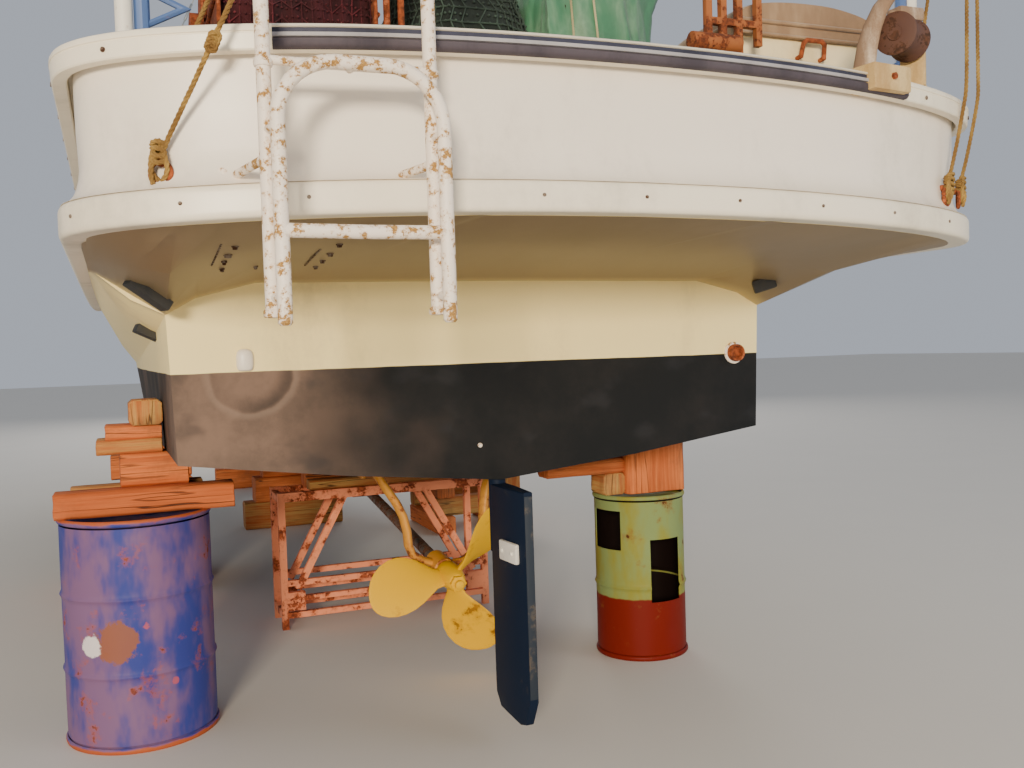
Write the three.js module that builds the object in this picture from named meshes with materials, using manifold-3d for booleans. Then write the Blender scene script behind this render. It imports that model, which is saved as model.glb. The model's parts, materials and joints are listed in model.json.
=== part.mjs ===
import * as THREE from 'three';
import { mergeVertices } from 'three/addons/utils/BufferGeometryUtils.js';
import Module from 'manifold-3d';

// Small stern trawler, hauled out on drums, a trestle and timber. Millimetres.
// Bow towards -Y, stern towards +Y, port +X, +Z up. Y is zero at the transom here.

const wasm = await Module();
wasm.setup();

const GAP = 0.3;
const TRIM = 14;

// Deck outline, measured at the outer face of the rubbing band.
const HALF_BEAM = 1481;
const BEAM_SWELL = 22;
const STERN_REACH = 1183;
const STERN_CROWN = 81;
const CORNER_DEPTH = 423;
const CORNER_POWER = 3.6;
const BOW_START = -3600;
const STEM_Y = -10700;

// Heights of the deck edge, with its camber and its rise towards the bow.
const DECK_EDGE_Z = 1841;
const CAMBER = 44;
const SHEER_START = -1800;
const SHEER_RISE = 780;

// Rubbing band, bulwark and cap, as insets from the outer face and heights over the band's middle.
const BAND_HALF_HEIGHT = 42;
const BAND_THICK = 62;
const CAP_TOP = 404;
const CAP_LIP = 64;
const CAP_THICK = 22;
const BOW_BULWARK_RISE = 240;

// Transom and bottom.
const TRANSOM_HALF = 1181;
const CHINE_Z = 1123;
const TRANSOM_KEEL_Z = 983;
const OVERHANG_ROOT_Z = 1750;

// Running gear.
const SHAFT_SLOPE = 7;
const PROP_Y = -670;
const PROP_Z = 464;
const RUDDER_STOCK_Y = -48;
const RUDDER_FORE = -70;
const RUDDER_AFT = 265;
const RUDDER_BOTTOM_Z = 85;
const RUDDER_TOP_Z = 965;
const RUDDER_HALF = 32;
const STOCK_BORE = 34;
const SHAFT_BORE = 28.5;

// Radius left between a turning shaft and its bore.
const RUNNING = 0.65;

// Deckhouse.
const HOUSE_FORE = -6500;
const HOUSE_AFT = -4650;
const HOUSE_HALF = 760;
const HOUSE_TOP = 3950;
const WALL = 45;

const finishes = {
  gelcoat: { color: 0xe6dfcf, roughness: 0.45, metalness: 0 },
  antifouling: { color: 0x2f3a40, roughness: 0.8, metalness: 0 },
  cream: { color: 0xe9e0c8, roughness: 0.5, metalness: 0 },
  strip: { color: 0x4a4f66, roughness: 0.7, metalness: 0 },
  painted: { color: 0xe8e4da, roughness: 0.5, metalness: 0.1 },
  rusted: { color: 0x8a4a2a, roughness: 0.9, metalness: 0.3 },
  blue: { color: 0x34508c, roughness: 0.6, metalness: 0.2 },
  navy: { color: 0x16283f, roughness: 0.6, metalness: 0.1 },
  yellow: { color: 0xd9b62a, roughness: 0.5, metalness: 0.1 },
  timber: { color: 0xa8673c, roughness: 0.9, metalness: 0 },
  net: { color: 0x3a1416, roughness: 1, metalness: 0 },
  tarp: { color: 0x3d7a4e, roughness: 0.9, metalness: 0 },
  glass: { color: 0x9fb6bd, roughness: 0.1, metalness: 0 },
  steel: { color: 0x8f9396, roughness: 0.4, metalness: 0.8 },
  engine: { color: 0x5f7f6f, roughness: 0.6, metalness: 0.3 },
  halved: { color: 0xb5602e, roughness: 0.8, metalness: 0.2 },
};

const group = new THREE.Group();

function bare(geometry) {
  const copy = geometry.clone();
  for (const name of Object.keys(copy.attributes)) {
    if (name !== 'position') copy.deleteAttribute(name);
  }
  return mergeVertices(copy, 1e-3);
}

function solid(geometry) {
  const merged = bare(geometry);
  return new wasm.Manifold(new wasm.Mesh({
    numProp: 3,
    vertProperties: new Float32Array(merged.attributes.position.array),
    triVerts: new Uint32Array(merged.index.array),
  }));
}

function shape(body) {
  const mesh = body.getMesh();
  const geometry = new THREE.BufferGeometry();
  geometry.setAttribute('position', new THREE.BufferAttribute(mesh.vertProperties, 3));
  geometry.setIndex(new THREE.BufferAttribute(mesh.triVerts, 1));
  const flat = geometry.toNonIndexed();
  flat.computeVertexNormals();
  return flat;
}

function join(...bodies) {
  return bodies.flat().reduce((sum, body) => sum.add(body));
}

function cut(body, ...tools) {
  return tools.flat().reduce((left, tool) => left.subtract(tool), body);
}

function add(name, finish, body) {
  const material = new THREE.MeshStandardMaterial({ ...finishes[finish], side: THREE.FrontSide });
  const mesh = new THREE.Mesh(shape(body), material);
  mesh.name = name;
  group.add(mesh);
  return body;
}

function box(x0, x1, y0, y1, z0, z1) {
  const geometry = new THREE.BoxGeometry(x1 - x0, y1 - y0, z1 - z0);
  geometry.translate((x0 + x1) / 2, (y0 + y1) / 2, (z0 + z1) / 2);
  return solid(geometry);
}

// A box given for the port side, placed there or on the starboard side.
function mirrored(side, x0, x1, y0, y1, z0, z1) {
  return side > 0 ? box(x0, x1, y0, y1, z0, z1) : box(-x1, -x0, y0, y1, z0, z1);
}

// A straight round bar between two points.
function rod(from, to, radius, sides = 10) {
  const a = new THREE.Vector3(...from);
  const b = new THREE.Vector3(...to);
  const geometry = new THREE.CylinderGeometry(radius, radius, a.distanceTo(b), sides);
  const along = b.clone().sub(a).normalize();
  const turn = new THREE.Quaternion().setFromUnitVectors(new THREE.Vector3(0, 1, 0), along);
  geometry.applyQuaternion(turn);
  geometry.translate((a.x + b.x) / 2, (a.y + b.y) / 2, (a.z + b.z) / 2);
  return solid(geometry);
}

// A round bar bent through a chain of points, mitred at each bend.
function pipe(points, radius, sides = 8) {
  const path = points.map((p) => new THREE.Vector3(...p));
  const steps = path.slice(1).map((p, i) => p.clone().sub(path[i]).normalize());
  const u = new THREE.Vector3().crossVectors(steps[0], new THREE.Vector3(0.31, 0.85, 0.43)).normalize();
  const v = new THREE.Vector3().crossVectors(steps[0], u);
  let ring = Array.from({ length: sides }, (_, k) => {
    const angle = (k / sides) * 2 * Math.PI;
    const around = u.clone().multiplyScalar(Math.cos(angle)).addScaledVector(v, Math.sin(angle));
    return path[0].clone().addScaledVector(around, radius);
  });
  const rings = [ring];
  steps.forEach((step, i) => {
    const end = path[i + 1];
    const mitre = step.clone().add(steps[i + 1] ?? step).normalize();
    ring = ring.map((p) => p.clone().addScaledVector(step, end.clone().sub(p).dot(mitre) / step.dot(mitre)));
    rings.push(ring);
  });
  return loft(rings.map((points3) => points3.map((p) => p.toArray())));
}

// A square bar between two points, width across and height up.
function beam(from, to, width, height) {
  const a = new THREE.Vector3(...from);
  const b = new THREE.Vector3(...to);
  const along = b.clone().sub(a);
  const geometry = new THREE.BoxGeometry(width, height, along.length());
  const side = new THREE.Vector3().crossVectors(new THREE.Vector3(0, 0, 1), along).normalize();
  if (side.lengthSq() < 0.5) side.set(1, 0, 0);
  const forward = along.clone().normalize();
  const up = new THREE.Vector3().crossVectors(forward, side);
  geometry.applyMatrix4(new THREE.Matrix4().makeBasis(side, up, forward));
  geometry.translate((a.x + b.x) / 2, (a.y + b.y) / 2, (a.z + b.z) / 2);
  return solid(geometry);
}

// A turned piece about the X axis through y, z. Profile rows are [x, radius].
function turned(profile, y, z, sides = 24) {
  const points = profile.map(([x, radius]) => new THREE.Vector2(radius, x));
  const geometry = new THREE.LatheGeometry(points, sides);
  geometry.rotateZ(-Math.PI / 2);
  geometry.translate(0, y, z);
  return solid(geometry);
}

// A turned piece about the Z axis. Profile rows are [radius, z].
function upright(profile, x, y, sides = 24) {
  const geometry = new THREE.LatheGeometry(profile.map(([r, z]) => new THREE.Vector2(r, z)), sides);
  geometry.rotateX(Math.PI / 2);
  geometry.translate(x, y, 0);
  return solid(geometry);
}

// A closed solid through rings of equal count, with flat ends unless it returns to its start.
function loft(rings, closed = false) {
  const count = rings[0].length;
  const vertices = rings.flat().flat();
  const faces = [];
  const bands = closed ? rings.length : rings.length - 1;
  for (let i = 0; i < bands; i += 1) {
    const a = i * count;
    const b = ((i + 1) % rings.length) * count;
    for (let j = 0; j < count; j += 1) {
      const k = (j + 1) % count;
      faces.push(a + j, a + k, b + k, a + j, b + k, b + j);
    }
  }
  if (!closed) {
    const normal = ringNormal(rings[0]);
    const first = flatFaces(rings[0], normal);
    for (const [p, q, r] of first) faces.push(p, r, q);
    const last = (rings.length - 1) * count;
    for (const [p, q, r] of flatFaces(rings[rings.length - 1], normal)) {
      faces.push(last + p, last + q, last + r);
    }
  }
  const geometry = new THREE.BufferGeometry();
  geometry.setAttribute('position', new THREE.Float32BufferAttribute(vertices, 3));
  geometry.setIndex(faces);
  const body = solid(geometry);
  return body.volume() < 0 ? flipped(geometry) : body;
}

function flipped(geometry) {
  const index = Array.from(geometry.index.array);
  for (let i = 0; i < index.length; i += 3) [index[i + 1], index[i + 2]] = [index[i + 2], index[i + 1]];
  geometry.setIndex(index);
  return solid(geometry);
}

function ringNormal(ring) {
  const normal = new THREE.Vector3();
  for (let i = 0; i < ring.length; i += 1) {
    const a = new THREE.Vector3(...ring[i]);
    const b = new THREE.Vector3(...ring[(i + 1) % ring.length]);
    normal.add(new THREE.Vector3().crossVectors(a, b));
  }
  return normal.normalize();
}

// Triangles of a flat ring, wound as the ring is.
function flatFaces(ring, normal) {
  const side = Math.abs(normal.z) > 0.9 ? new THREE.Vector3(1, 0, 0) : new THREE.Vector3(0, 0, 1);
  const u = new THREE.Vector3().crossVectors(side, normal).normalize();
  const v = new THREE.Vector3().crossVectors(normal, u);
  const flat = ring.map((p) => {
    const point = new THREE.Vector3(...p);
    return new THREE.Vector2(point.dot(u), point.dot(v));
  });
  const reverse = THREE.ShapeUtils.isClockWise(flat);
  return THREE.ShapeUtils.triangulateShape(flat, []).map(([a, b, c]) => (reverse ? [a, c, b] : [a, b, c]));
}

// A point of the shaft's centre line at a given Y.
function shaftPoint(y) {
  return [0, y, PROP_Z + (PROP_Y - y) * Math.tan(THREE.MathUtils.degToRad(SHAFT_SLOPE))];
}

// Half beam of the band's outer face along the sides and the bow.
function halfBeam(y) {
  if (y > BOW_START) {
    const along = (CORNER_START - y) / (CORNER_START - BOW_START);
    return HALF_BEAM + BEAM_SWELL * Math.sin(along * Math.PI / 2);
  }
  const bow = Math.min((BOW_START - y) / (BOW_START - STEM_Y), 1);
  return (HALF_BEAM + BEAM_SWELL) * (1 - bow ** 2.3) ** 0.66;
}

const CORNER_START = STERN_REACH - CORNER_DEPTH - STERN_CROWN;

// Y of the stern's outer edge at a given half breadth, set in by an inset.
function sternEdge(x, inset = 0) {
  const half = HALF_BEAM - inset;
  const ratio = Math.min(Math.abs(x) / half, 1);
  const corner = CORNER_DEPTH * (1 - ratio ** CORNER_POWER) ** (1 / CORNER_POWER);
  return STERN_REACH - inset - CORNER_DEPTH - STERN_CROWN * ratio ** 2 + corner;
}

// Height of the band's middle line at a point of the deck.
function deckMid(x, y) {
  const rise = Math.max(SHEER_START - y, 0) / (SHEER_START - STEM_Y);
  return DECK_EDGE_Z + SHEER_RISE * rise ** 2 + CAMBER * (1 - (x / HALF_BEAM) ** 2);
}

function bulwarkTop(y) {
  const bow = Math.max(-y - 5000, 0) / (-STEM_Y - 5000);
  return CAP_TOP + BOW_BULWARK_RISE * bow ** 2;
}

const SIDE_JOINT_Y = 300;
const SIDE_STATIONS = [
  SIDE_JOINT_Y, -500, -1400, -2300, -3100, -3900, -4700, -5500, -6300, -7000, -7650, -8250, -8800, -9300,
  -9700, -10050, -10330, -10540,
];

// Outer edge from the middle of the stern round the port side to the stem.
function portEdge() {
  const points = [];
  const steps = 13;
  for (let i = 0; i < steps; i += 1) {
    const angle = (i / steps) * (Math.PI / 2);
    const x = HALF_BEAM * Math.sin(angle) ** (2 / CORNER_POWER);
    points.push([x, sternEdge(x)]);
  }
  points.push([HALF_BEAM, CORNER_START]);
  for (const y of SIDE_STATIONS) points.push([halfBeam(y), y]);
  points.push([0, STEM_Y]);
  return points;
}

const EDGE = portEdge();
const JOINT_INDEX = EDGE.findIndex(([, y]) => y === SIDE_JOINT_Y);

function edgeNormal(i) {
  if (i === 0) return [0, 1];
  if (i === EDGE.length - 1) return [0, -1];
  const [x0, y0] = EDGE[i - 1];
  const [x1, y1] = EDGE[i + 1];
  const length = Math.hypot(x1 - x0, y1 - y0);
  return [-(y1 - y0) / length, (x1 - x0) / length];
}

// One cross-section of a rail at an edge point. Profile rows are [inset, height over the band's middle].
function railRing(i, side, profile) {
  const [x, y] = EDGE[i];
  const [nx, ny] = edgeNormal(i);
  return profile(y).map(([inset], row) => {
    const px = Math.max(x - nx * inset, i === EDGE.length - 1 ? GAP / 2 : 0);
    const py = y - ny * inset;
    return [side * px, py, deckMid(px, py) + profile(py)[row][1]];
  });
}

function sternRail(profile) {
  const rings = [];
  for (let i = JOINT_INDEX; i > 0; i -= 1) rings.push(railRing(i, 1, profile));
  for (let i = 0; i <= JOINT_INDEX; i += 1) rings.push(railRing(i, -1, profile));
  return loft(rings);
}

function sideRail(side, profile, jointGap = GAP) {
  const rings = [];
  for (let i = JOINT_INDEX; i < EDGE.length; i += 1) rings.push(railRing(i, side, profile));
  for (const point of rings[0]) point[1] -= jointGap;
  return loft(rings);
}

const H = BAND_HALF_HEIGHT;
const bandProfile = () => [[0, -H + 10], [0, H - 10], [8, H], [BAND_THICK, H], [BAND_THICK, -H], [8, -H]];
const bulwarkProfile = (y) => {
  const top = bulwarkTop(y) - CAP_THICK - 3 * GAP;
  return [[6, H + GAP], [34, H + 20], [56, H + 66], [50, top], [94, top], [104, H + GAP]];
};
const capProfile = (y) => {
  const top = bulwarkTop(y);
  const inner = [[135, top], [135, top - CAP_THICK], [38, top - CAP_THICK], [38, top - CAP_LIP]];
  return [[2, top - CAP_LIP], [-4, top - 8], [6, top], ...inner];
};
const stripProfile = (y) => {
  const top = bulwarkTop(y);
  return [[8, top - CAP_LIP + 2], [-20, top - 52], [-14, top - 34], [-22, top - 16], [8, top - 10]];
};

// Hull stations. Columns: y, keel z, chine half breadth, chine z, knuckle half breadth, knuckle z.
const STATIONS = [
  [0, TRANSOM_KEEL_Z, TRANSOM_HALF, CHINE_Z, 1200, 1640],
  [-800, 966, 1192, 1116, 1215, 1590],
  [-1700, 945, 1200, 1108, 1230, 1545],
  [-3000, 915, 1205, 1098, 1245, 1495],
  [-4500, 890, 1190, 1092, 1245, 1475],
  [-6000, 872, 1125, 1100, 1200, 1500],
  [-7300, 872, 985, 1135, 1095, 1570],
  [-8300, 900, 770, 1210, 920, 1680],
  [-9100, 1010, 520, 1350, 700, 1820],
  [-9650, 1260, 300, 1560, 470, 1980],
  [-10050, 1600, 145, 1820, 290, 2140],
  [-10350, 2000, 60, 2130, 150, 2300],
  [-10560, 2360, 22, 2420, 58, 2470],
];

function hullRing([y, keelZ, chineX, chineZ, kneeX, kneeZ]) {
  const deckX = Math.max(halfBeam(y) - BAND_THICK + TRIM, 25);
  const right = [
    [deckX * 0.5, y, deckMid(deckX * 0.5, y) + H],
    [deckX, y, deckMid(deckX, y) + H],
    [deckX, y, deckMid(deckX, y) - H],
    [kneeX + (deckX - kneeX) * 0.45, y, kneeZ + (deckMid(deckX, y) - H - kneeZ) * 0.32],
    [kneeX, y, kneeZ],
    [chineX, y, chineZ],
    [chineX * 0.5, y, (keelZ * 1.15 + chineZ * 0.85) / 2],
  ];
  const left = right.map(([x, yy, z]) => [-x, yy, z]).reverse();
  return [[0, y, deckMid(0, y) + H], ...right, [0, y, keelZ], ...left];
}

// Underside of the stern overhang where it meets the transom. Columns: half breadth, z.
const OVERHANG_ROOT = [
  [0, OVERHANG_ROOT_Z], [900, 1746], [1120, 1690], [1200, 1640], [1300, 1705], [1419, 1785],
];

function rootHeight(x) {
  const at = Math.abs(x);
  for (let i = 1; i < OVERHANG_ROOT.length; i += 1) {
    const [x1, z1] = OVERHANG_ROOT[i];
    const [x0, z0] = OVERHANG_ROOT[i - 1];
    if (at <= x1) return z0 + (z1 - z0) * (at - x0) / (x1 - x0);
  }
  return OVERHANG_ROOT[OVERHANG_ROOT.length - 1][1];
}

function overhang() {
  const inset = BAND_THICK - TRIM;
  const half = HALF_BEAM - inset;
  const breadths = [half, 1428, 1410, 1385, 1350, 1300, 1200, 1100, 900, 600, 300];
  const all = [...breadths.map((x) => -x), 0, ...breadths.reverse()];
  return loft(all.map((x) => {
    const edge = sternEdge(x, inset);
    const lip = deckMid(x, edge) - H;
    const root = rootHeight(x);
    return [
      [x, edge, deckMid(x, edge) + H],
      [x, edge, lip],
      [x, edge * 0.45, lip + (root - lip) * 0.42],
      [x, 0, root],
      [x, -80, root + 40],
      [x, -80, deckMid(x, -80) + H],
    ];
  }));
}

const HATCH = { half: 520, aft: -1150, fore: -2250, height: 260, wall: 40 };
const FORE_HATCH = { half: 330, aft: -7150, fore: -7850, height: 200, wall: 35 };
const CASING = { half: 560, aft: -3500, fore: HOUSE_AFT + GAP, top: 2780 };

// The deck's edge is trimmed back to the inner face of the band.
const edgeTrim = () => [
  [-60, -H - 1], [-60, H + 60], [BAND_THICK + GAP, H + 60], [BAND_THICK + GAP, -H - 1],
];
const roughShell = join(loft(STATIONS.map(hullRing)), overhang());
const hullShell = cut(
  roughShell,
  sternRail(edgeTrim),
  sideRail(1, edgeTrim, -GAP),
  sideRail(-1, edgeTrim, -GAP),
);
const hullRaised = roughShell.translate(0, 0, GAP);
const hullLowered = roughShell.translate(0, 0, -GAP);

const onDeck = (body) => body.subtract(hullRaised);
const underHull = (body) => body.subtract(hullLowered);

function hull() {
  const wells = [
    box(-HATCH.half + 60, HATCH.half - 60, HATCH.fore + 60, HATCH.aft - 60, 1230, 2600),
    box(-FORE_HATCH.half + 50, FORE_HATCH.half - 50, FORE_HATCH.fore + 50, FORE_HATCH.aft - 50, 1400, 2800),
    box(-CASING.half + 120, CASING.half - 120, CASING.fore + 120, CASING.aft - 80, 1080, 2600),
    rod([0, RUDDER_STOCK_Y, 900], [0, RUDDER_STOCK_Y, 1300], STOCK_BORE, 24),
    rod(shaftPoint(-2300), shaftPoint(-3600), 32, 12),
  ];
  const aft = box(-2000, 2000, 0, 2000, 0, 3000);
  return cut(hullShell, wells, aft);
}

// The after deck and its underside, aft of the transom.
function sternOverhang() {
  return hullShell.intersect(box(-2000, 2000, GAP, 2000, 0, 3000));
}

add('hull', 'gelcoat', hull());
add('stern_overhang', 'gelcoat', sternOverhang());

// Each length of the deck edge: band, bulwark and cap, cut to sit on each other.
const LENGTHS = [
  ['stern', (profile) => sternRail(profile)],
  ['port', (profile) => sideRail(1, profile)],
  ['starboard', (profile) => sideRail(-1, profile)],
];

const CAPS = {};
for (const [length, rail] of LENGTHS) {
  const band = add(`rubbing_band_${length}`, 'cream', rail(bandProfile));
  const seat = band.translate(0, 0, GAP);
  const bulwark = onDeck(rail(bulwarkProfile)).subtract(seat);
  CAPS[length] = add(`cap_rail_${length}`, 'cream', rail(capProfile));
  add(`bulwark_${length}`, 'gelcoat', bulwark);
}

// A flat plate cut to an outline in the YZ plane, between two X positions.
function sidePlate(outline, x0, x1) {
  const flat = new THREE.Shape(outline.map(([y, z]) => new THREE.Vector2(y, z)));
  const geometry = new THREE.ExtrudeGeometry(flat, { depth: x1 - x0, bevelEnabled: false });
  geometry.applyMatrix4(new THREE.Matrix4().makeBasis(
    new THREE.Vector3(0, 1, 0), new THREE.Vector3(0, 0, 1), new THREE.Vector3(1, 0, 0)));
  geometry.translate(x0, 0, 0);
  return solid(geometry);
}

// A flat plate cut to an outline in the XZ plane, between two Y positions.
function crossPlate(outline, y0, y1) {
  const flat = new THREE.Shape(outline.map(([x, z]) => new THREE.Vector2(x, z)));
  const geometry = new THREE.ExtrudeGeometry(flat, { depth: y1 - y0, bevelEnabled: false });
  geometry.rotateX(Math.PI / 2);
  geometry.translate(0, y1, 0);
  return solid(geometry);
}

// Keel from the stern tube to the stem.
const KEEL_HALF = 55;
const KEEL_AFT = -2450;
const KEEL_LINE = [[KEEL_AFT, 600], [-5000, 580], [-8400, 560], [-9000, 720], [-9500, 1060]];

function keelBottom(y) {
  for (let i = 1; i < KEEL_LINE.length; i += 1) {
    const [y0, z0] = KEEL_LINE[i - 1];
    const [y1, z1] = KEEL_LINE[i];
    if (y >= y1) return z0 + (z1 - z0) * (y - y0) / (y1 - y0);
  }
  return KEEL_LINE[KEEL_LINE.length - 1][1];
}

function keel() {
  const outline = [...KEEL_LINE, [-9700, 1500], [KEEL_AFT - 60, 1100], [KEEL_AFT, 1100]];
  const fin = underHull(sidePlate(outline, -KEEL_HALF, KEEL_HALF));
  const tube = rod(shaftPoint(KEEL_AFT + 60), shaftPoint(KEEL_AFT - 400), 52, 16);
  const bore = rod(shaftPoint(KEEL_AFT + 200), shaftPoint(KEEL_AFT - 1400), 30, 12);
  return cut(join(fin, underHull(tube)), bore);
}

// Twin arms from the bottom to the bearing just forward of the propeller.
const BRACKET_Y = PROP_Y - 170;

// One arm's centre line. Columns: half breadth, distance forward, height over the shaft.
const BRACKET_ARM = [[30, 0, 20], [190, 0, 150], [285, 10, 330], [330, 20, 605]];

function shaftBracket() {
  const [, y, z] = shaftPoint(BRACKET_Y);
  const [, y0, z0] = shaftPoint(BRACKET_Y + 75);
  const [, y1, z1] = shaftPoint(BRACKET_Y - 75);
  const parts = [rod([0, y0, z0], [0, y1, z1], 52, 16)];
  for (const side of [1, -1]) {
    const arm = BRACKET_ARM.map(([x, back, up]) => [side * x, y - back, z + up]);
    for (let i = 0; i + 1 < arm.length; i += 1) parts.push(beam(arm[i], arm[i + 1], 70, 42));
    parts.push(box(side * 325 - 70, side * 325 + 70, y - 110, y + 90, 940, 1100));
  }
  const bore = rod(shaftPoint(BRACKET_Y + 200), shaftPoint(BRACKET_Y - 200), SHAFT_BORE, 24);
  return cut(underHull(join(parts)), bore);
}

function blade(angle) {
  const rows = [
    // radius, chord, pitch angle, thickness
    [48, 90, 62, 30], [120, 165, 50, 24], [210, 255, 38, 17], [300, 265, 29, 12], [355, 205, 25, 8],
    [388, 90, 23, 5],
  ];
  const rings = rows.map(([r, chord, pitch, thick]) => {
    const tilt = THREE.MathUtils.degToRad(pitch);
    const along = [-0.5, -0.2, 0.2, 0.5, 0.2, -0.2];
    const across = [0, 0.5, 0.5, 0, -0.5, -0.5];
    return along.map((u, i) => {
      const a = u * chord;
      const t = across[i] * thick;
      const x = a * Math.cos(tilt) - t * Math.sin(tilt);
      const y = a * Math.sin(tilt) + t * Math.cos(tilt);
      return [x, y, r];
    });
  });
  return loft(rings).rotate([0, angle, 0]);
}

const BLADE_ANGLES = [-20, 100, 220];

// Hub outline. Columns: radius, distance aft.
const HUB = [[0, -85], [46, -85], [62, -60], [58, 50], [40, 78], [40, 100], [20, 118], [0, 122]];

function propeller() {
  const hub = new THREE.LatheGeometry(HUB.map(([r, y]) => new THREE.Vector2(r, y)), 20);
  const blades = BLADE_ANGLES.map(blade);
  const shaft = rod([0, -60, 0], [0, -2800, 0], SHAFT_BORE - RUNNING, 24);
  const whole = join(solid(hub), shaft, blades);
  return whole.rotate([-SHAFT_SLOPE, 0, 0]).translate(0, PROP_Y, PROP_Z);
}

const KEEL = add('keel', 'antifouling', keel());
add('shaft_bracket', 'yellow', shaftBracket());
add('propeller', 'yellow', propeller());

function rudder() {
  const low = RUDDER_BOTTOM_Z;
  const outline = [
    [RUDDER_FORE, RUDDER_TOP_Z], [RUDDER_FORE, low + 60], [RUDDER_FORE + 35, low + 15],
    [RUDDER_AFT - 90, low], [RUDDER_AFT - 50, low + 10], [RUDDER_AFT, low + 105], [RUDDER_AFT, RUDDER_TOP_Z],
  ];
  const plate = sidePlate(outline, -RUDDER_HALF, RUDDER_HALF);
  const stock = rod([0, RUDDER_STOCK_Y, 700], [0, RUDDER_STOCK_Y, 1270], STOCK_BORE - RUNNING, 24);
  return join(plate, stock);
}

add('rudder', 'navy', rudder());

// Boarding ladder on the port quarter: two long rails, and an arched lower frame on their after side.
const RAIL = { x: 820, y: 1245, half: 197, tube: 17, foot: 1575, cross: 2152, top: 2900, crank: 80 };
const ARCH = { x: 812, y: 1303, half: 200, tube: 17, foot: 1555, rung: 1768, top: 2150, bend: 115 };
const STRUT = { shift: 150, rise: 25, z: 1965, pad: 40, tube: 12 };

function archPath() {
  const { x, y, half, foot, top, bend } = ARCH;
  const path = [[x - half, y, foot]];
  for (const side of [-1, 1]) {
    for (let i = 0; i <= 4; i += 1) {
      const angle = ((side < 0 ? i : 4 - i) / 4) * (Math.PI / 2);
      path.push([x + side * (half - bend + bend * Math.cos(angle)), y, top - bend + bend * Math.sin(angle)]);
    }
  }
  path.push([x + half, y, foot]);
  return path;
}

function ladder() {
  const parts = [pipe(archPath(), ARCH.tube)];
  const { top: high, crank } = RAIL;
  for (const side of [-1, 1]) {
    const rail = RAIL.x + side * RAIL.half;
    const leg = ARCH.x + side * ARCH.half;
    const bend = [[rail, RAIL.y, high - crank], [rail - side * crank, RAIL.y, high]];
    parts.push(pipe([[rail, RAIL.y, RAIL.foot], ...bend], RAIL.tube));
    for (const z of [1620, 2000]) parts.push(rod([rail, RAIL.y, z], [leg, ARCH.y, z], STRUT.tube, 6));
    const pad = rail + STRUT.shift;
    const face = sternEdge(pad, 54);
    parts.push(rod([rail, RAIL.y, STRUT.z], [pad, face + 6, STRUT.z + STRUT.rise], STRUT.tube, 6));
    parts.push(box(pad - STRUT.pad, pad + STRUT.pad, face - 10, face + 12, STRUT.z, STRUT.z + 55));
  }
  const across = ({ x, y, tube }, z, half) => rod([x - half, y, z], [x + half, y, z], tube, 8);
  parts.push(across(RAIL, RAIL.cross, RAIL.half), across(RAIL, high, RAIL.half - crank));
  parts.push(across(ARCH, ARCH.rung, ARCH.half));
  parts.push(rod([RAIL.x, RAIL.y, RAIL.cross], [RAIL.x, ARCH.y, ARCH.top], STRUT.tube, 6));
  const wall = sternRail(bulwarkProfile);
  return cut(join(parts), wall, wall.translate(0, GAP, 0));
}

// Portal legs just inside the quarters, each a white tube and a blue tube with rungs.
// Pieces on the after deck start inside the deck's thickness and are cut to its surface.
const SUNK_Z = 1855;

const GANTRY = { y: 800, outer: 1300, inner: 1256, white: 23, blue: 20, beam: 38, top: 4120, reach: 1640 };

// Towing blocks under the beam. Columns: x, half thickness, drop.
const BLOCKS = [[-1590, 32, 250], [-400, 20, 190], [400, 20, 190], [1590, 32, 250]];

function gantryLeg(side) {
  const { y, outer, inner, white, blue, top } = GANTRY;
  const parts = [
    rod([side * outer, y, SUNK_Z], [side * outer, y, top - 20], white, 10),
    rod([side * inner, y, SUNK_Z], [side * inner, y, top - 20], blue, 8),
    mirrored(side, inner - 40, outer + 28, y - 60, y + 60, SUNK_Z, 1912),
  ];
  for (const z of [2450, 2900, 3350, 3800]) {
    parts.push(mirrored(side, inner, outer, y - 30, y + 30, z, z + 50));
  }
  const step = [[side * inner, y, 2350], [side * (inner - 105), y, 2405], [side * inner, y, 2450]];
  parts.push(pipe(step, 9, 6));
  const seat = rod([-outer - 60, y, top - 20], [outer + 60, y, top - 20], GANTRY.beam + GAP, 12);
  return cut(onDeck(join(parts)), seat);
}

function gantryBeam() {
  const { y, reach, top } = GANTRY;
  return join(
    rod([-reach, y, top - 20], [reach, y, top - 20], GANTRY.beam, 12),
    BLOCKS.map(([x, half, drop]) => box(x - half, x + half, y - 30, y + 30, top - drop, top - 20)),
    BLOCKS.map(([x, half, drop]) => rod([x - half, y, top - drop], [x + half, y, top - drop], 55, 14)),
  );
}

// Net drum on two A-frames.
const NET_DRUM = { y: -60, z: 2620, left: 500, right: 1020, flange: 370, core: 250 };

// Net guide posts at the drum's inboard end.
const GUIDE = { posts: [396, 447], y: 216, tube: 12, top: 3050 };

function netDrum() {
  const { y, z, left, right, flange, core } = NET_DRUM;
  return turned([
    [left - 50, 0], [left - 50, 29], [left, 29], [left, flange], [left + 14, flange], [left + 30, core],
    [right - 30, core], [right - 14, flange], [right, flange], [right, 29], [right + 50, 29], [right + 50, 0],
  ], y, z, 20);
}

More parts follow.
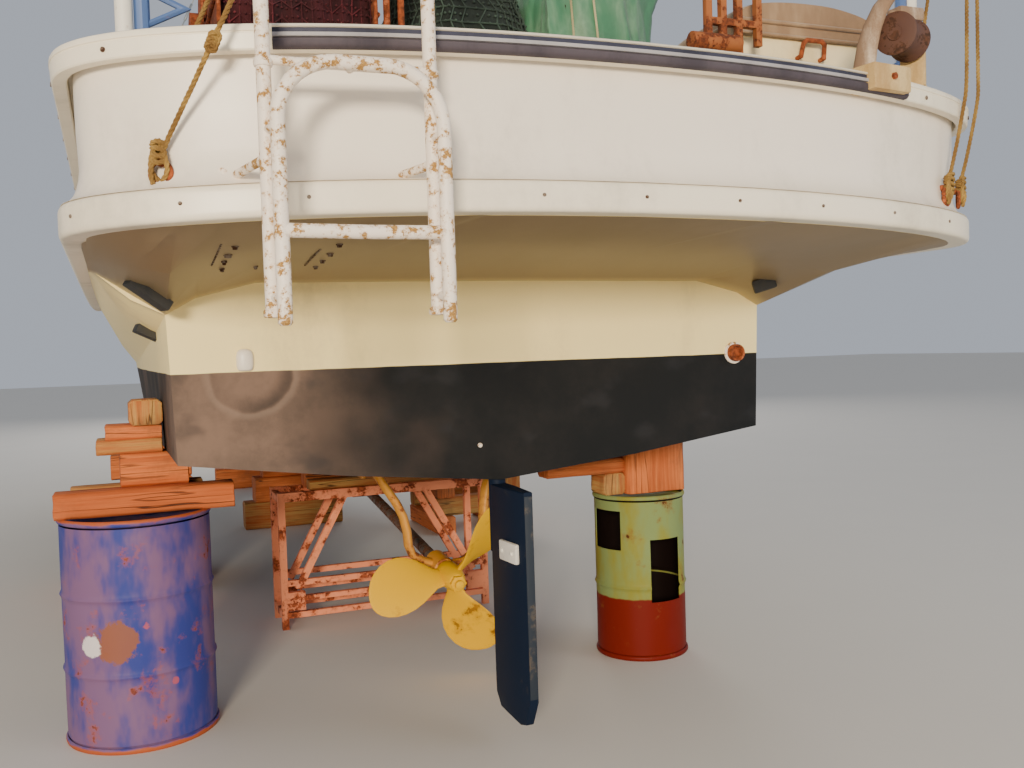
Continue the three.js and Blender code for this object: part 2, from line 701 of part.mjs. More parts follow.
function netDrumFrame() {
  const { y, z, left, right } = NET_DRUM;
  const parts = [];
  for (const [x, out] of [[left - 34, -1], [right + 34, 1]]) {
    parts.push(beam([x, y - 330, SUNK_Z], [x, y, z], 30, 60), beam([x, y + 330, SUNK_Z], [x, y, z], 30, 60));
    parts.push(rod([x - 22, y, z], [x + 22, y, z], 62, 16));
    parts.push(box(x - 15, x + 15, y - 330, y + 330, 1990, 2040));
  }
  parts.push(box(left - 34, right + 34, y - 345, y - 305, 1960, 2000));
  for (const x of GUIDE.posts) parts.push(rod([x, GUIDE.y, SUNK_Z], [x, GUIDE.y, GUIDE.top], GUIDE.tube, 8));
  parts.push(box(GUIDE.posts[0] - 20, left, GUIDE.y - 12, GUIDE.y + 12, 1990, 2040));
  const [inboard, outboard] = GUIDE.posts;
  parts.push(rod([inboard - 60, GUIDE.y, GUIDE.top], [outboard + 40, GUIDE.y, GUIDE.top], GUIDE.tube, 8));
  const bore = rod([left - 200, y, z], [right + 200, y, z], 30, 16);
  return onDeck(cut(join(parts), bore));
}

// Winch on its bed, with two rope drums and two warping heads on one shaft.
const WINCH = { y: -2850, z: 2300, shaft: 59.4 };

function winchDrums() {
  const { y, z, shaft } = WINCH;
  const half = [
    [60, shaft], [60, 230], [76, 230], [82, 120], [334, 120], [340, 230], [356, 230], [356, shaft],
    [430, shaft], [430, 95], [470, 66], [540, 66], [580, 92], [580, 0],
  ];
  const left = half.map(([x, r]) => [-x, r]).reverse();
  return turned([...left, ...half], y, z, 16);
}

function winchFrame() {
  const { y, z } = WINCH;
  const parts = [];
  for (const x of [-393, 393, 0]) {
    const wide = x === 0 ? 28 : 25;
    parts.push(box(x - wide, x + wide, y - 210, y + 210, 1800, z - 60));
    parts.push(box(x - wide, x + wide, y - 90, y + 90, z - 61, z + 90));
  }
  parts.push(box(-470, 470, y - 250, y + 250, 1800, 1990));
  const shaft = rod([-500, y, z], [500, y, z], WINCH.shaft + 1.1, 24);
  return onDeck(cut(join(parts), shaft));
}

// A coaming round a hatch, and a lid hinged at its forward edge.
function coaming({ half, aft, fore, height, wall }) {
  const top = deckMid(0, fore) + H + height;
  return onDeck(cut(
    box(-half, half, fore, aft, 1700, top),
    box(-half + wall, half - wall, fore + wall, aft - wall, 1000, top + 10),
  ));
}

function lid({ half, aft, fore, height }) {
  const top = deckMid(0, fore) + H + height;
  const outer = box(-half - 30, half + 30, fore - 30, aft + 30, top - 60, top + 45);
  return cut(outer, box(-half - 8, half + 8, fore - 8, aft + 8, top - 70, top + GAP));
}

function casing() {
  const { half, aft, fore, top } = CASING;
  const wall = 40;
  return onDeck(cut(
    box(-half, half, fore, aft, 1700, top),
    box(-half + wall, half - wall, fore + wall, aft - wall, 1000, top + 10),
  ));
}

function casingLid() {
  const { half, aft, fore, top } = CASING;
  return join(
    box(-half - 20, half + 20, fore + 30, aft + 20, top + GAP, top + 40),
    box(-half + 120, -half + 150, fore + 140, aft - 140, top + 39, top + 66),
    box(half - 150, half - 120, fore + 140, aft - 140, top + 39, top + 66),
  );
}

// Wheelhouse: four walls on a base, with window and door openings cut.
const WINDOW = { low: 3080, high: 3620 };
const DOOR = { half: 290, high: 3780 };
const FLOOR = 2060;
const FRONT_PANES = [[-680, -260], [-220, 220], [260, 680]];
const SIDE_PANES = [[-6380, -5920], [-5860, -5400]];

function wheelhouse() {
  const outer = box(-HOUSE_HALF, HOUSE_HALF, HOUSE_FORE, HOUSE_AFT, 1700, HOUSE_TOP);
  const room = HOUSE_HALF - WALL;
  const { low, high } = WINDOW;
  const cuts = [box(-room, room, HOUSE_FORE + WALL, HOUSE_AFT - WALL, FLOOR, HOUSE_TOP + 10)];
  for (const [x0, x1] of FRONT_PANES) {
    cuts.push(box(x0, x1, HOUSE_FORE - 10, HOUSE_FORE + WALL + 10, low, high));
  }
  for (const [y0, y1] of SIDE_PANES) cuts.push(box(-HOUSE_HALF - 10, HOUSE_HALF + 10, y0, y1, low, high));
  cuts.push(box(-DOOR.half, DOOR.half, HOUSE_AFT - WALL - 10, HOUSE_AFT + 10, CASING.top + 90, DOOR.high));
  return onDeck(cut(outer, cuts));
}

function roof() {
  const rings = [[HOUSE_FORE - 180, 0], [HOUSE_FORE - 100, 18], [HOUSE_AFT + 100, 18], [HOUSE_AFT + 180, 0]];
  return loft(rings.map(([y, lift]) => [
    [-HOUSE_HALF - 90, y, HOUSE_TOP + GAP], [HOUSE_HALF + 90, y, HOUSE_TOP + GAP],
    [HOUSE_HALF + 90, y, HOUSE_TOP + 50], [HOUSE_HALF * 0.5, y, HOUSE_TOP + 78 + lift],
    [-HOUSE_HALF * 0.5, y, HOUSE_TOP + 78 + lift], [-HOUSE_HALF - 90, y, HOUSE_TOP + 50],
  ]));
}

// Depths of the glass in the wall, of the bead behind it, and the heights of the bead under the panes.
const PANE = { front: 18, back: 26, bead: WALL + 1, beadBack: WALL + 5, lap: 9, drop: 12 };

function frontGlass() {
  const { front, back, bead, beadBack, lap, drop } = PANE;
  const at = (inset) => HOUSE_FORE + inset;
  const { low, high } = WINDOW;
  const parts = [box(-690, 690, at(bead), at(beadBack), low - drop, low - 2)];
  for (const [x0, x1] of FRONT_PANES) {
    parts.push(box(x0 + GAP, x1 - GAP, at(front), at(back), low + GAP, high - GAP));
    parts.push(box(x0 + 20, x1 - 20, at(front), at(beadBack), low + 1, low + lap));
    parts.push(box(x0 + 20, x1 - 20, at(bead), at(beadBack), low - drop, low + lap));
  }
  return join(parts);
}

function sideGlass(side) {
  const { front, back, bead, beadBack, lap, drop } = PANE;
  const { low, high } = WINDOW;
  const inset = (outer, inner, ...rest) => mirrored(side, HOUSE_HALF - inner, HOUSE_HALF - outer, ...rest);
  const parts = [inset(bead, beadBack, SIDE_PANES[0][0] - 8, SIDE_PANES[1][1] + 8, low - drop, low - 2)];
  for (const [y0, y1] of SIDE_PANES) {
    parts.push(inset(front, back, y0 + GAP, y1 - GAP, low + GAP, high - GAP));
    parts.push(inset(front, beadBack, y0 + 20, y1 - 20, low + 1, low + lap));
    parts.push(inset(bead, beadBack, y0 + 20, y1 - 20, low - drop, low + lap));
  }
  return join(parts);
}

function door() {
  return join(
    box(-DOOR.half + 6, DOOR.half - 6, HOUSE_AFT - WALL + 6, HOUSE_AFT - 4, CASING.top + 96, DOOR.high - 6),
    rod([DOOR.half - 60, HOUSE_AFT - 10, 3250], [DOOR.half - 60, HOUSE_AFT + 20, 3250], 14, 8),
    rod([-DOOR.half + 6, HOUSE_AFT - 4, 2980], [-DOOR.half + 6, HOUSE_AFT - 4, 3080], 6 - GAP, 12),
    rod([-DOOR.half + 6, HOUSE_AFT - 4, 3560], [-DOOR.half + 6, HOUSE_AFT - 4, 3660], 6 - GAP, 12),
  );
}

// Mast on the wheelhouse roof, and the cargo boom that swings about its heel.
const MAST = { y: -4900, top: 6050, radius: 45 };
const RADAR = { y: MAST.y - 470, z: 4940, half: 390 };
const BOOM = { y: -4740, z: 4230, reach: 3350, rise: 1150 };

function mast() {
  const { y, top, radius } = MAST;
  return cut(join(
    rod([0, y, HOUSE_TOP + 30], [0, y, top], radius, 14),
    box(-150, 150, y - 150, y + 130, HOUSE_TOP + 60, HOUSE_TOP + 118),
    rod([-450, y, 5250], [450, y, 5250], 18, 8),
    box(-90, 90, RADAR.y - 90, y - 30, RADAR.z - 30, RADAR.z),
    box(-25, 25, y + 30, BOOM.y + 45, BOOM.z - 90, BOOM.z - 55),
    rod([0, BOOM.y, BOOM.z - 91], [0, BOOM.y, BOOM.z - 20], 23, 14),
    rod([0, y, top - 80], [0, y, top + 120], 60, 12),
  ), ROOF.translate(0, 0, GAP));
}

function boom() {
  const { y, z, reach, rise } = BOOM;
  const tip = [0, y + reach, z + rise];
  const heel = [0, y + 22, z + 26];
  const socket = cut(
    rod([0, y, z - 50], [0, y, z + 60], 42, 14),
    rod([0, y, z - 60], [0, y, z - 10], 24, 14),
  );
  const hook = rod([0, tip[1] - 30, tip[2] - 140], tip, 14, 8);
  return cut(join(rod(heel, tip, 34, 12), socket, hook), rod([0, y, z - 60], [0, y, z - 10], 24, 14));
}

function radar() {
  const { y, z, half } = RADAR;
  const scanner = box(-half, half, y - 55, y + 55, z + 100, z + 190);
  return join(rod([0, y, z + GAP], [0, y, z + 120], 70, 16), scanner);
}

// Roller for warps on the starboard quarter, and its bracket on the cap.
const ROLLER = { x: -960, y: 1108, z: 2425, turn: 26, pin: 15.2 };

function sternRoller() {
  const { x, y, z, turn, pin } = ROLLER;
  const half = [[62, 56], [82, 66], [82, pin], [105, pin], [105, 0]];
  const left = half.map(([along, radius]) => [-along, radius]).reverse();
  return turned([...left, ...half], 0, 0, 20).rotate([0, 0, turn]).translate(x, y, z);
}

function rollerBracket() {
  const { x, y, z, turn, pin } = ROLLER;
  const parts = [];
  for (const end of [-95, 95]) {
    parts.push(box(end - 9, end + 9, -42, 42, -150, 0), rod([end - 9, 0, 0], [end + 9, 0, 0], 42, 14));
  }
  parts.push(box(-104, 104, -42, 42, -150, -92));
  const bore = rod([-140, 0, 0], [140, 0, 0], pin + 0.8, 14);
  const whole = cut(join(parts), bore).rotate([0, 0, turn]).translate(x, y, z);
  return cut(whole, CAPS.stern, CAPS.stern.translate(0, 0, GAP));
}

// Blue-grey rubber strip along the middle of the stern cap.
const STRIP = { port: 975, starboard: -1010 };

function sternStrip() {
  const window = box(STRIP.starboard, STRIP.port, 700, 1400, 2100, 2500);
  const strip = window.intersect(sternRail(stripProfile));
  return cut(strip, CAPS.stern.translate(0, GAP * 0.7, 0));
}

// Locker with a rounded cover on the starboard quarter.
const LOCKER = { x0: -1175, x1: -640, y0: 330, y1: 725, top: 2520 };

function locker() {
  const { x0, x1, y0, y1, top } = LOCKER;
  return onDeck(box(x0, x1, y0, y1, SUNK_Z, top));
}

function lockerCover() {
  const { x0, x1, y0, y1, top } = LOCKER;
  const outline = [[x0 - 15, top + GAP], [x1 + 15, top + GAP], [x1 + 15, top + 30]];
  for (let i = 1; i < 8; i += 1) {
    const angle = (i / 8) * Math.PI;
    outline.push([(x0 + x1) / 2 + ((x1 - x0) / 2 + 15) * Math.cos(angle), top + 30 + 110 * Math.sin(angle)]);
  }
  outline.push([x0 - 15, top + 30]);
  return crossPlate(outline, y0 - 15, y1 + 15);
}

// Steel grid on a stand beside the locker.
const GRID = {
  y: 830, posts: [-440, -495, -555, -630], bar: 11, low: 2513, top: 2700, foot: 2445, footRadius: 30,
};

function gridStand() {
  const { y, posts, bar, low, top, foot, footRadius } = GRID;
  const [first] = posts;
  const last = posts[posts.length - 1];
  const parts = posts.map((x) => box(x - bar, x + bar, y - bar, y + bar, foot, top));
  for (const z of [low, top - bar]) parts.push(box(last, first, y - bar, y + bar, z - bar, z + bar));
  for (const x of [posts[1], posts[2]]) parts.push(box(x - bar, x + bar, y - bar, y + bar, SUNK_Z, foot));
  parts.push(rod([posts[2], y, foot], [first + 64, y, foot], footRadius, 12));
  return onDeck(join(parts));
}

// Net bundle under a green tarpaulin in the middle of the after deck, and a lower heap of net beside it.
// Columns: z, middle x, half length, half width.
const BUNDLE = [
  [1890, -490, 400, 330], [2100, -490, 430, 370], [2500, -490, 380, 350], [2800, -490, 330, 300],
  [2980, -490, 350, 230], [3090, -500, 250, 150], [3130, -520, 110, 70],
];
const HEAP = [
  [1890, 60, 300, 300], [2150, 70, 320, 350], [2600, 90, 290, 310], [2850, 100, 240, 230],
  [2990, 110, 110, 110],
];
const NET_Y = -120;
const NET_ROUNDING = 0.7;

function rounded(rows, sides = 14) {
  const bulge = (value) => Math.sign(value) * Math.abs(value) ** NET_ROUNDING;
  return loft(rows.map(([z, x, half, wide]) => Array.from({ length: sides }, (_, i) => {
    const angle = (i / sides) * 2 * Math.PI;
    return [x + half * bulge(Math.cos(angle)), NET_Y + wide * bulge(Math.sin(angle)), z];
  })));
}

function bundle() {
  return onDeck(join(rounded(BUNDLE), rounded(HEAP)));
}

// Forward deck fittings.
function bitt() {
  return onDeck(join(
    box(-70, 70, -8870, -8730, 1900, 2980),
    rod([-210, -8800, 2860], [210, -8800, 2860], 26, 10),
  ));
}

// Mooring roller on the stem head, between two cheeks, with the lug that holds the forestay.
const STEM = { y: -10620, z: bulwarkTop(STEM_Y) + deckMid(0, STEM_Y), cheek: 62, roller: 34, lug: 150, fall: 0.25 };

function bowRoller() {
  const { y, z, cheek, roller, lug } = STEM;
  const sole = (along) => [y + along, z - 30 - along * STEM.fall];
  const parts = [sidePlate([sole(-60), sole(140), [y + 140, z + 14], [y - 60, z + 14]], -cheek, cheek)];
  const outline = [sole(-80), [y - 80, z + 60], [y - 50, z + 92], [y + 10, z + 92], sole(60)];
  for (const x of [-cheek, cheek - 10]) parts.push(sidePlate(outline, x, x + 10));
  parts.push(rod([5 - cheek, y - 30, z + 54], [cheek - 5, y - 30, z + 54], roller, 16));
  parts.push(rod([0, y + 120, z + 5], [0, y + 120, z + lug], 16, 12));
  const caps = CAPS.port.add(CAPS.starboard);
  const ways = [-GAP, GAP];
  const seats = ways.flatMap((dx) => ways.flatMap((dy) => ways.map((dz) => caps.translate(dx, dy, dz))));
  return cut(join(parts), seats);
}

// Forestay from the masthead to the stem head, with an eye at each end.
function forestay(post) {
  const eye = 20;
  const foot = [0, STEM.y + 120, STEM.z + STEM.lug + eye + GAP];
  const head = [0, MAST.y, MAST.top - 30];
  const stay = join(rod(foot, head, 7, 8), rod([-10, foot[1], foot[2]], [10, foot[1], foot[2]], eye, 12));
  const behind = box(-100, 100, MAST.y, MAST.y + 100, MAST.top - 200, MAST.top + 100);
  return cut(stay, post.translate(0, -GAP, 0), behind);
}

function engine() {
  return box(-260, 260, CASING.fore + 190, CASING.aft - 230, 1080 + GAP, 1760);
}

function exhaustOutlet() {
  const tube = rod([-1075, GAP, 1440], [-1075, 36, 1440], 36, 20);
  return cut(tube, rod([-1075, 8, 1440], [-1075, 60, 1440], 27, 20));
}

// Shore supports. Every one stands on the ground.
const DRUM = { radius: 292, height: 885 };
const PORT_DRUM = { x: 1320, y: -700 };

function drum({ x, y }, radius = DRUM.radius, height = DRUM.height) {
  const r = radius;
  const h = height;
  const profile = [
    [0, 0], [r, 0], [r - 6, 22], [r - 7, h * 0.31], [r, h * 0.33], [r - 7, h * 0.35], [r - 7, h * 0.64],
    [r, h * 0.66], [r - 7, h * 0.68], [r - 6, h - 22], [r, h], [r - 14, h], [r - 14, h - 14], [0, h - 14],
  ];
  return upright(profile, x, y, 22);
}

// Timber stacks. Columns: lowest x, highest x, lowest y, highest y, lowest z, highest z.
function stack(rows) {
  return underHull(join(rows.map((row) => box(...row))));
}

const PORT_TIMBER = [
  [940, 1613, -700, -560, 885.3, 985],
  [1050, 1560, -860, -740, 885.3, 985],
  [1110, 1372, -860, -640, 984, 1117],
  [1203, 1454, -850, -650, 1116, 1175],
  [1203, 1420, -860, -660, 1174, 1230],
  [1203, 1330, -850, -640, 1229, 1330],
];

const CENTRE_DRUM = { x: -970, y: -680, radius: 222, height: 775, wall: 14 };

// A hollow drum with a hole cut in its after side and a smaller one high on its port side.
function centreDrum() {
  const { x, y, radius, height, wall } = CENTRE_DRUM;
  const body = upright([
    [0, 0], [radius, 0], [radius - 5, 22], [radius - 5, height * 0.42], [radius, height * 0.44],
    [radius - 5, height * 0.46], [radius - 5, height - 20], [radius, height], [0, height],
  ], x, y, 20);
  const bore = radius - wall;
  const inside = upright([[0, wall], [bore, wall], [bore, height - wall], [0, height - wall]], x, y, 20);
  const holes = [
    box(x - 114, x + 58, y, y + radius + 20, 275, 570),
    box(x, x + radius + 20, y - 46, y + 80, 535, 720),
  ];
  return cut(body, inside, holes);
}

const CENTRE_TIMBER = [
  [-1174, -861, -760, -570, 775.3, 1200],
  [-862, -745, -740, -600, 775.3, 880],
  [-862, -455, -720, -600, 879, 950],
];

const TRESTLE = { y: -1850, half: 578, top: 745, tube: 36, depth: 280, foot: 60 };

// Two square-tube frames, braced and tied.
function trestle() {
  const { y, half, top, tube, depth, foot } = TRESTLE;
  const parts = [];
  const rows = [y, y - depth];
  for (const row of rows) {
    const across = (z, deep) => box(-half, half, row - tube / 2, row + tube / 2, z, z + deep);
    parts.push(across(top - 50, 50), across(235, 30), across(150, 26), across(foot, 30));
    for (const side of [-1, 1]) {
      parts.push(mirrored(side, half - tube / 2, half + tube / 2, row - tube / 2, row + tube / 2, 0, top));
      parts.push(beam([side * (half - 74), row, 215], [side * 226, row, top - 23], tube, tube));
      parts.push(mirrored(side, half - 110, half - tube / 2 + 1, row - tube / 2, row + tube / 2, 100, 200));
    }
  }
  for (const side of [-1, 1]) {
    for (const z of [top - 50, foot]) {
      parts.push(mirrored(side, half - tube / 2, half + tube / 2, y - depth, y, z, z + tube));
    }
  }
  return join(parts);
}

const TRESTLE_TIMBER = [
  [-420, -120, -2140, -1820, 745.3, 980],
  [120, 420, -2140, -1820, 745.3, 980],
  [-420, 420, -1960, -1860, 745.3, 800],
];

function keelBlock(y) {
  const top = keelBottom(y);
  const parts = [
    box(-420, 420, y - 110, y + 110, 0, 230),
    box(-330, 330, y - 130, y + 130, 229, 440),
    box(-260, 260, y - 100, y + 100, 439, top + 60),
  ];
  return cut(join(parts), KEEL.translate(0, 0, -GAP));
}

// Cribs of crossed timber under each bilge.
const CRIB = { inner: 960, outer: 1680, width: 150, layer: 150, rows: 7 };

function crib(side, y) {
  const { inner, outer, width, layer, rows } = CRIB;
  const parts = [];
  for (let row = 0; row < rows; row += 1) {
    const z = row * layer;
    const end = z + layer + (row < rows - 1 ? 1 : 90);
    if (row % 2 === 0) {
      for (const x of [inner, outer - width]) {
        const under = row < 4 || x < outer - width;
        if (under) parts.push(mirrored(side, x, x + width, y - 420, y + 420, z, end));
      }
    } else {
      for (const along of [-400, 250]) {
        const far = row < 4 ? outer : outer - width * 1.6;
        parts.push(mirrored(side, inner, far, y + along, y + along + width, z, end));
      }
    }
  }
  return underHull(join(parts));
}

const ROOF = roof();

add('ladder', 'painted', ladder());
add('stern_strip', 'strip', sternStrip());
add('gantry_leg_port', 'painted', gantryLeg(1));
add('gantry_leg_starboard', 'painted', gantryLeg(-1));
add('gantry_beam', 'painted', gantryBeam());
add('net_drum', 'net', netDrum());
add('net_drum_frame', 'rusted', netDrumFrame());
add('winch_drums', 'rusted', winchDrums());
add('winch_frame', 'blue', winchFrame());
add('hold_coaming', 'gelcoat', coaming(HATCH));
add('hold_lid', 'gelcoat', lid(HATCH));
add('fore_coaming', 'gelcoat', coaming(FORE_HATCH));
add('fore_lid', 'gelcoat', lid(FORE_HATCH));
add('engine_casing', 'gelcoat', casing());
add('casing_lid', 'gelcoat', casingLid());
add('engine_block', 'engine', engine());
add('wheelhouse', 'gelcoat', wheelhouse());
add('wheelhouse_roof', 'gelcoat', ROOF);
add('front_glass', 'glass', frontGlass());
add('side_glass_port', 'glass', sideGlass(1));
add('side_glass_starboard', 'glass', sideGlass(-1));
add('wheelhouse_door', 'painted', door());
const POST = add('mast', 'painted', mast());
add('boom', 'painted', boom());
add('radar_scanner', 'painted', radar());
add('stern_roller', 'cream', sternRoller());
add('roller_bracket', 'cream', rollerBracket());
add('stern_locker', 'cream', locker());
add('locker_cover', 'timber', lockerCover());
add('grid_stand', 'rusted', gridStand());
add('net_bundle', 'tarp', bundle());
add('bow_bitt', 'painted', bitt());
add('bow_roller', 'steel', bowRoller());
add('forestay', 'steel', forestay(POST));
add('exhaust_outlet', 'rusted', exhaustOutlet());
add('port_drum', 'blue', drum(PORT_DRUM));
add('port_timber', 'timber', stack(PORT_TIMBER));
add('centre_drum', 'halved', centreDrum());
add('centre_timber', 'timber', stack(CENTRE_TIMBER));
add('trestle', 'rusted', trestle());
add('trestle_timber', 'timber', stack(TRESTLE_TIMBER));
add('keel_block_mid', 'timber', keelBlock(-5200));
add('keel_block_fore', 'timber', keelBlock(-8000));
add('crib_port', 'timber', crib(1, -3400));
add('crib_starboard', 'timber', crib(-1, -4400));

// The boat stands with the middle of its length over the origin.
const MID_Y = -4690.9;
group.position.y = -MID_Y;

export default group;
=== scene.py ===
"""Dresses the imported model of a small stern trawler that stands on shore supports.

Lengths in the tables are millimetres in the maker's frame: bow towards -Y, port +X, +Z up, and Y zero
at the transom. Form.object turns them into metres in the row's frame.
"""

import json
import logging
import math
from dataclasses import dataclass, field
from enum import Enum
from typing import Callable, Sequence

import bmesh
import bpy
from mathutils import Matrix, Vector, noise
from mathutils.bvhtree import BVHTree


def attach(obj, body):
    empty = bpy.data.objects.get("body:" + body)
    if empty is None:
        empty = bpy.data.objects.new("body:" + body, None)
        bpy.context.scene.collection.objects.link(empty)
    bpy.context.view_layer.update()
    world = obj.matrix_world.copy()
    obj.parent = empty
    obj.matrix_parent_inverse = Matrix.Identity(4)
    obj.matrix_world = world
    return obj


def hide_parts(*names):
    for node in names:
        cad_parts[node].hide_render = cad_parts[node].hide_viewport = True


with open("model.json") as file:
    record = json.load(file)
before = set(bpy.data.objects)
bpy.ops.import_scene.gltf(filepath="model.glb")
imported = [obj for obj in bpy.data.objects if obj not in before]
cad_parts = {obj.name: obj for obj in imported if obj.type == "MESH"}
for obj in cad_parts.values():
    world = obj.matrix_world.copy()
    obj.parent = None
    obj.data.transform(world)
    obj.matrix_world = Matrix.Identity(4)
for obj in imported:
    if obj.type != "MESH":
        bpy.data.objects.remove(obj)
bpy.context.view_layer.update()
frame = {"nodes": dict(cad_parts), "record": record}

LOG = logging.getLogger("trawler")
Point = tuple[float, float, float]
Ring = list[Point]
Spot = Point | Vector
Flat = tuple[float, float]

ORIGIN_SHIFT = 4690.9
SMOOTH_ANGLE = math.radians(38)
WATERLINE = 1.436
BOARD_STEP = 3.7
ACROSS_STEP = 1.9
END_ROUND = 0.35
ACROSS, ALONG, UP = (1, 0, 0), (0, 1, 0), (0, 0, 1)
WELD = 0.0001
MERGE = 0.05


def rgb(code: str) -> tuple[float, float, float, float]:
    """Linear colour of a hexadecimal sRGB code.

    Args:
        code: Six hexadecimal digits.

    Returns:
        The colour with full alpha.
    """
    parts = [int(code[i:i + 2], 16) / 255 for i in (0, 2, 4)]
    linear = [c / 12.92 if c <= 0.04045 else ((c + 0.055) / 1.055) ** 2.4 for c in parts]
    return (*linear, 1.0)


class Body(Enum):
    """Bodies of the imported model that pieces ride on."""

    BOAT = "boat"
    RUDDER = "rudder"
    PROPELLER = "propeller"
    NET_DRUM = "net_drum"
    WINCH = "winch_drums"
    HOLD_LID = "hold_lid"
    FORE_LID = "fore_lid"
    CASING_LID = "casing_lid"
    DOOR = "wheelhouse_door"
    BOOM = "boom"
    RADAR = "radar_scanner"
    ROLLER = "stern_roller"


class Wiring:
    """Writes the nodes of one node tree."""

    def __init__(self, tree: bpy.types.NodeTree) -> None:
        """Keeps the tree that nodes are added to."""
        self.tree = tree

    def put(self, socket: bpy.types.NodeSocket, value: object) -> None:
        """Links a socket to another one, or sets its own value."""
        if isinstance(value, bpy.types.NodeSocket):
            self.tree.links.new(value, socket)
        else:
            socket.default_value = value

    def node(self, kind: str, inputs: dict | None = None, **settings: object) -> bpy.types.Node:
        """Adds a node.

        Args:
            kind: The node's type name.
            inputs: Values or sockets by input name or number.
            **settings: Properties of the node.

        Returns:
            The new node.
        """
        made = self.tree.nodes.new(kind)
        for name, value in settings.items():
            setattr(made, name, value)
        for key, value in (inputs or {}).items():
            self.put(made.inputs[key], value)
        return made

    def math(self, operation: str, a: object, b: object = 0.0) -> bpy.types.NodeSocket:
        """Adds a Math node and returns its output."""
        return self.node("ShaderNodeMath", {0: a, 1: b}, operation=operation).outputs[0]

    def times(self, a: object, b: object) -> bpy.types.NodeSocket:
        """Multiplies two numbers."""
        return self.math("MULTIPLY", a, b)

    def plus(self, a: object, b: object) -> bpy.types.NodeSocket:
        """Adds two numbers."""
        return self.math("ADD", a, b)

    def minus(self, a: object, b: object) -> bpy.types.NodeSocket:
        """Takes the second number from the first."""
        return self.math("SUBTRACT", a, b)

    def wobble(self, factor: object, amount: float) -> bpy.types.NodeSocket:
        """Centres a factor on zero and scales it."""
        return self.times(self.minus(factor, 0.5), amount)

    def vector(self, operation: str, a: object, b: object) -> bpy.types.NodeSocket:
        """Adds a Vector Math node and returns its vector, or its number where it gives one."""
        made = self.node("ShaderNodeVectorMath", {0: a, "Scale" if operation == "SCALE" else 1: b}, operation=operation)
        return made.outputs["Value" if operation in ("DISTANCE", "DOT_PRODUCT") else "Vector"]

    def parts(self, vector: object) -> Sequence[bpy.types.NodeSocket]:
        """Splits a vector into its three numbers."""
        return self.node("ShaderNodeSeparateXYZ", {0: vector}).outputs

    def noise(self, vector: object, scale: object, detail: float = 4.0, rough: float = 0.5) -> bpy.types.NodeSocket:
        """Adds a Noise Texture and returns its factor."""
        made = self.node("ShaderNodeTexNoise", {"Vector": vector, "Scale": scale, "Detail": detail,
                                                "Roughness": rough})
        return made.outputs[0]

    def band(self, value: object, low: object, high: object) -> bpy.types.NodeSocket:
        """Adds a smooth step from low to high and returns its result."""
        made = self.node("ShaderNodeMapRange", {"Value": value, "From Min": low, "From Max": high},
                         interpolation_type="SMOOTHSTEP")
        return made.outputs[0]

    def mix(self, factor: object, a: object, b: object) -> bpy.types.NodeSocket:
        """Adds a colour mix and returns its result."""
        return self.node("ShaderNodeMix", {0: factor, 6: a, 7: b}, data_type="RGBA").outputs[2]

    def stretch(self, vector: object, scale: Point, place: Point = (0, 0, 0)) -> bpy.types.NodeSocket:
        """Adds a Mapping node and returns its vector."""
        return self.node("ShaderNodeMapping", {"Vector": vector, "Scale": scale, "Location": place}).outputs[0]


def shader_group(name: str, inputs: Sequence[tuple[str, str, object]], outputs: Sequence[tuple[str, str]],
                 fill: Callable[[Wiring, dict, dict], None]) -> bpy.types.NodeTree:
    """Builds a shader node group.

    Args:
        name: The group's name.
        inputs: Name, kind and default of each input.
        outputs: Name and kind of each output.
        fill: Adds the nodes between the input sockets and the output sockets.

    Returns:
        The group.
    """
    tree = bpy.data.node_groups.new(name, "ShaderNodeTree")
    kinds = {"color": "NodeSocketColor", "value": "NodeSocketFloat", "vector": "NodeSocketVector"}
    for label, kind, default in inputs:
        made = tree.interface.new_socket(label, in_out="INPUT", socket_type=kinds[kind])
        made.default_value = default
    for label, kind in outputs:
        tree.interface.new_socket(label, in_out="OUTPUT", socket_type=kinds[kind])
    wiring = Wiring(tree)
    start = wiring.node("NodeGroupInput")
    end = wiring.node("NodeGroupOutput")
    fill(wiring, {s.name: s for s in start.outputs}, {s.name: s for s in end.inputs})
    return tree


def join_outputs(wiring: Wiring, outputs: dict, results: dict) -> None:
    """Links results to a group's outputs by name.

    Args:
        wiring: Writes the group's nodes.
        outputs: The group's output sockets by name.
        results: The sockets to link, by the same names.
    """
    for name, socket in results.items():
        wiring.tree.links.new(socket, outputs[name])


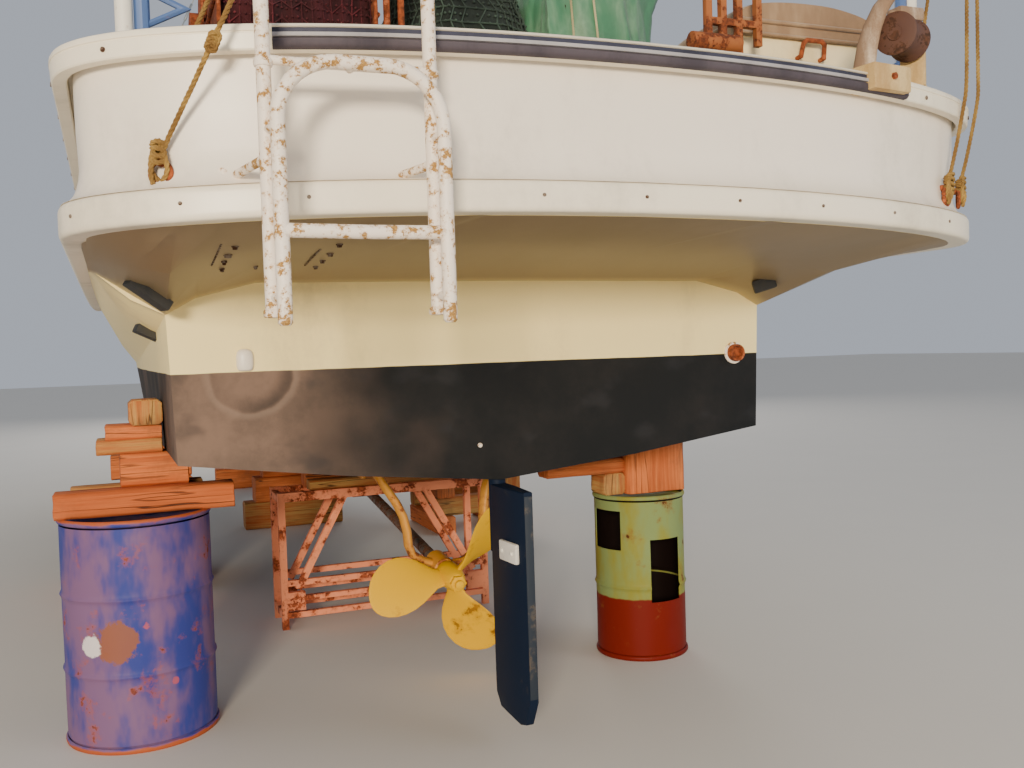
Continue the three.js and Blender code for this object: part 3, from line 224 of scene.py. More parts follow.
def build_groups() -> dict[str, bpy.types.NodeTree]:
    """Builds the effects that several finishes share.

    Returns:
        The groups by name.
    """
    groups = {}

    def stains(w: Wiring, i: dict, o: dict) -> None:
        """Soft dirt, drawn out downwards by the run, with fine specks.

        Args:
            w: Writes the group's nodes.
            i: Its input sockets by name.
            o: Its output sockets by name.
        """
        pull = w.node("ShaderNodeCombineXYZ", {0: 1.0, 1: 1.0, 2: i["Run"]}).outputs[0]
        runs = w.vector("MULTIPLY", i["Place"], pull)
        cloud = w.noise(runs, i["Scale"], 6.0, 0.6)
        fine = w.noise(i["Place"], w.times(i["Scale"], 14.0), 3.0, 0.7)
        low = w.minus(0.78, i["Amount"])
        mask = w.band(w.plus(cloud, w.times(fine, 0.16)), low, w.plus(low, 0.3))
        mask = w.times(mask, i["Depth"])
        join_outputs(w, o, {"Color": w.mix(mask, i["Color"], i["Dirt"]), "Mask": mask})

    groups["stains"] = shader_group("surface_stains", [
        ("Color", "color", (1, 1, 1, 1)), ("Dirt", "color", (0.2, 0.15, 0.1, 1)), ("Place", "vector", (0, 0, 0)),
        ("Scale", "value", 3.0), ("Amount", "value", 0.2), ("Depth", "value", 0.6), ("Run", "value", 0.28),
    ], [("Color", "color"), ("Mask", "value")], stains)

    def rust(w: Wiring, i: dict, o: dict) -> None:
        """Paint that has flaked off to rust, with a stained rim round each patch.

        Args:
            w: Writes the group's nodes.
            i: Its input sockets by name.
            o: Its output sockets by name.
        """
        patch = w.noise(i["Place"], i["Scale"], 8.0, 0.62)
        fine = w.noise(i["Place"], w.times(i["Scale"], 6.0), 4.0, 0.6)
        level = w.plus(patch, w.wobble(fine, 0.22))
        edge = w.minus(1.0, i["Cover"])
        bare = w.band(level, edge, w.plus(edge, 0.025))
        rim = w.band(level, w.minus(edge, 0.09), w.plus(edge, 0.02))
        tone = w.mix(w.band(fine, 0.3, 0.7), i["Rust"], i["Dark"])
        stained = w.mix(w.times(rim, 0.55), i["Paint"], i["Rust"])
        height = w.minus(w.times(fine, w.times(bare, 0.5)), w.times(bare, 0.4))
        join_outputs(w, o, {"Color": w.mix(bare, stained, tone), "Mask": bare, "Height": height})

    groups["rust"] = shader_group("flaking_rust", [
        ("Paint", "color", (1, 1, 1, 1)), ("Rust", "color", rgb("a4562c")), ("Dark", "color", rgb("4a2412")),
        ("Place", "vector", (0, 0, 0)), ("Scale", "value", 12.0), ("Cover", "value", 0.4),
    ], [("Color", "color"), ("Mask", "value"), ("Height", "value")], rust)

    def grain(w: Wiring, i: dict, o: dict) -> None:
        """Sawn wood: long fibres, darker bands and drying cracks along the first coordinate.

        Args:
            w: Writes the group's nodes.
            i: Its input sockets by name.
            o: Its output sockets by name.
        """
        long = w.vector("MULTIPLY", i["Place"], (1.3, 26.0, 26.0))
        fibre = w.noise(long, 2.2, 6.0, 0.65)
        slow = w.vector("MULTIPLY", i["Place"], (0.7, 5.0, 5.0))
        bands = w.noise(slow, 1.8, 3.0, 0.5)
        split = w.vector("MULTIPLY", i["Place"], (1.1, 22.0, 22.0))
        crack = w.math("ABSOLUTE", w.minus(w.noise(split, 1.1, 2.0, 0.4), 0.5))
        crack = w.minus(1.0, w.band(crack, 0.004, 0.02))
        crack = w.times(crack, w.band(bands, 0.42, 0.62))
        tone = w.plus(w.times(fibre, 0.6), w.times(bands, 0.5))
        color = w.mix(w.band(tone, 0.35, 0.78), i["Dark"], i["Light"])
        color = w.mix(w.times(crack, 0.85), color, i["Crack"])
        height = w.minus(w.times(fibre, 0.5), crack)
        join_outputs(w, o, {"Color": color, "Height": height, "Mask": crack})

    groups["grain"] = shader_group("wood_grain", [
        ("Light", "color", (1, 1, 1, 1)), ("Dark", "color", (0, 0, 0, 1)), ("Crack", "color", rgb("2a130a")),
        ("Place", "vector", (0, 0, 0)),
    ], [("Color", "color"), ("Height", "value"), ("Mask", "value")], grain)

    def weave(w: Wiring, i: dict, o: dict) -> None:
        """Crossed threads at a given count for each metre.

        Args:
            w: Writes the group's nodes.
            i: Its input sockets by name.
            o: Its output sockets by name.
        """
        place = w.parts(i["Place"])
        warp, weft = [w.math("SINE", w.times(along, w.times(i["Count"], 6.2832))) for along in place[:2]]
        height = w.times(warp, weft)
        join_outputs(w, o, {"Height": height, "Mask": w.band(height, -0.4, 0.6)})

    groups["weave"] = shader_group("cloth_weave", [("Place", "vector", (0, 0, 0)), ("Count", "value", 300.0)],
                                   [("Height", "value"), ("Mask", "value")], weave)
    return groups


GROUPS = build_groups()


class Coat:
    """One material while it is put together."""

    def __init__(self, name: str) -> None:
        """Starts a material with an empty Principled shader."""
        self.material = bpy.data.materials.new(name)
        self.material.use_nodes = True
        tree = self.material.node_tree
        self.w = Wiring(tree)
        self.shader = tree.nodes["Principled BSDF"]
        self.place = self.w.node("ShaderNodeTexCoord").outputs["Object"]

    def group(self, name: str, inputs: dict) -> bpy.types.Node:
        """Places a shared effect with its own values."""
        return self.w.node("ShaderNodeGroup", inputs, node_tree=GROUPS[name])

    def stains(self, color: object, dirt: str, scale: float, amount: float, depth: float,
               run: float = 0.28) -> bpy.types.Node:
        """Lays the shared dirt over a colour.

        Args:
            color: The colour under it.
            dirt: The dirt's colour.
            scale: Patches a metre.
            amount: How much of the surface it takes.
            depth: How strongly it covers.
            run: Below 1 draws it out downwards.

        Returns:
            The group's node.
        """
        return self.group("stains", {"Color": color, "Dirt": rgb(dirt), "Place": self.place, "Scale": scale,
                                     "Amount": amount, "Depth": depth, "Run": run})

    def feed(self, **sockets: object) -> None:
        """Links or sets the shader's inputs, named with underscores for spaces."""
        for name, value in sockets.items():
            self.w.put(self.shader.inputs[name.replace("_", " ")], value)

    def bump(self, height: object, strength: float, distance: float = 0.002) -> None:
        """Feeds a height through a Bump node to the shader's normal."""
        made = self.w.node("ShaderNodeBump", {"Height": height, "Strength": strength, "Distance": distance})
        self.feed(Normal=made.outputs[0])


@dataclass(frozen=True)
class Moulding:
    """Painted or gelcoated plastic with faint dirt and a fine ripple."""

    name: str
    color: str
    dirt: str = "8c8272"
    amount: float = 0.2
    depth: float = 0.4
    scale: float = 2.4
    roughness: float = 0.42
    coat: float = 0.15

    def build(self) -> bpy.types.Material:
        """Builds the material.

        Returns:
            The material.
        """
        c = Coat(self.name)
        dirt = c.stains(rgb(self.color), self.dirt, self.scale, self.amount, self.depth)
        ripple = c.w.noise(c.place, 9.0, 2.0, 0.4)
        rough = c.w.plus(c.w.times(dirt.outputs["Mask"], 0.4), self.roughness)
        c.feed(Base_Color=dirt.outputs["Color"], Roughness=rough, Coat_Weight=self.coat, Coat_Roughness=0.25)
        c.bump(ripple, 0.12)
        return c.material


@dataclass(frozen=True)
class Cloth:
    """Woven sheet with faded folds, soft dirt and a visible weave."""

    name: str
    color: str
    faded: str
    dirt: str
    count: float = 260.0
    roughness: float = 0.7
    sheen: float = 0.2

    def build(self) -> bpy.types.Material:
        """Builds the material.

        Returns:
            The material.
        """
        c = Coat(self.name)
        along = c.w.node("ShaderNodeUVMap", uv_map="grain").outputs[0]
        fade = c.w.band(c.w.noise(c.w.stretch(c.place, (1.0, 1.0, 0.3)), 7.0, 4.0, 0.6), 0.45, 0.72)
        base = c.w.mix(fade, rgb(self.color), rgb(self.faded))
        dirt = c.stains(base, self.dirt, 4.0, 0.3, 0.6, 0.6)
        weave = c.group("weave", {"Place": along, "Count": self.count})
        wrinkle = c.w.noise(c.place, 24.0, 4.0, 0.6)
        c.feed(Base_Color=dirt.outputs["Color"], Roughness=self.roughness, Sheen_Weight=self.sheen, Sheen_Roughness=0.5)
        c.bump(c.w.plus(wrinkle, c.w.times(weave.outputs["Height"], 0.16)), 0.35, 0.003)
        return c.material


@dataclass(frozen=True)
class HullCoat:
    """White topsides and overhang, with the cream painted brighter and yellower as warm sunlight and painted shade
    under the overhang; bottom paint under the waterline with dust and painted light; and a grey-green deck.
    """

    name: str = "hull_paint"
    scar_x: float = 0.925
    scar_z: float = 1.435
    scar: float = 0.142
    transom: float = 4.69

    def bottom(self, c: Coat, x: object, y: object, z: object) -> bpy.types.NodeSocket:
        """Bottom paint: brown dust and painted sunlight to port on the transom, painted shade near black to starboard,
        and a round scar.

        Args:
            c: The coat that the nodes go into.
            x: Place across.
            y: Place along.
            z: Height.

        Returns:
            The bottom paint's colour.
        """
        w = c.w
        cloud = w.noise(c.place, 1.9, 3.0)
        # Painted light and dust: across the transom the paint turns lighter and browner to port, as dust with painted
        # sunlight, and near black to starboard, as painted shade.
        across = w.band(w.plus(x, w.wobble(cloud, 0.9)), 0.3, 1.0)
        aft = w.band(y, self.transom - 0.4, self.transom)
        along = w.times(w.band(cloud, 0.3, 0.75), w.minus(0.55, w.times(aft, 0.55)))
        turn = w.plus(w.times(across, aft), along)
        black_and_shade = c.stains(rgb("131517"), "2c2826", 2.4, 0.3, 0.5, 1.0)
        dust_and_sunlight = c.stains(rgb("7d6658"), "594b42", 3.6, 0.3, 0.7, 1.0)
        paint = w.mix(turn, black_and_shade.outputs["Color"], dust_and_sunlight.outputs["Color"])
        smudge = w.band(w.noise(w.stretch(c.place, (1.0, 1.0, 1.5), (3, 1, 7)), 4.2, 3.0), 0.55, 0.72)
        paint = w.mix(w.times(smudge, 0.5), paint, rgb("2b2b2e"))
        dx, dz = w.minus(x, self.scar_x), w.minus(z, self.scar_z)
        far = w.math("SQRT", w.plus(w.times(dx, dx), w.times(dz, dz)))
        far = w.plus(far, w.wobble(w.noise(c.place, 9.0), 0.03))
        inside = w.times(w.band(far, self.scar * 0.5, self.scar * 0.92),
                        w.minus(1.0, w.band(far, self.scar * 0.94, self.scar * 1.06)))
        lean = w.band(w.plus(dx, w.times(dz, 0.5)), 0.04, -0.12)
        inside = w.times(w.times(inside, w.plus(0.2, w.times(lean, 0.5))), aft)
        rim = w.times(w.band(far, self.scar * 0.98, self.scar * 1.06),
                     w.minus(1.0, w.band(far, self.scar * 1.08, self.scar * 1.25)))
        paint = w.mix(w.times(inside, 0.8), paint, rgb("211f20"))
        return w.mix(w.times(w.times(rim, aft), 0.22), paint, rgb("a08a7a"))

    def build(self) -> bpy.types.Material:
        """Builds the material.

        Returns:
            The material.
        """
        c = Coat(self.name)
        w = c.w
        x, y, z = w.parts(c.place)
        up = w.parts(w.node("ShaderNodeNewGeometry").outputs["True Normal"])[2]
        # Painted shade: the overhang's underside, which faces down, is mixed to a dark brown.
        under = w.times(w.band(up, -0.3, -0.8), w.band(y, self.transom - 0.1, self.transom + 0.1))
        under = w.times(under, 0.85)
        shade = w.mix(w.noise(w.stretch(c.place, (1.6, 0.5, 1.0)), 3.0, 4.0, 0.6), rgb("5f4b3d"), rgb("7a6250"))
        # The topsides' own cream is painted brighter and yellower as warm sunlight.
        white_with_painted_light = c.stains(w.mix(under, rgb("ffeaa6"), shade), "a08c6c", 2.2, 0.18, 0.4)
        wobble = w.wobble(w.noise(c.place, 6.0), 0.006)
        above = w.band(w.plus(z, wobble), WATERLINE - 0.0015, WATERLINE + 0.0015)
        sides = w.mix(above, self.bottom(c, x, y, z), white_with_painted_light.outputs["Color"])
        deck = w.times(w.band(up, 0.8, 0.9), w.band(z, 1.7, 1.75))
        tread = c.stains(rgb("93a193"), "5c5a4c", 3.0, 0.35, 0.7, 1.0)
        grit = w.noise(c.place, 420.0, 2.0, 0.6)
        rough = w.minus(0.78, w.times(above, 0.34))
        rough = w.math("MAXIMUM", rough, w.times(deck, 0.85))
        c.feed(Base_Color=w.mix(deck, sides, tread.outputs["Color"]), Roughness=rough, Specular_IOR_Level=0.3)
        fine = w.plus(w.noise(c.place, 7.0, 2.0), w.times(w.times(grit, deck), 0.5))
        c.bump(fine, 0.2)
        return c.material


@dataclass(frozen=True)
class Steel:
    """Painted steel with rust where the paint is gone."""

    name: str
    paint: str
    rust: str = "a4562c"
    dark: str = "4a2412"
    cover: float = 0.4
    scale: float = 12.0
    roughness: float = 0.5
    metallic: float = 0.0
    specular: float = 0.5

    def paint_at(self, c: Coat) -> object:
        """The paint's colour."""
        return rgb(self.paint)

    def cover_at(self, c: Coat) -> object:
        """How much of the paint is gone."""
        return self.cover

    def over(self, c: Coat, color: bpy.types.NodeSocket) -> bpy.types.NodeSocket:
        """Marks that lie over paint and rust alike."""
        return color

    def build(self) -> bpy.types.Material:
        """Builds the material.

        Returns:
            The material.
        """
        c = Coat(self.name)
        rust = c.group("rust", {"Paint": self.paint_at(c), "Rust": rgb(self.rust), "Dark": rgb(self.dark),
                                "Place": c.place, "Scale": self.scale, "Cover": self.cover_at(c)})
        mask = rust.outputs["Mask"]
        rough = c.w.plus(c.w.times(mask, 0.4), self.roughness)
        bare = c.w.times(c.w.minus(1.0, mask), self.metallic) if self.metallic else 0.0
        c.feed(Base_Color=self.over(c, rust.outputs["Color"]), Roughness=rough, Metallic=bare,
               Specular_IOR_Level=self.specular)
        c.bump(rust.outputs["Height"], 0.6)
        return c.material


@dataclass(frozen=True)
class PatchySteel(Steel):
    """Steel that rusts more near some heights. Each row has a height, a reach and more cover."""

    heights: tuple[tuple[float, float, float], ...] = ()

    def cover_at(self, c: Coat) -> bpy.types.NodeSocket:
        """How much of the paint is gone, by height.

        Args:
            c: The coat that the nodes go into.

        Returns:
            The cover.
        """
        w = c.w
        z = w.parts(c.place)[2]
        cover = w.plus(self.cover, 0.0)
        for height, reach, more in self.heights:
            near = w.math("ABSOLUTE", w.minus(z, height))
            cover = w.plus(cover, w.times(w.band(near, reach, reach * 0.3), more))
        return cover


@dataclass(frozen=True)
class PostSteel(Steel):
    """Gantry posts: the inner tubes and their steps are blue, the outer ones white."""

    inner: str = "4f6a9c"
    border: float = 1.279

    def paint_at(self, c: Coat) -> bpy.types.NodeSocket:
        """The paint's colour on either side of the border.

        Args:
            c: The coat that the nodes go into.

        Returns:
            The colour.
        """
        w = c.w
        x = w.math("ABSOLUTE", w.parts(c.place)[0])
        return w.mix(w.band(x, self.border - 0.001, self.border + 0.001), rgb(self.inner), rgb(self.paint))


@dataclass(frozen=True)
class DrumSteel(Steel):
    """Drum paint with faded fields, a second colour below a height and over another, and round marks.

    A drum that is cut open has its axis as core, and where its skin faces that, on the inside, it is painted dark as
    shade.
    """

    faded: str = "8b7496"
    low: str = "a8431f"
    split: float = -1.0
    crown: float = 9.0
    marks: tuple[tuple[float, float, float, float, str], ...] = ()
    core: Flat | None = None

    def paint_at(self, c: Coat) -> bpy.types.NodeSocket:
        """The paint's colour, faded in tall fields.

        Args:
            c: The coat that the nodes go into.

        Returns:
            The colour.
        """
        w = c.w
        field_ = w.band(w.noise(w.stretch(c.place, (1.0, 1.0, 0.42)), 5.0, 4.0, 0.6), 0.42, 0.62)
        paint = w.mix(field_, rgb(self.paint), rgb(self.faded))
        z = w.parts(c.place)[2]
        ragged = w.plus(z, w.wobble(w.noise(c.place, 14.0), 0.02))
        paint = w.mix(w.band(ragged, self.split - 0.004, self.split + 0.004), rgb(self.low), paint)
        return w.mix(w.band(ragged, self.crown - 0.004, self.crown + 0.004), paint, rgb(self.low))

    def over(self, c: Coat, color: bpy.types.NodeSocket) -> bpy.types.NodeSocket:
        """Lays the round marks over the paint, and the painted shade inside a cut-open drum.

        Args:
            c: The coat that the nodes go into.
            color: Colour under the marks.

        Returns:
            The colour with its marks.
        """
        w = c.w
        for x, y, z, reach, code in self.marks:
            far = w.vector("DISTANCE", c.place, (x, y, z))
            far = w.plus(far, w.wobble(w.noise(c.place, 17.0, 6.0, 0.7), reach * 1.7))
            color = w.mix(w.times(w.band(far, reach, reach * 0.8), 0.9), color, rgb(code))
        # Painted shade: the inner skin, seen through the cut-outs, is darkened to near black.
        if self.core:
            out = w.vector("SUBTRACT", c.place, (*self.core, 0.0))
            inner_shade = w.vector("DOT_PRODUCT", out, w.node("ShaderNodeNewGeometry").outputs["True Normal"])
            color = w.mix(w.band(inner_shade, -0.02, -0.08), color, rgb("1c1311"))
        return color


@dataclass(frozen=True)
class Wood:
    """Sawn, weathered timber that reads its boards' own coordinates, each board in its own tone."""

    name: str
    light: str = "ee8a4a"
    dark: str = "b0521f"
    pale: str = "c9a45c"
    deep: str = "d2713a"

    def build(self) -> bpy.types.Material:
        """Builds the material.

        Returns:
            The material.
        """
        c = Coat(self.name)
        w = c.w
        along = w.node("ShaderNodeUVMap", uv_map="grain").outputs[0]
        board = w.math("FLOOR", w.math("DIVIDE", w.parts(along)[0], BOARD_STEP))
        tone = w.node("ShaderNodeTexWhiteNoise", {"W": board}, noise_dimensions="1D").outputs["Value"]
        light = w.mix(w.band(tone, 0.78, 0.8), rgb(self.light), rgb(self.pale))
        light = w.mix(w.band(tone, 0.22, 0.2), light, rgb(self.deep))
        grain = c.group("grain", {"Light": light, "Dark": rgb(self.dark), "Place": along})
        dirt = c.stains(grain.outputs["Color"], "6b4a33", 5.0, 0.22, 0.5, 1.0)
        c.feed(Base_Color=dirt.outputs["Color"], Roughness=0.86)
        c.bump(grain.outputs["Height"], 0.8, 0.004)
        return c.material


@dataclass(frozen=True)
class Glass:
    """Slightly green window glass."""

    name: str = "window_glass"

    def build(self) -> bpy.types.Material:
        """Builds the material.

        Returns:
            The material.
        """
        c = Coat(self.name)
        film = c.w.noise(c.place, 3.0, 4.0)
        c.feed(Base_Color=c.w.mix(film, rgb("9fb4b4"), rgb("b4c4c0")), Roughness=0.06, Transmission_Weight=0.8)
        return c.material


def smooth_tree() -> bpy.types.NodeTree:
    """Geometry nodes that shade smoothly across all but the sharp edges.

    Returns:
        The tree.
    """
    tree = bpy.data.node_groups.new("smooth_by_angle", "GeometryNodeTree")
    tree.interface.new_socket("Geometry", in_out="INPUT", socket_type="NodeSocketGeometry")
    tree.interface.new_socket("Angle", in_out="INPUT", socket_type="NodeSocketFloat").default_value = SMOOTH_ANGLE
    tree.interface.new_socket("Geometry", in_out="OUTPUT", socket_type="NodeSocketGeometry")
    w = Wiring(tree)
    start = w.node("NodeGroupInput")
    angle = w.node("GeometryNodeInputMeshEdgeAngle").outputs[0]
    sharp = w.node("FunctionNodeCompare", {0: angle, 1: start.outputs[1]}, operation="GREATER_THAN").outputs[0]
    faces = w.node("GeometryNodeSetShadeSmooth", {0: start.outputs[0]}, domain="FACE")
    edges = w.node("GeometryNodeSetShadeSmooth", {0: faces.outputs[0], 1: sharp, 2: False}, domain="EDGE")
    w.node("NodeGroupOutput", {0: edges.outputs[0]})
    return tree


def circle(count: int, again: bool = False) -> list[float]:
    """Angles at even steps round a circle, with the first one again at the end if asked."""
    return [2 * math.pi * k / count for k in range(count + again)]


def box(a: Spot, b: Spot) -> tuple[Vector, Vector]:
    """Size and middle of the box between two opposite corners."""
    low, high = Vector([*map(min, a, b)]), Vector([*map(max, a, b)])
    return high - low, (high + low) / 2


class Form:
    """Closed surfaces gathered into one mesh, in the maker's millimetres."""

    def __init__(self) -> None:
        """Starts an empty mesh with a coordinate layer for grain."""
        self.bm = bmesh.new()
        self.uv = self.bm.loops.layers.uv.new("grain")

    def loft(self, rings: Sequence[Ring], closed: bool = False, seed: float = 0.0) -> None:
        """Skins rings of equal count.

        Args:
            rings: Points of each ring, in order.
            closed: Joins the last ring to the first instead of capping both.
            seed: Shifts the grain coordinates, so that no two boards look alike.
        """
        count = len(rings[0])
        made = [[self.bm.verts.new(p) for p in ring] for ring in rings]
        along = [0.0]
        middles = [sum((Vector(p) for p in ring), Vector()) / count for ring in rings]
        for a, b in zip(middles, middles[1:]):
            along.append(along[-1] + (b - a).length / 1000)
        around = [0.0]
        widest = max(rings, key=lambda ring: (Vector(ring[0]) - Vector(ring[count // 2])).length)
        for j in range(count):
            around.append(around[-1] + (Vector(widest[(j + 1) % count]) - Vector(widest[j])).length / 1000)
        bands = len(rings) if closed else len(rings) - 1
        for i in range(bands):
            a, b = made[i], made[(i + 1) % len(rings)]
            for j in range(count):
                k = (j + 1) % count
                face = self.bm.faces.new((a[j], a[k], b[k], b[j]))
                for corner, (u, v) in zip(face.loops, ((i, j), (i, j + 1), (i + 1, j + 1), (i + 1, j))):
                    corner[self.uv].uv = (along[min(u, len(along) - 1)] + seed * BOARD_STEP,
                                          around[v] + seed * ACROSS_STEP)
        if not closed:
            for ring, flip in ((made[0], True), (made[-1], False)):
                face = self.bm.faces.new(list(reversed(ring)) if flip else ring)
                for corner in face.loops:
                    co = corner.vert.co - middles[0 if flip else -1]
                    corner[self.uv].uv = (co.z / 1000 + seed * BOARD_STEP + 2, (co.x + co.y) / 1000 + seed)

    def tube(self, path: Sequence[Spot], radius: float | Sequence[float], sides: int = 16) -> None:
        """Bends a round bar along a path, with closed, slightly rounded ends.

        Args:
            path: Points that the bar runs through.
            radius: Radius of all points or of each.
            sides: Faces round the bar.
        """
        points = [Vector(p) for p in path]
        radii = [radius] * len(points) if isinstance(radius, (int, float)) else list(radius)
        ends = [END_ROUND * radii[0], END_ROUND * radii[-1]]
        first = (points[1] - points[0]).normalized()
        last = (points[-1] - points[-2]).normalized()
        points = [points[0], points[0] + first * ends[0], *points[1:-1], points[-1] - last * ends[1], points[-1]]
        tip = 1 - END_ROUND
        radii = [radii[0] * tip, radii[0], *radii[1:-1], radii[-1], radii[-1] * tip]
        side = first.orthogonal().normalized()
        rings = []
        for i, point in enumerate(points):
            before = (point - points[i - 1]).normalized() if i else first
            after = (points[i + 1] - point).normalized() if i + 1 < len(points) else last
            way = (before + after).normalized()
            side = (side - way * side.dot(way)).normalized()
            up = way.cross(side)
            stretch = 1 / max(way.dot(after), 0.5)
            bend = after - before
            ring = []
            for angle in circle(sides):
                out = side * math.cos(angle) + up * math.sin(angle)
                if bend.length > 1e-4:
                    out += bend.normalized() * out.dot(bend.normalized()) * (stretch - 1)
                ring.append(tuple(point + out * radii[i]))
            rings.append(ring)
        self.loft(rings)

    def turned(self, profile: Sequence[Flat], centre: Spot, axis: Spot = UP,
               sides: int = 48, closed: bool = False) -> None:
        """Turns a profile of (distance along the axis, radius) rows about an axis through a point.

        Args:
            profile: Distance along the axis and radius of each ring.
            centre: A point of the axis.
            axis: The way of the axis.
            sides: Faces round the axis.
            closed: Joins the last ring to the first.
        """
        way = Vector(axis).normalized()
        side = way.orthogonal().normalized()
        up = way.cross(side)
        rings = []
        for along, radius in profile:
            ring = []
            for angle in circle(sides):
                out = side * math.cos(angle) + up * math.sin(angle)
                ring.append(tuple(Vector(centre) + way * along + out * max(radius, 0.05)))
            rings.append(ring)
        self.loft(rings, closed)

    def block(self, low: Spot, high: Spot, bevel: float = 4.0, turn: Matrix | None = None) -> None:
        """Adds a box between two opposite corners with bevelled edges, turned about its middle by a matrix.

        Args:
            low: One corner.
            high: The corner opposite.
            bevel: Width of the bevel.
            turn: Turn about its middle.
        """
        part = bmesh.new()
        layer = part.loops.layers.uv.new("grain")
        made = bmesh.ops.create_cube(part, size=1.0)["verts"]
        size, middle = box(low, high)
        for vert in made:
            vert.co = Vector((vert.co.x * size.x, vert.co.y * size.y, vert.co.z * size.z))
        if bevel:
            bmesh.ops.bevel(part, geom=part.edges[:], offset=bevel, segments=2, profile=0.6, affect="EDGES")
        for vert in part.verts:
            vert.co = (turn @ vert.co if turn else vert.co) + middle
        for face in part.faces:
            for corner in face.loops:
                corner[layer].uv = (corner.vert.co.x / 1000, corner.vert.co.z / 1000)
        scratch = bpy.data.meshes.new("scratch")
        part.to_mesh(scratch)
        part.free()
        self.bm.from_mesh(scratch)
        bpy.data.meshes.remove(scratch)

    def board(self, low: Spot, high: Spot, seed: int, turn: float = 0.0) -> None:
        """Adds a sawn timber: its long edges rubbed round, its faces uneven and its ends rough.

        Args:
            low: One corner.
            high: The corner opposite.
            seed: Picks the unevenness and the grain.
            turn: Turn about Z at its middle, in degrees.
        """
        size, middle = box(low, high)
        axis = max(range(3), key=lambda n: size[n])
        across = [n for n in range(3) if n != axis]
        half = [size[n] / 2 for n in across]
        edge = min(14.0, min(half) * 0.4)
        wear = 5.0
        corners = []
        for sx, sy in ((1, 1), (-1, 1), (-1, -1), (1, -1)):
            ends = [(sx, sy, 1, 0), (sx, sy, 0, 1)] if sx * sy > 0 else [(sx, sy, 0, 1), (sx, sy, 1, 0)]
            for ex, ey, px, py in ends:
                corners.append((ex * (half[0] - (0 if px else edge)), ey * (half[1] - (0 if py else edge))))
        outline = []
        for i, (a, b) in enumerate(corners):
            c, d = corners[(i + 1) % len(corners)]
            steps = 3 if i % 2 else 1
            for k in range(steps):
                outline.append((a + (c - a) * k / steps, b + (d - b) * k / steps))
        steps = max(6, int(size[axis] / 60))
        spin = Matrix.Rotation(math.radians(turn), 3, "Z")
        rings = []
        for i in range(-1, steps + 2):
            share = min(max(i, 0), steps) / steps
            end = i in (-1, steps + 1)
            ring = []
            for a, b in outline:
                shrink = 0.94 if end else 1.0
                p = Vector((0, 0, 0))
                p[axis] = (share - 0.5) * size[axis]
                p[across[0]], p[across[1]] = a * shrink, b * shrink
                spot = p / 90 + Vector((seed * 7.1, seed * 3.3, seed * 5.9))
                dent = wear * max(noise.noise(spot), 0) + wear * 0.5 * max(noise.noise(spot * 4), 0)
                p[across[0]] -= math.copysign(dent, a)
                p[across[1]] -= math.copysign(dent * 0.6, b)
                if i in (0, steps, -1, steps + 1):
                    p[axis] -= math.copysign(3 + 6 * abs(noise.noise(spot * 3)) - (3 if end else 0), p[axis])
                ring.append(tuple(spin @ p + middle))
            rings.append(ring)
        self.loft(rings, seed=seed)

    def object(self, name: str, material: bpy.types.Material, body: Body, slot: str,
               replaces: Sequence[str] = (), angle: float = 38.0) -> bpy.types.Object:
        """Finishes the mesh as a piece of the model.

        Args:
            name: The piece's name.
            material: Its material.
            body: The body that it rides on.
            slot: The record's slot for its finish.
            replaces: CAD nodes that it stands for.
            angle: Edges sharper than this many degrees stay crisp.

        Returns:
            The finished object.
        """
        bmesh.ops.remove_doubles(self.bm, verts=self.bm.verts[:], dist=MERGE)
        bmesh.ops.recalc_face_normals(self.bm, faces=self.bm.faces[:])
        for vert in self.bm.verts:
            vert.co = Vector((vert.co.x, vert.co.y + ORIGIN_SHIFT, vert.co.z)) / 1000
        mesh = bpy.data.meshes.new(name)
        self.bm.to_mesh(mesh)
        self.bm.free()
        mesh.materials.append(material)
        return place(bpy.data.objects.new(name, mesh), body, slot, replaces, angle)


def place(obj: bpy.types.Object, body: Body, slot: str, replaces: Sequence[str] = (),
          angle: float = 38.0) -> bpy.types.Object:
    """Shades an object, links it to the scene and hangs it on its body.

    Args:
        obj: The object.
        body: The body that it rides on.
        slot: Not used.
        replaces: CAD nodes that it stands for.
        angle: Edges sharper than this many degrees stay crisp.

    Returns:
        The same object.
    """
    if obj.name not in bpy.context.scene.collection.objects:
        bpy.context.scene.collection.objects.link(obj)
    obj.data.shade_smooth()
    obj.data.set_sharp_from_angle(angle=math.radians(angle))
    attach(obj, body.value)
    if replaces:
        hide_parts(*replaces)
    LOG.info("%s: %d faces on %s", obj.name, len(obj.data.polygons), body.value)
    return obj


def arc(centre: Flat, radius: float, start: float, end: float, steps: int) -> list[Flat]:
    """Points of a flat arc, with its angles in degrees.

    Args:
        centre: Middle of the arc.
        radius: Its radius.
        start: First angle.
        end: Last angle.
        steps: How many parts it has.

    Returns:
        The arc's points.
    """
    return [(centre[0] + radius * math.cos(math.radians(start + (end - start) * i / steps)),
             centre[1] + radius * math.sin(math.radians(start + (end - start) * i / steps)))
            for i in range(steps + 1)]


def eased(profile: Sequence[Flat], radius: float, steps: int = 3) -> list[Flat]:
    """Rounds each corner of a closed flat outline.

    Args:
        profile: The outline.
        radius: Reach of each rounding.
        steps: How many parts a rounding has.

    Returns:
        The rounded outline.
    """
    points = [Vector(p) for p in profile]
    out = []
    for i, corner in enumerate(points):
        before, after = points[i - 1], points[(i + 1) % len(points)]
        reach_a = min(radius, (before - corner).length * 0.45)
        reach_b = min(radius, (after - corner).length * 0.45)
        a = corner + (before - corner).normalized() * reach_a
        b = corner + (after - corner).normalized() * reach_b
        for k in range(steps + 1):
            t = k / steps
            out.append(tuple(a * (1 - t) ** 2 + corner * 2 * t * (1 - t) + b * t ** 2))
    return out


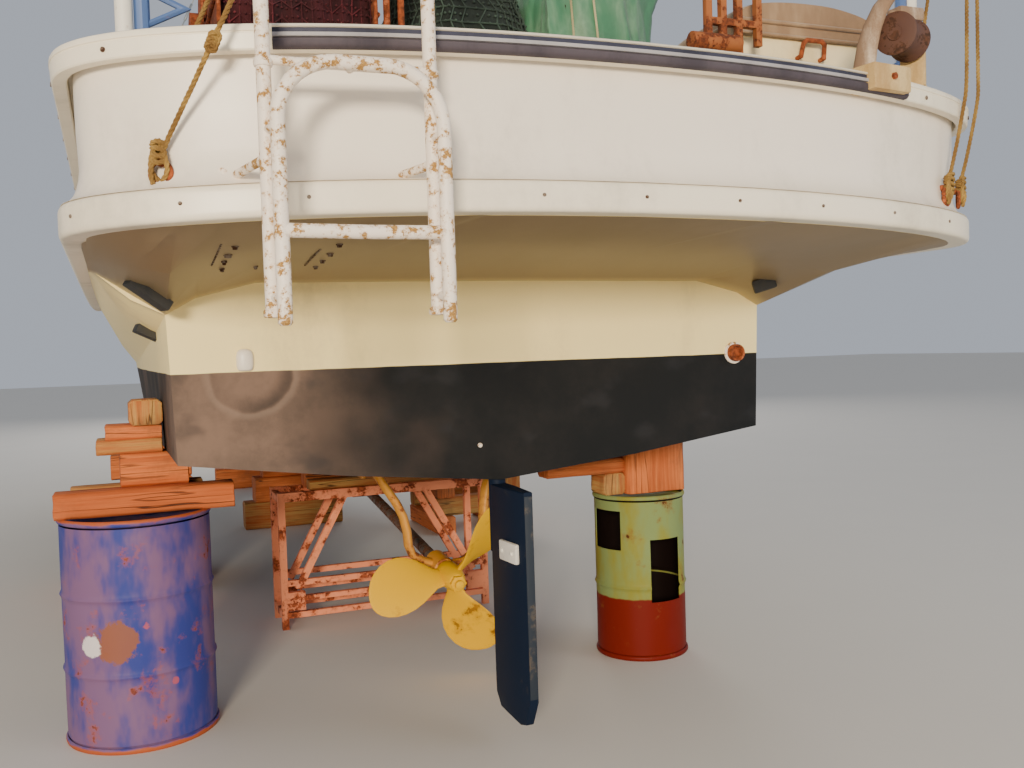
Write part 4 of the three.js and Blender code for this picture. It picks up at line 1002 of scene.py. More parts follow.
def rounded(x: Flat, y: Flat, radius: float, steps: int) -> list[Flat]:
    """Outline of a rectangle with rounded corners, with its first two points again at the end.

    Args:
        x: Both ends across.
        y: Both ends along.
        radius: Reach of each rounding.
        steps: How many parts a rounding has.

    Returns:
        The outline.
    """
    flat = eased([(x[0], y[0]), (x[1], y[0]), (x[1], y[1]), (x[0], y[1])], radius, steps)
    return [*flat, *flat[:2]]


def net_meshes(first: int, rows: int, sides: int) -> list[list[int]]:
    """Corners of a net's slanting meshes over rings of points.

    Args:
        first: The first ring.
        rows: The last ring.
        sides: Points of a ring.

    Returns:
        Four point numbers of each mesh.
    """
    faces = []
    for i in range(first, rows, 2):
        for k in range(0, sides, 2):
            shift = (i // 2) % 2
            corners = [(i, k + shift), (i, k + 2 + shift), (i + 2, k + 3 - shift), (i + 2, k + 1 - shift)]
            faces.append([a * sides + b % sides for a, b in corners])
    return faces


def lerp_rows(rows: Sequence[Sequence[float]], x: float) -> list[float]:
    """The row at x between the rows of a table whose first column rises or falls.

    Args:
        rows: The table.
        x: Where to read it.

    Returns:
        The row, without its first column.
    """
    ordered = sorted(rows)
    if x <= ordered[0][0]:
        return list(ordered[0][1:])
    for low, high in zip(ordered, ordered[1:]):
        if x <= high[0]:
            t = (x - low[0]) / (high[0] - low[0])
            return [a + (b - a) * t for a, b in zip(low[1:], high[1:])]
    return list(ordered[-1][1:])


@dataclass
class DeckEdge:
    """Rubbing band, bulwark and cap rail round the deck, from the hull's own edge curve."""

    half_beam: float = 1481
    swell: float = 22
    stern_reach: float = 1183
    crown: float = 81
    corner: float = 423
    power: float = 3.6
    bow_start: float = -3600
    stem: float = -10700
    deck_edge: float = 1841
    camber: float = 44
    sheer_start: float = -1800
    sheer_rise: float = 780
    cap_top: float = 404
    bow_rise: float = 240
    joint: float = 300
    half_height: float = 42
    stern_rise: float = 16
    gap: float = 0.3
    strip_ends: Flat = (-958, 975)
    stripes: tuple[tuple[str, str, tuple[Flat, ...]], ...] = (
        # name, finish, outline as inset and height over the cap's top
        ("stern_strip_base", "strip", ((4, -64), (-12, -62), (-18, -55), (-18, -42), (-11, -39), (-11, -15), (4, -15))),
        ("stern_strip_inlay", "strip_pale", ((-9, -38.5), (-19, -37), (-21, -33), (-20, -28), (-9, -26.5))),
        ("stern_strip_line", "strip_navy", ((-9, -26), (-13, -25.5), (-13, -15.6), (-9, -15.2))),
        ("stern_strip_lip", "cream", ((4, -15), (-15, -14.6), (-18, -12), (-15, -8.6), (4, -7.6))),
    )

    def beam_at(self, y: float) -> float:
        """Half beam of the band's outer face.

        Args:
            y: Place along the hull.

        Returns:
            The half beam.
        """
        start = self.stern_reach - self.corner - self.crown
        if y > self.bow_start:
            return self.half_beam + self.swell * math.sin((start - y) / (start - self.bow_start) * math.pi / 2)
        bow = min((self.bow_start - y) / (self.bow_start - self.stem), 1)
        return (self.half_beam + self.swell) * (1 - bow ** 2.3) ** 0.66

    def stern_at(self, x: float, inset: float = 0) -> float:
        """Y of the stern's outer edge at a half breadth.

        Args:
            x: Half breadth.
            inset: How far inside the edge.

        Returns:
            The place along the hull.
        """
        ratio = min(abs(x) / (self.half_beam - inset), 1)
        corner = self.corner * (1 - ratio ** self.power) ** (1 / self.power)
        return self.stern_reach - inset - self.corner - self.crown * ratio ** 2 + corner

    def middle(self, x: float, y: float) -> float:
        """Height of the band's middle line."""
        rise = max(self.sheer_start - y, 0) / (self.sheer_start - self.stem)
        return self.deck_edge + self.sheer_rise * rise ** 2 + self.camber * (1 - (x / self.half_beam) ** 2)

    def top(self, y: float) -> float:
        """Height of the cap over the band's middle line.

        Args:
            y: Place along the hull.

        Returns:
            The height.
        """
        bow = max(-y - 5000, 0) / (-self.stem - 5000)
        after = min(max((y + 3000) / 3000, 0), 1)
        return self.cap_top + self.bow_rise * bow ** 2 + self.stern_rise * after ** 2 * (3 - 2 * after)

    def edge(self) -> list[Flat]:
        """Outer edge from the middle of the stern round the port side to the stem.

        Returns:
            The edge's points.
        """
        points = []
        steps = 48
        for i in range(steps):
            x = self.half_beam * math.sin(i / steps * math.pi / 2) ** (2 / self.power)
            points.append((x, self.stern_at(x)))
        start = self.stern_reach - self.corner - self.crown
        points.append((self.half_beam, start))
        y = start
        while y > self.stem + 700:
            y -= 190
            y = self.joint if abs(y - self.joint) < 95 else y
            points.append((self.beam_at(y), y))
        for i in range(1, 25):
            share = math.sin(i / 24 * math.pi / 2)
            at = y + (self.stem - y) * share
            points.append((self.beam_at(at) if i < 24 else 0.0, at))
        return points

    def rings(self, side: int, profile: Callable[[float], list[Flat]], after: bool) -> list[Ring]:
        """Cross-sections along the stern or along one side.

        Args:
            side: 1 to port, -1 to starboard.
            profile: Gives inset and height of a cross-section at a place along the hull.
            after: Takes the part from the stern's middle to the joint.

        Returns:
            The rings.
        """
        edge = self.edge()
        cut = next(i for i, p in enumerate(edge) if abs(p[1] - self.joint) < 1)
        chosen = range(cut + 1) if after else range(cut, len(edge))
        out = []
        for i in chosen:
            x, y = edge[i]
            if i == 0:
                normal = (0.0, 1.0)
            elif i == len(edge) - 1:
                normal = (0.0, -1.0)
            else:
                (x0, y0), (x1, y1) = edge[i - 1], edge[i + 1]
                length = math.hypot(x1 - x0, y1 - y0)
                normal = (-(y1 - y0) / length, (x1 - x0) / length)
            ring = []
            for inset, height in profile(y):
                px = max(x - normal[0] * inset, self.gap / 2 if not after else 0)
                py = y - normal[1] * inset - (self.gap if not after and i == cut else 0)
                ring.append((side * px, py, self.middle(px, py) + height))
            out.append(ring)
        return out

    def rail(self, length: str, profile: Callable[[float], list[Flat]]) -> list[Ring]:
        """Rings of one of the three lengths: stern, port or starboard.

        Args:
            length: The rail's length.
            profile: Gives the cross-section.

        Returns:
            The rings.
        """
        if length != "stern":
            return self.rings(1 if length == "port" else -1, profile, False)
        port = self.rings(1, profile, True)
        starboard = self.rings(-1, profile, True)
        return list(reversed(port))[:-1] + starboard

    def band(self, _: float) -> list[Flat]:
        """Profile of the rubbing band.

        Args:
            _: Place along the hull, without effect.

        Returns:
            The outline.
        """
        h = self.half_height
        return eased([(0, -h + 10), (0, h - 10), (8, h), (76, h), (76, -h), (8, -h)], 9)

    def wall(self, y: float) -> list[Flat]:
        """Profile of the bulwark, with its cove into the band.

        Args:
            y: Place along the hull.

        Returns:
            The outline.
        """
        h = self.half_height
        top = self.top(y) - 22.9
        cove = [(6, h + 0.3), (22, h + 7), (36, h + 22), (46, h + 42), (52, h + 66), (56, h + 96)]
        return [*cove, (52, h + 190), (50, top), (94, top), (104, h + 0.3)]

    def cap(self, y: float) -> list[Flat]:
        """Profile of the cap rail, with a groove under its rounded top edge.

        Args:
            y: Place along the hull.

        Returns:
            The outline.
        """
        t = self.top(y)
        outer = [(3, t - 64), (0, t - 60), (-3, t - 24), (-1.2, t - 22), (-1.2, t - 20), (-4, t - 18), (-3.6, t - 9),
                 (0, t - 3), (6, t)]
        return [*outer, (128, t), (134, t - 4), (135, t - 22), (38, t - 22), (38, t - 60), (34, t - 64)]

    def build(self, finish: dict) -> None:
        """Builds the rails and the strip.

        Args:
            finish: Materials by the name of their finish.
        """
        for length in ("stern", "port", "starboard"):
            for kind, profile, slot in (("rubbing_band", self.band, "cream"), ("bulwark", self.wall, "gelcoat"),
                                        ("cap_rail", self.cap, "cream")):
                form = Form()
                form.loft(self.rail(length, profile))
                form.object(f"{kind}_{length}_finish", finish[slot], Body.BOAT, slot, [f"{kind}_{length}"], 30)
        self.rubber(finish)

    def rubber(self, finish: dict) -> None:
        """Builds the strip between its two ends: a dark base, two inlays and a pale lip.

        Args:
            finish: Materials by the name of their finish.
        """
        low, high = self.strip_ends
        for name, key, outline in self.stripes:
            rings = []
            for i in range(61):
                x = low + (high - low) * i / 60
                y = self.stern_at(x)
                slope = (self.stern_at(x + 1) - self.stern_at(x - 1)) / 2
                normal = Vector((-slope, 1)).normalized()
                ring = []
                for inset, height in outline:
                    px, py = x - normal.x * inset, y - normal.y * inset
                    ring.append((px, py, self.middle(px, py) + self.top(y) + height))
                rings.append(ring)
            form = Form()
            form.loft(rings)
            form.object(name, finish[key], Body.BOAT, "strip", ["stern_strip"] if key == "strip" else (), 50)


@dataclass
class Ladder:
    """Boarding ladder of bent tube, hung on the port quarter."""

    rail_x: float = 820
    rail_y: float = 1245
    rail_half: float = 197
    arch_x: float = 805
    arch_y: float = 1303
    arch_half: float = 194
    tube: float = 17
    strut: float = 11
    bend: float = 135
    crank: float = 80
    rail_foot: float = 1575
    rail_bend: float = 2760
    rail_head: float = 2900
    arch_foot: float = 1555
    arch_head: float = 2150

    def build(self, finish: dict, edge: DeckEdge) -> None:
        """Builds the ladder as one piece.

        Args:
            finish: Materials by the name of their finish.
            edge: The deck's own edge curve.
        """
        form = Form()
        form.tube(self.arch(), self.tube, 20)
        for side in (-1, 1):
            rail = self.rail_x + side * self.rail_half
            leg = self.arch_x + side * self.arch_half
            head = rail - side * self.crank
            low = [(rail, self.rail_y, self.rail_foot), (rail, self.rail_y, self.rail_bend)]
            curve = [(rail - side * self.crank * (1 - math.cos(a)), self.rail_y, self.rail_bend + 70 * math.sin(a))
                     for a in (0.3, 0.6, 0.9)]
            form.tube([*low, *curve, (head, self.rail_y, self.rail_head)], self.tube, 20)
            for z in (1620, 2000):
                form.tube([(rail, self.rail_y, z), (leg, self.arch_y, z)], self.strut, 12)
            pad = rail + 46
            wall = edge.stern_at(pad, 54)
            form.tube([(rail, self.rail_y, 1946), (rail + 6, self.rail_y - 40, 1940), (pad, wall + 30, 1931),
                       (pad, wall + 2, 1930)], self.strut, 12)
            form.block((pad - 44, wall - 6, 1912), (pad + 44, wall + 9, 1950), 3)
            for dx in (-28, 28):
                form.turned([(0, 9), (7, 9), (9, 5), (10, 0)], (pad + dx, wall + 6, 1938), ALONG, 6)
            for z in (1585, 2152):
                form.turned([(-9, 20), (-5, 22), (5, 22), (9, 20)], (rail, self.rail_y, z), UP, 16)
        for x, y, half, z, bar in (
                (self.rail_x, self.rail_y, self.rail_half, 2160, self.strut),
                (self.arch_x, self.arch_y, self.arch_half, 1768, self.tube - 0.5),
                (self.rail_x, self.rail_y, self.rail_half - self.crank, self.rail_head, self.tube - 0.5)):
            form.tube([(x - half, y, z), (x, y, z - 1.5), (x + half, y, z)], bar, 20)
        form.tube([(self.rail_x, self.rail_y, 2152), (self.rail_x, self.arch_y, 2150)], self.strut, 12)
        form.object("ladder_tubes", finish["ladder"], Body.BOAT, "painted", ["ladder"])

    def arch(self) -> list[Point]:
        """Path of the lower frame.

        Returns:
            The path.
        """
        x, y, half = self.arch_x, self.arch_y, self.arch_half
        port = arc((x + half - self.bend, self.arch_head - self.bend), self.bend, 0, 90, 9)
        starboard = arc((x - half + self.bend, self.arch_head - self.bend), self.bend, 90, 180, 9)
        bowed = [(px, y, pz) for px, pz in [*port, *starboard]]
        return [(x + half, y, self.arch_foot), *bowed, (x - half, y, self.arch_foot)]


@dataclass
class RunningGear:
    """Propeller, its shaft and bracket, and the rudder with its anodes."""

    slope: float = math.radians(7)
    prop_y: float = -670
    prop_z: float = 464
    bracket_y: float = -840
    blades: tuple[float, ...] = (-46, 88, 196)
    hub_reach: float = 90
    rudder_fore: float = -70
    rudder_aft: float = 265
    rudder_low: float = 85
    rudder_top: float = 965
    stock_y: float = -48

    def shaft_at(self, y: float) -> Point:
        """A point of the shaft's centre line."""
        return (0, y, self.prop_z + (self.prop_y - y) * math.tan(self.slope))

    def build(self, finish: dict) -> None:
        """Builds the pieces.

        Args:
            finish: Materials by the name of their finish.
        """
        self.propeller(finish)
        self.bracket(finish)
        self.rudder(finish)

    def propeller(self, finish: dict) -> None:
        """Builds three skewed blades on a turned hub with its bolts, and the shaft.

        Args:
            finish: Materials by the name of their finish.
        """
        rows = [
            # radius, chord, pitch, thickness, skew
            (40, 96, 62, 30, 0), (80, 118, 56, 27, 0), (125, 168, 49, 23, 2), (170, 220, 43, 19, 5),
            (215, 256, 38, 16, 9), (260, 272, 33, 13, 14), (300, 266, 30, 11, 20), (335, 236, 27, 9, 27),
            (360, 192, 25, 7, 34), (376, 142, 24, 6, 40), (385, 88, 23, 5, 45), (389, 34, 23, 4, 48),
        ]
        lean = Matrix.Rotation(-self.slope, 3, "X")
        centre = Vector((0, self.prop_y, self.prop_z))
        form = Form()
        for turn in self.blades:
            spin = Matrix.Rotation(math.radians(turn), 3, "Y")
            rings = []
            for radius, chord, pitch, thick, skew in rows:
                tilt = math.radians(pitch)
                ring = []
                for angle in circle(20):
                    a = 0.48 * chord * math.cos(angle) + skew * 1.5
                    t = 0.5 * thick * math.sin(angle) * (0.35 + 0.65 * abs(math.sin(angle)) ** 0.5)
                    x = a * math.cos(tilt) - t * math.sin(tilt)
                    y = a * math.sin(tilt) + t * math.cos(tilt)
                    bend = x / max(radius, 60)
                    curled = (radius * math.sin(bend), y, radius * math.cos(bend))
                    p = Vector(curled if radius > self.hub_reach else (x, y, radius))
                    ring.append(tuple(lean @ (spin @ p) + centre))
                rings.append(ring)
            form.loft(rings)
        way = lean @ Vector(ALONG)
        hub = [(-86, 20), (-86, 44), (-80, 50), (-62, 57), (-20, 57), (20, 53), (52, 46), (74, 39), (78, 36), (79, 33),
               (98, 33), (100, 29), (101, 21), (118, 20), (122, 14), (123, 0)]
        form.turned(hub, centre, way, 40)
        shaft = Form()
        shaft.turned([(-2790, 0), (-2790, 27), (-84, 27.5), (-60, 27.5), (-50, 0)], centre, way, 32)
        shaft.object("propeller_shaft", finish["wire"], Body.PROPELLER, "steel", angle=50)
        for angle in circle(6):
            out = lean @ Vector((math.cos(angle), 0, math.sin(angle)))
            form.turned([(-9, 0), (-9, 7), (9, 7), (9, 0)], centre + way * 88 + out * 31, way, 6)
        form.object("propeller_finish", finish["propeller"], Body.PROPELLER, "yellow", ["propeller"], 50)

    def bracket(self, finish: dict) -> None:
        """Builds the bearing with its two curved arms and their pads on the bottom.

        Args:
            finish: Materials by the name of their finish.
        """
        _, y, z = self.shaft_at(self.bracket_y)
        way = Vector(self.shaft_at(self.bracket_y - 100)) - Vector(self.shaft_at(self.bracket_y))
        form = Form()
        form.turned([(-75, 28.9), (-75, 46), (-70, 52), (-30, 54), (30, 54), (70, 52), (75, 46), (75, 28.9)],
                    (0, y, z), way, 40, True)
        paths = (
            # side, then across and up from the shaft
            (1, ((36, 14), (92, 34), (134, 66), (150, 110), (154, 176), (170, 246), (200, 310), (244, 380), (300, 470),
                 (330, 600))),
            (-1, ((40, 0), (110, 6), (163, 40), (198, 92), (216, 160), (224, 240), (236, 330), (268, 440), (314, 530),
                  (330, 600))),
        )
        for side, path in paths:
            rings = []
            for i, (x, up) in enumerate(path):
                ahead = Vector(path[min(i + 1, len(path) - 1)]) - Vector(path[max(i - 1, 0)])
                normal = Vector((-ahead.y, ahead.x)).normalized()
                ring = []
                for angle in circle(16):
                    off = normal * 20 * math.sin(angle)
                    ring.append((side * (x + off.x), y - 12 * (i / 9) + 35 * math.cos(angle), z + up + off.y))
                rings.append(ring)
            form.loft(rings)
            pad = side * 325
            form.block((pad - 62, y - 100, 936), (pad + 62, y + 80, 1010), 6)
            for dx in (-38, 38):
                for dy in (-74, 54):
                    form.turned([(0, 0), (0, 11), (-8, 11), (-10, 8), (-10, 0)], (pad + dx, y + dy, 937), UP, 6)
        form.object("shaft_bracket_finish", finish["bracket"], Body.BOAT, "yellow", ["shaft_bracket"], 40)

    def rudder(self, finish: dict) -> None:
        """Builds the faired blade, its stock, its straps and the anodes.

        Args:
            finish: Materials by the name of their finish.
        """
        fore, aft, low, top = self.rudder_fore, self.rudder_aft, self.rudder_low, self.rudder_top
        rows = [
            # height, fore edge, after edge, half thickness
            (top, fore, aft, 26), (top - 4, fore, aft, 32), (low + 105, fore, aft, 32), (low + 60, fore, aft - 24, 31),
            (low + 15, fore + 35, aft - 47, 29), (low + 10, fore + 105, aft - 50, 27), (low, aft - 100, aft - 80, 20),
        ]
        rings = []
        for z, a, b, half in rows:
            edge = min(30, (b - a) * 0.25)
            ring = [(half * s, y, z) for s, y in (
                (0.45, a), (0.8, a + edge / 3), (1, a + edge), (1, a + (b - a) * 0.5), (0.58, b - 4), (0.5, b),
                (-0.5, b), (-0.58, b - 4), (-1, a + (b - a) * 0.5), (-1, a + edge), (-0.8, a + edge / 3), (-0.45, a))]
            rings.append(ring)
        form = Form()
        form.loft(rings)
        form.turned([(0, 0), (0, 33.3), (570, 33.3), (570, 0)], (0, self.stock_y, 700), UP, 32)
        form.object("rudder_finish", finish["rudder"], Body.RUDDER, "navy", ["rudder"], 30)
        edges = Form()
        for y, half in ((fore + 3, 12), (aft - 1, 15.5)):
            edges.block((-half, y - 4, low + 120), (half, y + 4, top - 14), 2)
        edges.object("rudder_edges", finish["rudder_edge"], Body.RUDDER, "navy")
        plates = Form()
        for side in (1, -1):
            lean = Matrix.Rotation(math.radians(4.8 * side), 3, "Z")
            shift = side * 14
            plates.block((side * 36 - 9, 66 + shift, 694), (side * 36 + 9, 206 + shift, 770), 8, lean)
            for y, x in ((96, 47), (176, 41)):
                plates.turned([(0, 0), (0, 9), (6, 9), (8, 6), (8, 0)], (side * x, y + shift, 732), (side, 0, 0), 6)
        plates.object("rudder_anodes", finish["anode"], Body.RUDDER, "painted")


@dataclass
class SteelDrum:
    """A steel drum with rolled hoops and dents, and windows where it is cut open."""

    name: str
    node: str
    x: float
    y: float
    radius: float
    height: float
    hoops: tuple[float, ...]
    dents: tuple[tuple[float, float, float, float], ...] = ()
    windows: tuple[tuple[float, float, float, float], ...] = ()
    sides: int = 96
    skin: float = 3.0
    hoop_rise: float = 7
    hoop_width: float = 9

    def radius_at(self, z: float, angle: float) -> float:
        """Radius of the skin at a height and an angle, with its hoops and dents.

        Args:
            z: Height.
            angle: Angle round the axis.

        Returns:
            The radius.
        """
        r = self.radius - self.hoop_rise
        for hoop in self.hoops:
            r += self.hoop_rise * math.exp(-((z - hoop * self.height) / self.hoop_width) ** 2)
        for at, high, size, deep in self.dents:
            turn = (angle - math.radians(at) + math.pi) % (2 * math.pi) - math.pi
            r -= deep * math.exp(-((turn * self.radius) ** 2 + (z - high) ** 2) / size ** 2)
        return r + 1.2 * noise.noise(Vector((math.cos(angle) * 1.6, math.sin(angle) * 1.6, z / 210 + self.x)))

    def open_at(self, z: float, angle: float) -> bool:
        """Whether a cut-out passes through the skin there.

        Args:
            z: Height.
            angle: Angle round the axis.

        Returns:
            True inside a cut-out.
        """
        for at, half, low, high in self.windows:
            turn = (math.degrees(angle) - at + 180) % 360 - 180
            if abs(turn) < half and low < z < high:
                return True
        return False

    def build(self, finish: bpy.types.Material, slot: str) -> None:
        """Builds the skin, the rims and the ends.

        Args:
            finish: The drum's material.
            slot: The record's slot.
        """
        heights = sorted({*(round(self.height * i / 60, 3) for i in range(2, 59)),
                          *(h * self.height + d for h in self.hoops for d in (-12, -6, 0, 6, 12)),
                          *(edge for row in self.windows for edge in row[2:])})
        bm = bmesh.new()
        grid = []
        for z in heights:
            row = []
            for angle in circle(self.sides):
                r = self.radius_at(z, angle)
                row.append(bm.verts.new((self.x + r * math.cos(angle), self.y + r * math.sin(angle), z)))
            grid.append(row)
        for i in range(len(grid) - 1):
            for k in range(self.sides):
                n = (k + 1) % self.sides
                middle = 2 * math.pi * (k + 0.5) / self.sides
                if not self.open_at((heights[i] + heights[i + 1]) / 2, middle):
                    bm.faces.new((grid[i][k], grid[i][n], grid[i + 1][n], grid[i + 1][k]))
        loose = [v for v in bm.verts if not v.link_faces]
        bmesh.ops.delete(bm, geom=loose, context="VERTS")
        bmesh.ops.recalc_face_normals(bm, faces=bm.faces[:])
        middle = Vector((self.x, self.y, 0))
        face = bm.faces[0]
        outward = face.calc_center_median() - middle
        outward.z = 0
        if face.normal.dot(outward) < 0:
            bmesh.ops.reverse_faces(bm, faces=bm.faces[:])
        bmesh.ops.solidify(bm, geom=bm.faces[:], thickness=self.skin)
        scratch = bpy.data.meshes.new("scratch")
        bm.to_mesh(scratch)
        bm.free()
        form = Form()
        form.bm.from_mesh(scratch)
        bpy.data.meshes.remove(scratch)
        r, h = self.radius, self.height
        for low, up in ((4, 1), (h - 4, -1)):
            ring = [(low + up * (12 * math.sin(a) + 6), r - 6 + 7 * math.cos(a)) for a in circle(12)]
            form.turned(ring, (self.x, self.y, 0), UP, self.sides, True)
            plate = [(low + up * 22, 0), (low + up * 22, r - 20), (low + up * 14, r - 12), (low + up * 12, r - 12),
                     (low + up * 20, r - 22), (low + up * 20, 0)]
            form.turned(plate, (self.x, self.y, 0), UP, 48)
        form.object(self.name, finish, Body.BOAT, slot, [self.node], 40)


@dataclass
class Timbers:
    """Stacks of sawn timber that carry the hull."""

    port: tuple[tuple[float, ...], ...] = (
        # lowest x, highest x, lowest y, highest y, lowest z, highest z
        (940, 1613, -700, -560, 885, 985), (1050, 1560, -860, -740, 885, 985), (1110, 1372, -860, -640, 984, 1117),
        (1203, 1454, -850, -650, 1116, 1175), (1203, 1420, -860, -660, 1174, 1230),
        (1203, 1330, -850, -640, 1229, 1330),
    )
    centre: tuple[tuple[float, ...], ...] = (
        (-1174, -861, -760, -570, 775, 1130), (-862, -745, -740, -600, 775, 880), (-862, -455, -720, -600, 879, 950),
    )
    trestle: tuple[tuple[float, ...], ...] = (
        (-420, -120, -2140, -1966, 745, 985), (120, 420, -2140, -1966, 745, 985), (-420, 420, -1960, -1860, 745, 800),
    )

    def build(self, finish: dict) -> None:
        """Builds each stack as one piece, cut to the hull over it.

        Args:
            finish: Materials by the name of their finish.
        """
        hull = frame["nodes"]["hull"].data
        over = BVHTree.FromPolygons([v.co for v in hull.vertices], [p.vertices[:] for p in hull.polygons])
        for stack, rows in (("port", self.port), ("centre", self.centre), ("trestle", self.trestle)):
            name = f"{stack}_timbers"
            form = Form()
            for i, (x0, x1, y0, y1, z0, z1) in enumerate(rows):
                form.board((x0, y0, z0), (x1, y1, z1), seed=i + len(name), turn=(i % 3 - 1) * 0.9)
            for vert in form.bm.verts:
                start = Vector((vert.co.x, vert.co.y + ORIGIN_SHIFT, 100)) / 1000
                met = over.ray_cast(start, Vector(UP))[0]
                if met is not None:
                    vert.co.z = min(vert.co.z, met.z * 1000 - 0.5)
            form.object(name, finish["timber"], Body.BOAT, "timber", [f"{stack}_timber"], 50)
        self.blocks(finish)
        self.cribs(finish)

    def blocks(self, finish: dict) -> None:
        """Builds the blocks under the keel.

        Args:
            finish: Materials by the name of their finish.
        """
        for name, y, top in (("mid", -5200, 580), ("fore", -8000, 562)):
            form = Form()
            rows = [(420, 110, 0, 230), (330, 130, 230, 440), (260, 100, 440, top - 2)]
            for i, (half, deep, z0, z1) in enumerate(rows):
                form.board((-half, y - deep, z0), (half, y + deep, z1), seed=40 + i + len(name), turn=i * 0.8 - 0.8)
            for side in (-1, 1):
                x = side * 66
                form.board((x, y - 90, top - 2), (x + side * 150, y + 90, top + 56), seed=50 + side)
            form.object(f"keel_blocks_{name}", finish["timber"], Body.BOAT, "timber", [f"keel_block_{name}"], 50)

    def cribs(self, finish: dict) -> None:
        """Builds the two stacks of crossed timber.

        Args:
            finish: Materials by the name of their finish.
        """
        inner, outer, width, layer = 960, 1680, 150, 150
        for side, y, name in ((1, -3400, "port"), (-1, -4400, "starboard")):
            form = Form()
            for row in range(7):
                z = row * layer
                if row % 2 == 0:
                    for x in (inner, outer - width):
                        if row < 4 or x == inner:
                            form.board((side * x, y - 420, z), (side * (x + width), y + 420, z + layer),
                                       seed=60 + row * 3 + x % 7)
                else:
                    for along in (-400, 250):
                        far = outer if row < 4 else outer - width * 1.6
                        form.board((side * inner, y + along, z), (side * far, y + along + width, z + layer),
                                   seed=80 + row * 5 + side)
            form.object(f"crib_{name}_timbers", finish["timber"], Body.BOAT, "timber", [f"crib_{name}"], 50)


def geometry_tree(name: str, inputs: Sequence[tuple[str, str, object]]) -> tuple[Wiring, dict]:
    """Starts a geometry node tree with a geometry socket and named inputs.

    Args:
        name: The tree's name.
        inputs: Name, kind and default of each input after the geometry.

    Returns:
        The tree's wiring and its input sockets by name.
    """
    tree = bpy.data.node_groups.new(name, "GeometryNodeTree")
    tree.interface.new_socket("Geometry", in_out="INPUT", socket_type="NodeSocketGeometry")
    tree.interface.new_socket("Geometry", in_out="OUTPUT", socket_type="NodeSocketGeometry")
    kinds = {"value": "NodeSocketFloat", "count": "NodeSocketInt", "material": "NodeSocketMaterial"}
    for label, kind, default in inputs:
        made = tree.interface.new_socket(label, in_out="INPUT", socket_type=kinds[kind])
        if default is not None:
            made.default_value = default
    w = Wiring(tree)
    start = w.node("NodeGroupInput")
    return w, {socket.name: socket for socket in start.outputs}


def end_tree(w: Wiring, shape: bpy.types.NodeSocket, material: bpy.types.NodeSocket) -> bpy.types.NodeTree:
    """Ends a geometry tree: makes its instances real, gives them their material and puts them out.

    Args:
        w: Writes the tree's nodes.
        shape: What the tree made.
        material: The material's socket.

    Returns:
        The tree.
    """
    real = w.node("GeometryNodeRealizeInstances", {0: shape})
    done = w.node("GeometryNodeSetMaterial", {"Geometry": real.outputs[0], "Material": material})
    w.node("NodeGroupOutput", {0: done.outputs[0]})
    return w.tree


def metres(point: Spot) -> Point:
    """A point of the maker's millimetres in the row's frame."""
    x, y, z = point
    return (x / 1000, (y + ORIGIN_SHIFT) / 1000, z / 1000)


def grow(source: bpy.types.Object, tree: bpy.types.NodeTree, values: dict, name: str, body: Body,
         slot: str) -> bpy.types.Object:
    """Runs a geometry tree on a scratch object and keeps its result as a plain mesh.

    Args:
        source: Scratch object that carries the curve or mesh; it is removed.
        tree: The geometry tree.
        values: Input values by the input's name.
        name: The piece's name.
        body: The body that it rides on.
        slot: The record's slot.

    Returns:
        The finished piece.
    """
    bpy.context.scene.collection.objects.link(source)
    modifier = source.modifiers.new("grow", "NODES")
    modifier.node_group = tree
    for item in tree.interface.items_tree:
        if item.item_type == "SOCKET" and item.in_out == "INPUT" and item.name in values:
            modifier[item.identifier] = values[item.name]
    graph = bpy.context.evaluated_depsgraph_get()
    mesh = bpy.data.meshes.new_from_object(source.evaluated_get(graph), depsgraph=graph)
    mesh.name = name
    source.modifiers.clear()
    bpy.data.objects.remove(source)
    obj = bpy.data.objects.new(name, mesh)
    return place(obj, body, slot, angle=50)


def curve_of(paths: Sequence[Sequence[Point]], smooth: bool = True) -> bpy.types.Object:
    """A scratch curve object through points in the maker's millimetres.

    Args:
        paths: Points of each path.
        smooth: Rounds the paths off.

    Returns:
        The scratch object.
    """
    data = bpy.data.curves.new("scratch_path", "CURVE")
    data.dimensions = "3D"
    for path in paths:
        spline = data.splines.new("NURBS" if smooth and len(path) > 2 else "POLY")
        spline.points.add(len(path) - 1)
        for point, spot in zip(spline.points, path):
            point.co = (*metres(spot), 1)
        if spline.type == "NURBS":
            spline.order_u = 3
            spline.use_endpoint_u = True
            spline.resolution_u = 12
    return bpy.data.objects.new("scratch_path", data)


def mesh_scratch(vertices: Sequence[Point], faces: Sequence[Sequence[int]]) -> bpy.types.Object:
    """A scratch mesh object through points in the maker's millimetres.

    Args:
        vertices: Its points.
        faces: Point numbers of each face.

    Returns:
        The scratch object.
    """
    mesh = bpy.data.meshes.new("scratch_surface")
    mesh.from_pydata([metres(spot) for spot in vertices], [], faces)
    return bpy.data.objects.new("scratch_surface", mesh)


